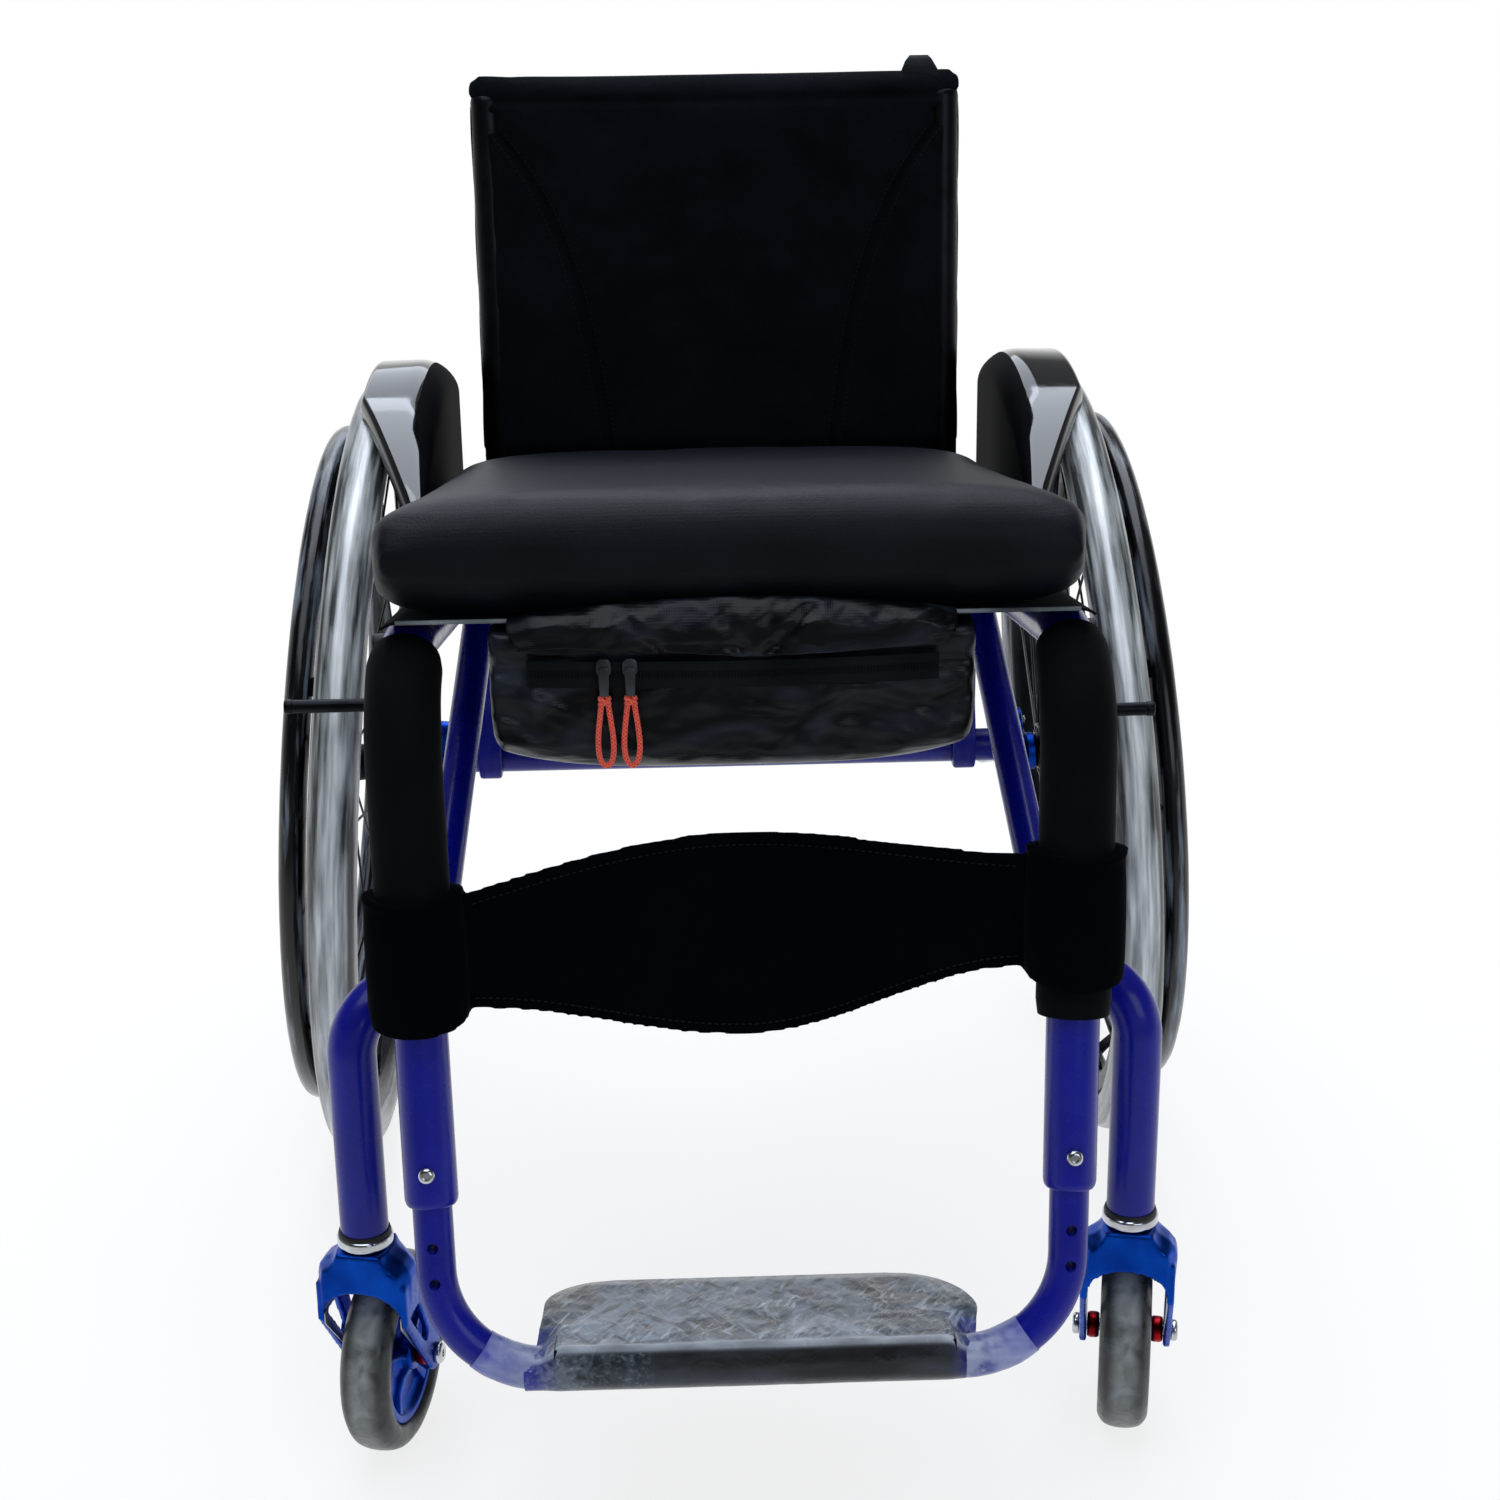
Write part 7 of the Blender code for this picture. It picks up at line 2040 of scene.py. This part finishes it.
def pouch_wrinkle(p):
    """Creases that run slantwise from the pouch's corners and lie flatter near the zip."""
    if p.y > POUCH_FACE + 30:
        return p
    zip_z = ZIP_Z - zip_drop(p.x)
    free = 1 - 0.92 * math.exp(-((p.z - zip_z) / 9.0) ** 2)
    ends = 0.45 + 0.75 * (abs(p.x - POUCH_SHIFT) / POUCH_HALF) ** 1.5
    slant = Vector((p.x * 0.8 + p.z * 0.6, 0, p.z * 1.3 - p.x * 0.3))
    depth = (crumple(slant, 56.0, 7.0, 1.5) + crumple((p.x, 0, p.z * 2), 30.0, 1.2, 6.0)) * free * ends
    return Vector((p.x, min(max(p.y + 2.2 - depth, POUCH_FACE - 2.4), p.y + 7.0), p.z + 0.4 * depth))


points = [pouch_wrinkle(Vector(p)) for p in points]
pouch_body = put(mesh_of("pouch_body", (points, faces), nylon, 70), "pouch_body")
finer(pouch_body, 70)
dress(pouch_body, "frame", "pouch")
print("pouch:", len(pouch_body.data.polygons), "faces")

# %% [markdown]
# The flap starts behind the hem, comes forward over it in its first part and then hangs down
# the pouch's face, with three sharp folds that grow towards its free edge.

# %% Pouch flap
OVER_HEM = 0.16
# where each fold starts across the flap, and how it leans
FLAP_FOLDS = [(-0.52, 0.16), (0.42, -0.3), (-0.05, 0.1)]
flap_points = []
rows, columns = 26, 110
for i in range(rows + 1):
    v = i / rows
    for j in range(columns + 1):
        u = 2 * j / columns - 1
        x = POUCH_SHIFT + u * (FLAP_HALF + 3 * math.sin(5 * v))
        peak = HEM_Z + 4.0 + 9.0 * (1 - u * u)
        drop = HEM_Z - 17.0 - 3.0 * math.sin(3.1 * u + 1)
        if v < OVER_HEM:
            t = v / OVER_HEM
            y = -487.0 - 5.0 * t
            z = peak - 3.0 + 3.0 * math.sin(t * math.pi / 2)
        else:
            t = (v - OVER_HEM) / (1 - OVER_HEM)
            y = -492.0 - 11.5 * math.sin(min(1.0, t * 1.25) * math.pi * 0.62)
            z = peak + (drop - peak) * t
        fold = (crumple((x + z * 0.6, 0, z * 1.1), 62.0, 3.4, 7.5)
                + 1.6 * crumple((x - z, 0, z), 21.0, 1.0, 2.5))
        for spot, lean in FLAP_FOLDS:
            fold -= 4.5 * t * math.exp(-((u - spot - lean * t) / 0.045) ** 2) if v > OVER_HEM else 0.0
        edge = min(1.0, (1 - abs(u)) * 9) * min(1.0, v * 4)
        y = min(max(y - edge * fold, POUCH_FACE - 5.5), -491.0)
        flap_points.append(Vector((x, y, z + 0.5 * edge * fold)))
flap = put(mesh_of("pouch_flap", (flap_points, grid_faces(rows, columns)), nylon, 70), "pouch_flap")
modify(flap, "SOLIDIFY", thickness=0.7 * MM)
finer(flap, 70)
dress(flap, "frame")
print("flap:", len(flap.data.polygons), "faces")

# %% [markdown]
# A coil zip is a row of small teeth on a tape. A tooth is repeated about every 2 mm, and the
# sliders sit on the row where the pulls hang.

# %% Zip, sliders and cord pulls
TAPE_HALF, TAPE_THICK, ROW_HALF, TOOTH_PITCH = 8.0, 1.4, 116, 1.9
section = rounded([(0.0, -TAPE_HALF), (0.0, TAPE_HALF), (TAPE_THICK, TAPE_HALF), (TAPE_THICK, -TAPE_HALF)],
                  0.6, 2)
tape = [[(x, POUCH_FACE - 0.4 + y, ZIP_Z + z - zip_drop(x)) for y, z in section]
        for x in np.linspace(POUCH_SHIFT - ZIP_HALF, POUCH_SHIFT + ZIP_HALF, 60)]
piece("zip_tape", loft(tape), coil, "frame", smooth=50)
tooth = item_object("zip_tooth", swept([(0, -1.9, 0), (0, -1.2, 0), (0, 1.2, 0), (0, 1.9, 0)],
                                       [0.4, 0.6, 0.6, 0.4], 6), coil)
tooth_line = [(x, POUCH_FACE - 0.8, ZIP_Z - zip_drop(x))
              for x in np.linspace(POUCH_SHIFT - ROW_HALF, POUCH_SHIFT + ROW_HALF, 120)]
zip_row = along_line("zip_row", [tooth_line], tooth, TOOTH_PITCH, coil, up=(0, -1, 0))
teeth = merged("zip_teeth", coil, zip_row, smooth=60)
dress(teeth, "frame")

SLIDER_X = {"a": -78.0, "b": -63.0}
SLIDER_Z, SLIDER_FACE, CORD_RADIUS, CORD_SIDES, LOOP_HANGS = 510.0, -500.6, 1.65, 16, 42.0
for letter, x in SLIDER_X.items():
    outline = rounded([(-3.6, 12), (3.6, 12), (4.5, 15), (4.5, 19.5), (2.5, 22), (-2.5, 22), (-4.5, 19.5),
                       (-4.5, 15)], 1.2, 4)
    shell = plate([(x + u, SLIDER_Z + v) for u, v in outline], SLIDER_FACE - 3.4, SLIDER_FACE - 0.1, "Y", 0.9)
    tab = rounded([(-2.6, 0), (2.6, 0), (3.3, 15), (2.4, 17), (-2.4, 17), (-3.3, 15)], 1.0, 4)
    tab = plate([(x + u, SLIDER_Z + v) for u, v in tab], SLIDER_FACE - 4.9, SLIDER_FACE - 3.2, "Y", 0.5)
    piece(f"zip_puller_{letter}", joined(shell, tab), gunmetal, f"zip_slider_{letter}",
          f"zip_slider_{letter}")


def pull_line(letter):
    """The cord loop's line: a teardrop that hangs as far down as its CAD cord and starts where it starts."""
    x, y, top = SLIDER_X[letter], SLIDER_FACE - 2.5, SLIDER_Z - 0.3
    line = []
    for k in range(49):
        turn = math.pi * k / 48
        drop = (1 + math.cos(math.pi * (k / 24 - 1))) / 2
        spread_x = 1.7 + 11.0 * math.sin(turn) ** 3
        line.append(Vector((x - spread_x * math.cos(turn), y, top - LOOP_HANGS * drop)))
    return line


KNOT_STEPS, KNOT_SIDES, KNOT_CORD, KNOT_STEP_M = 36, 12, 1.5, 0.0007
for letter in SLIDER_X:
    line = pull_line(letter)
    shape = swept(line, CORD_RADIUS, CORD_SIDES)
    long, run = 0.0, []
    for i, p in enumerate(line):
        long += (p - line[i - 1]).length if i else 0.0
        run += [(math.cos(2 * math.pi * k / CORD_SIDES), math.sin(2 * math.pi * k / CORD_SIDES), long * MM)
                for k in range(CORD_SIDES)]
    made = piece(f"cord_loop_{letter}", shape, cord_braid, f"zip_slider_{letter}", f"zip_pull_{letter}",
                 smooth=60, attributes={"braid": run})
    tuple(row(line[0]))
    [tuple(row(p)) for p in line]
    knot_at = Vector((SLIDER_X[letter], SLIDER_FACE - 2.6, SLIDER_Z - 3.4))
    turns = [knot_at + Vector((2.5 * math.cos(a), 1.9 * math.sin(a), 2.1 * math.sin(a * 0.5 + 0.7)))
             for a in [math.pi * k / 10 for k in range(KNOT_STEPS)]]
    marks = [(math.cos(2 * math.pi * k / KNOT_SIDES), math.sin(2 * math.pi * k / KNOT_SIDES), i * KNOT_STEP_M)
             for i in range(KNOT_STEPS) for k in range(KNOT_SIDES)]
    piece(f"cord_knot_{letter}", swept(turns, KNOT_CORD, KNOT_SIDES), cord_braid, f"zip_slider_{letter}",
          smooth=60, attributes={"braid": marks})
    print("cord loop", letter, round(long, 1), "mm")

# %% [markdown]
# ## The CAD parts left
# The CAD nodes that no piece stands for stay shown, and each takes the finish that its slot
# names. The visual model has to stay in the CAD model's box, apart from a little cloth. The
# pieces and their faces are then counted.

# %% Finish
still_cad = [n for n, o in frame["nodes"].items() if not o.hide_render]
looks = {
    "gloss_blue_paint": blue_coat, "blue_anodised": blue_anodised, "polished_steel": steel,
    "black_alloy": black_anodised,
    "gloss_black": guard_plastic, "grey_tyre": caster_rubber, "black_fabric": knit, "black_foam": foam,
    "coated_nylon": nylon, "orange_cord": cord_braid}
slots = {part["node"]: part["material_slot"] for part in frame["record"]["subparts"]}
for name in still_cad:
    for slot in frame["nodes"][name].material_slots:
        slot.material = looks[slots[name]]
print("CAD nodes still shown:", still_cad)
print("pieces:", len(PIECES), "faces:", sum(len(o.data.polygons) for o in PIECES))
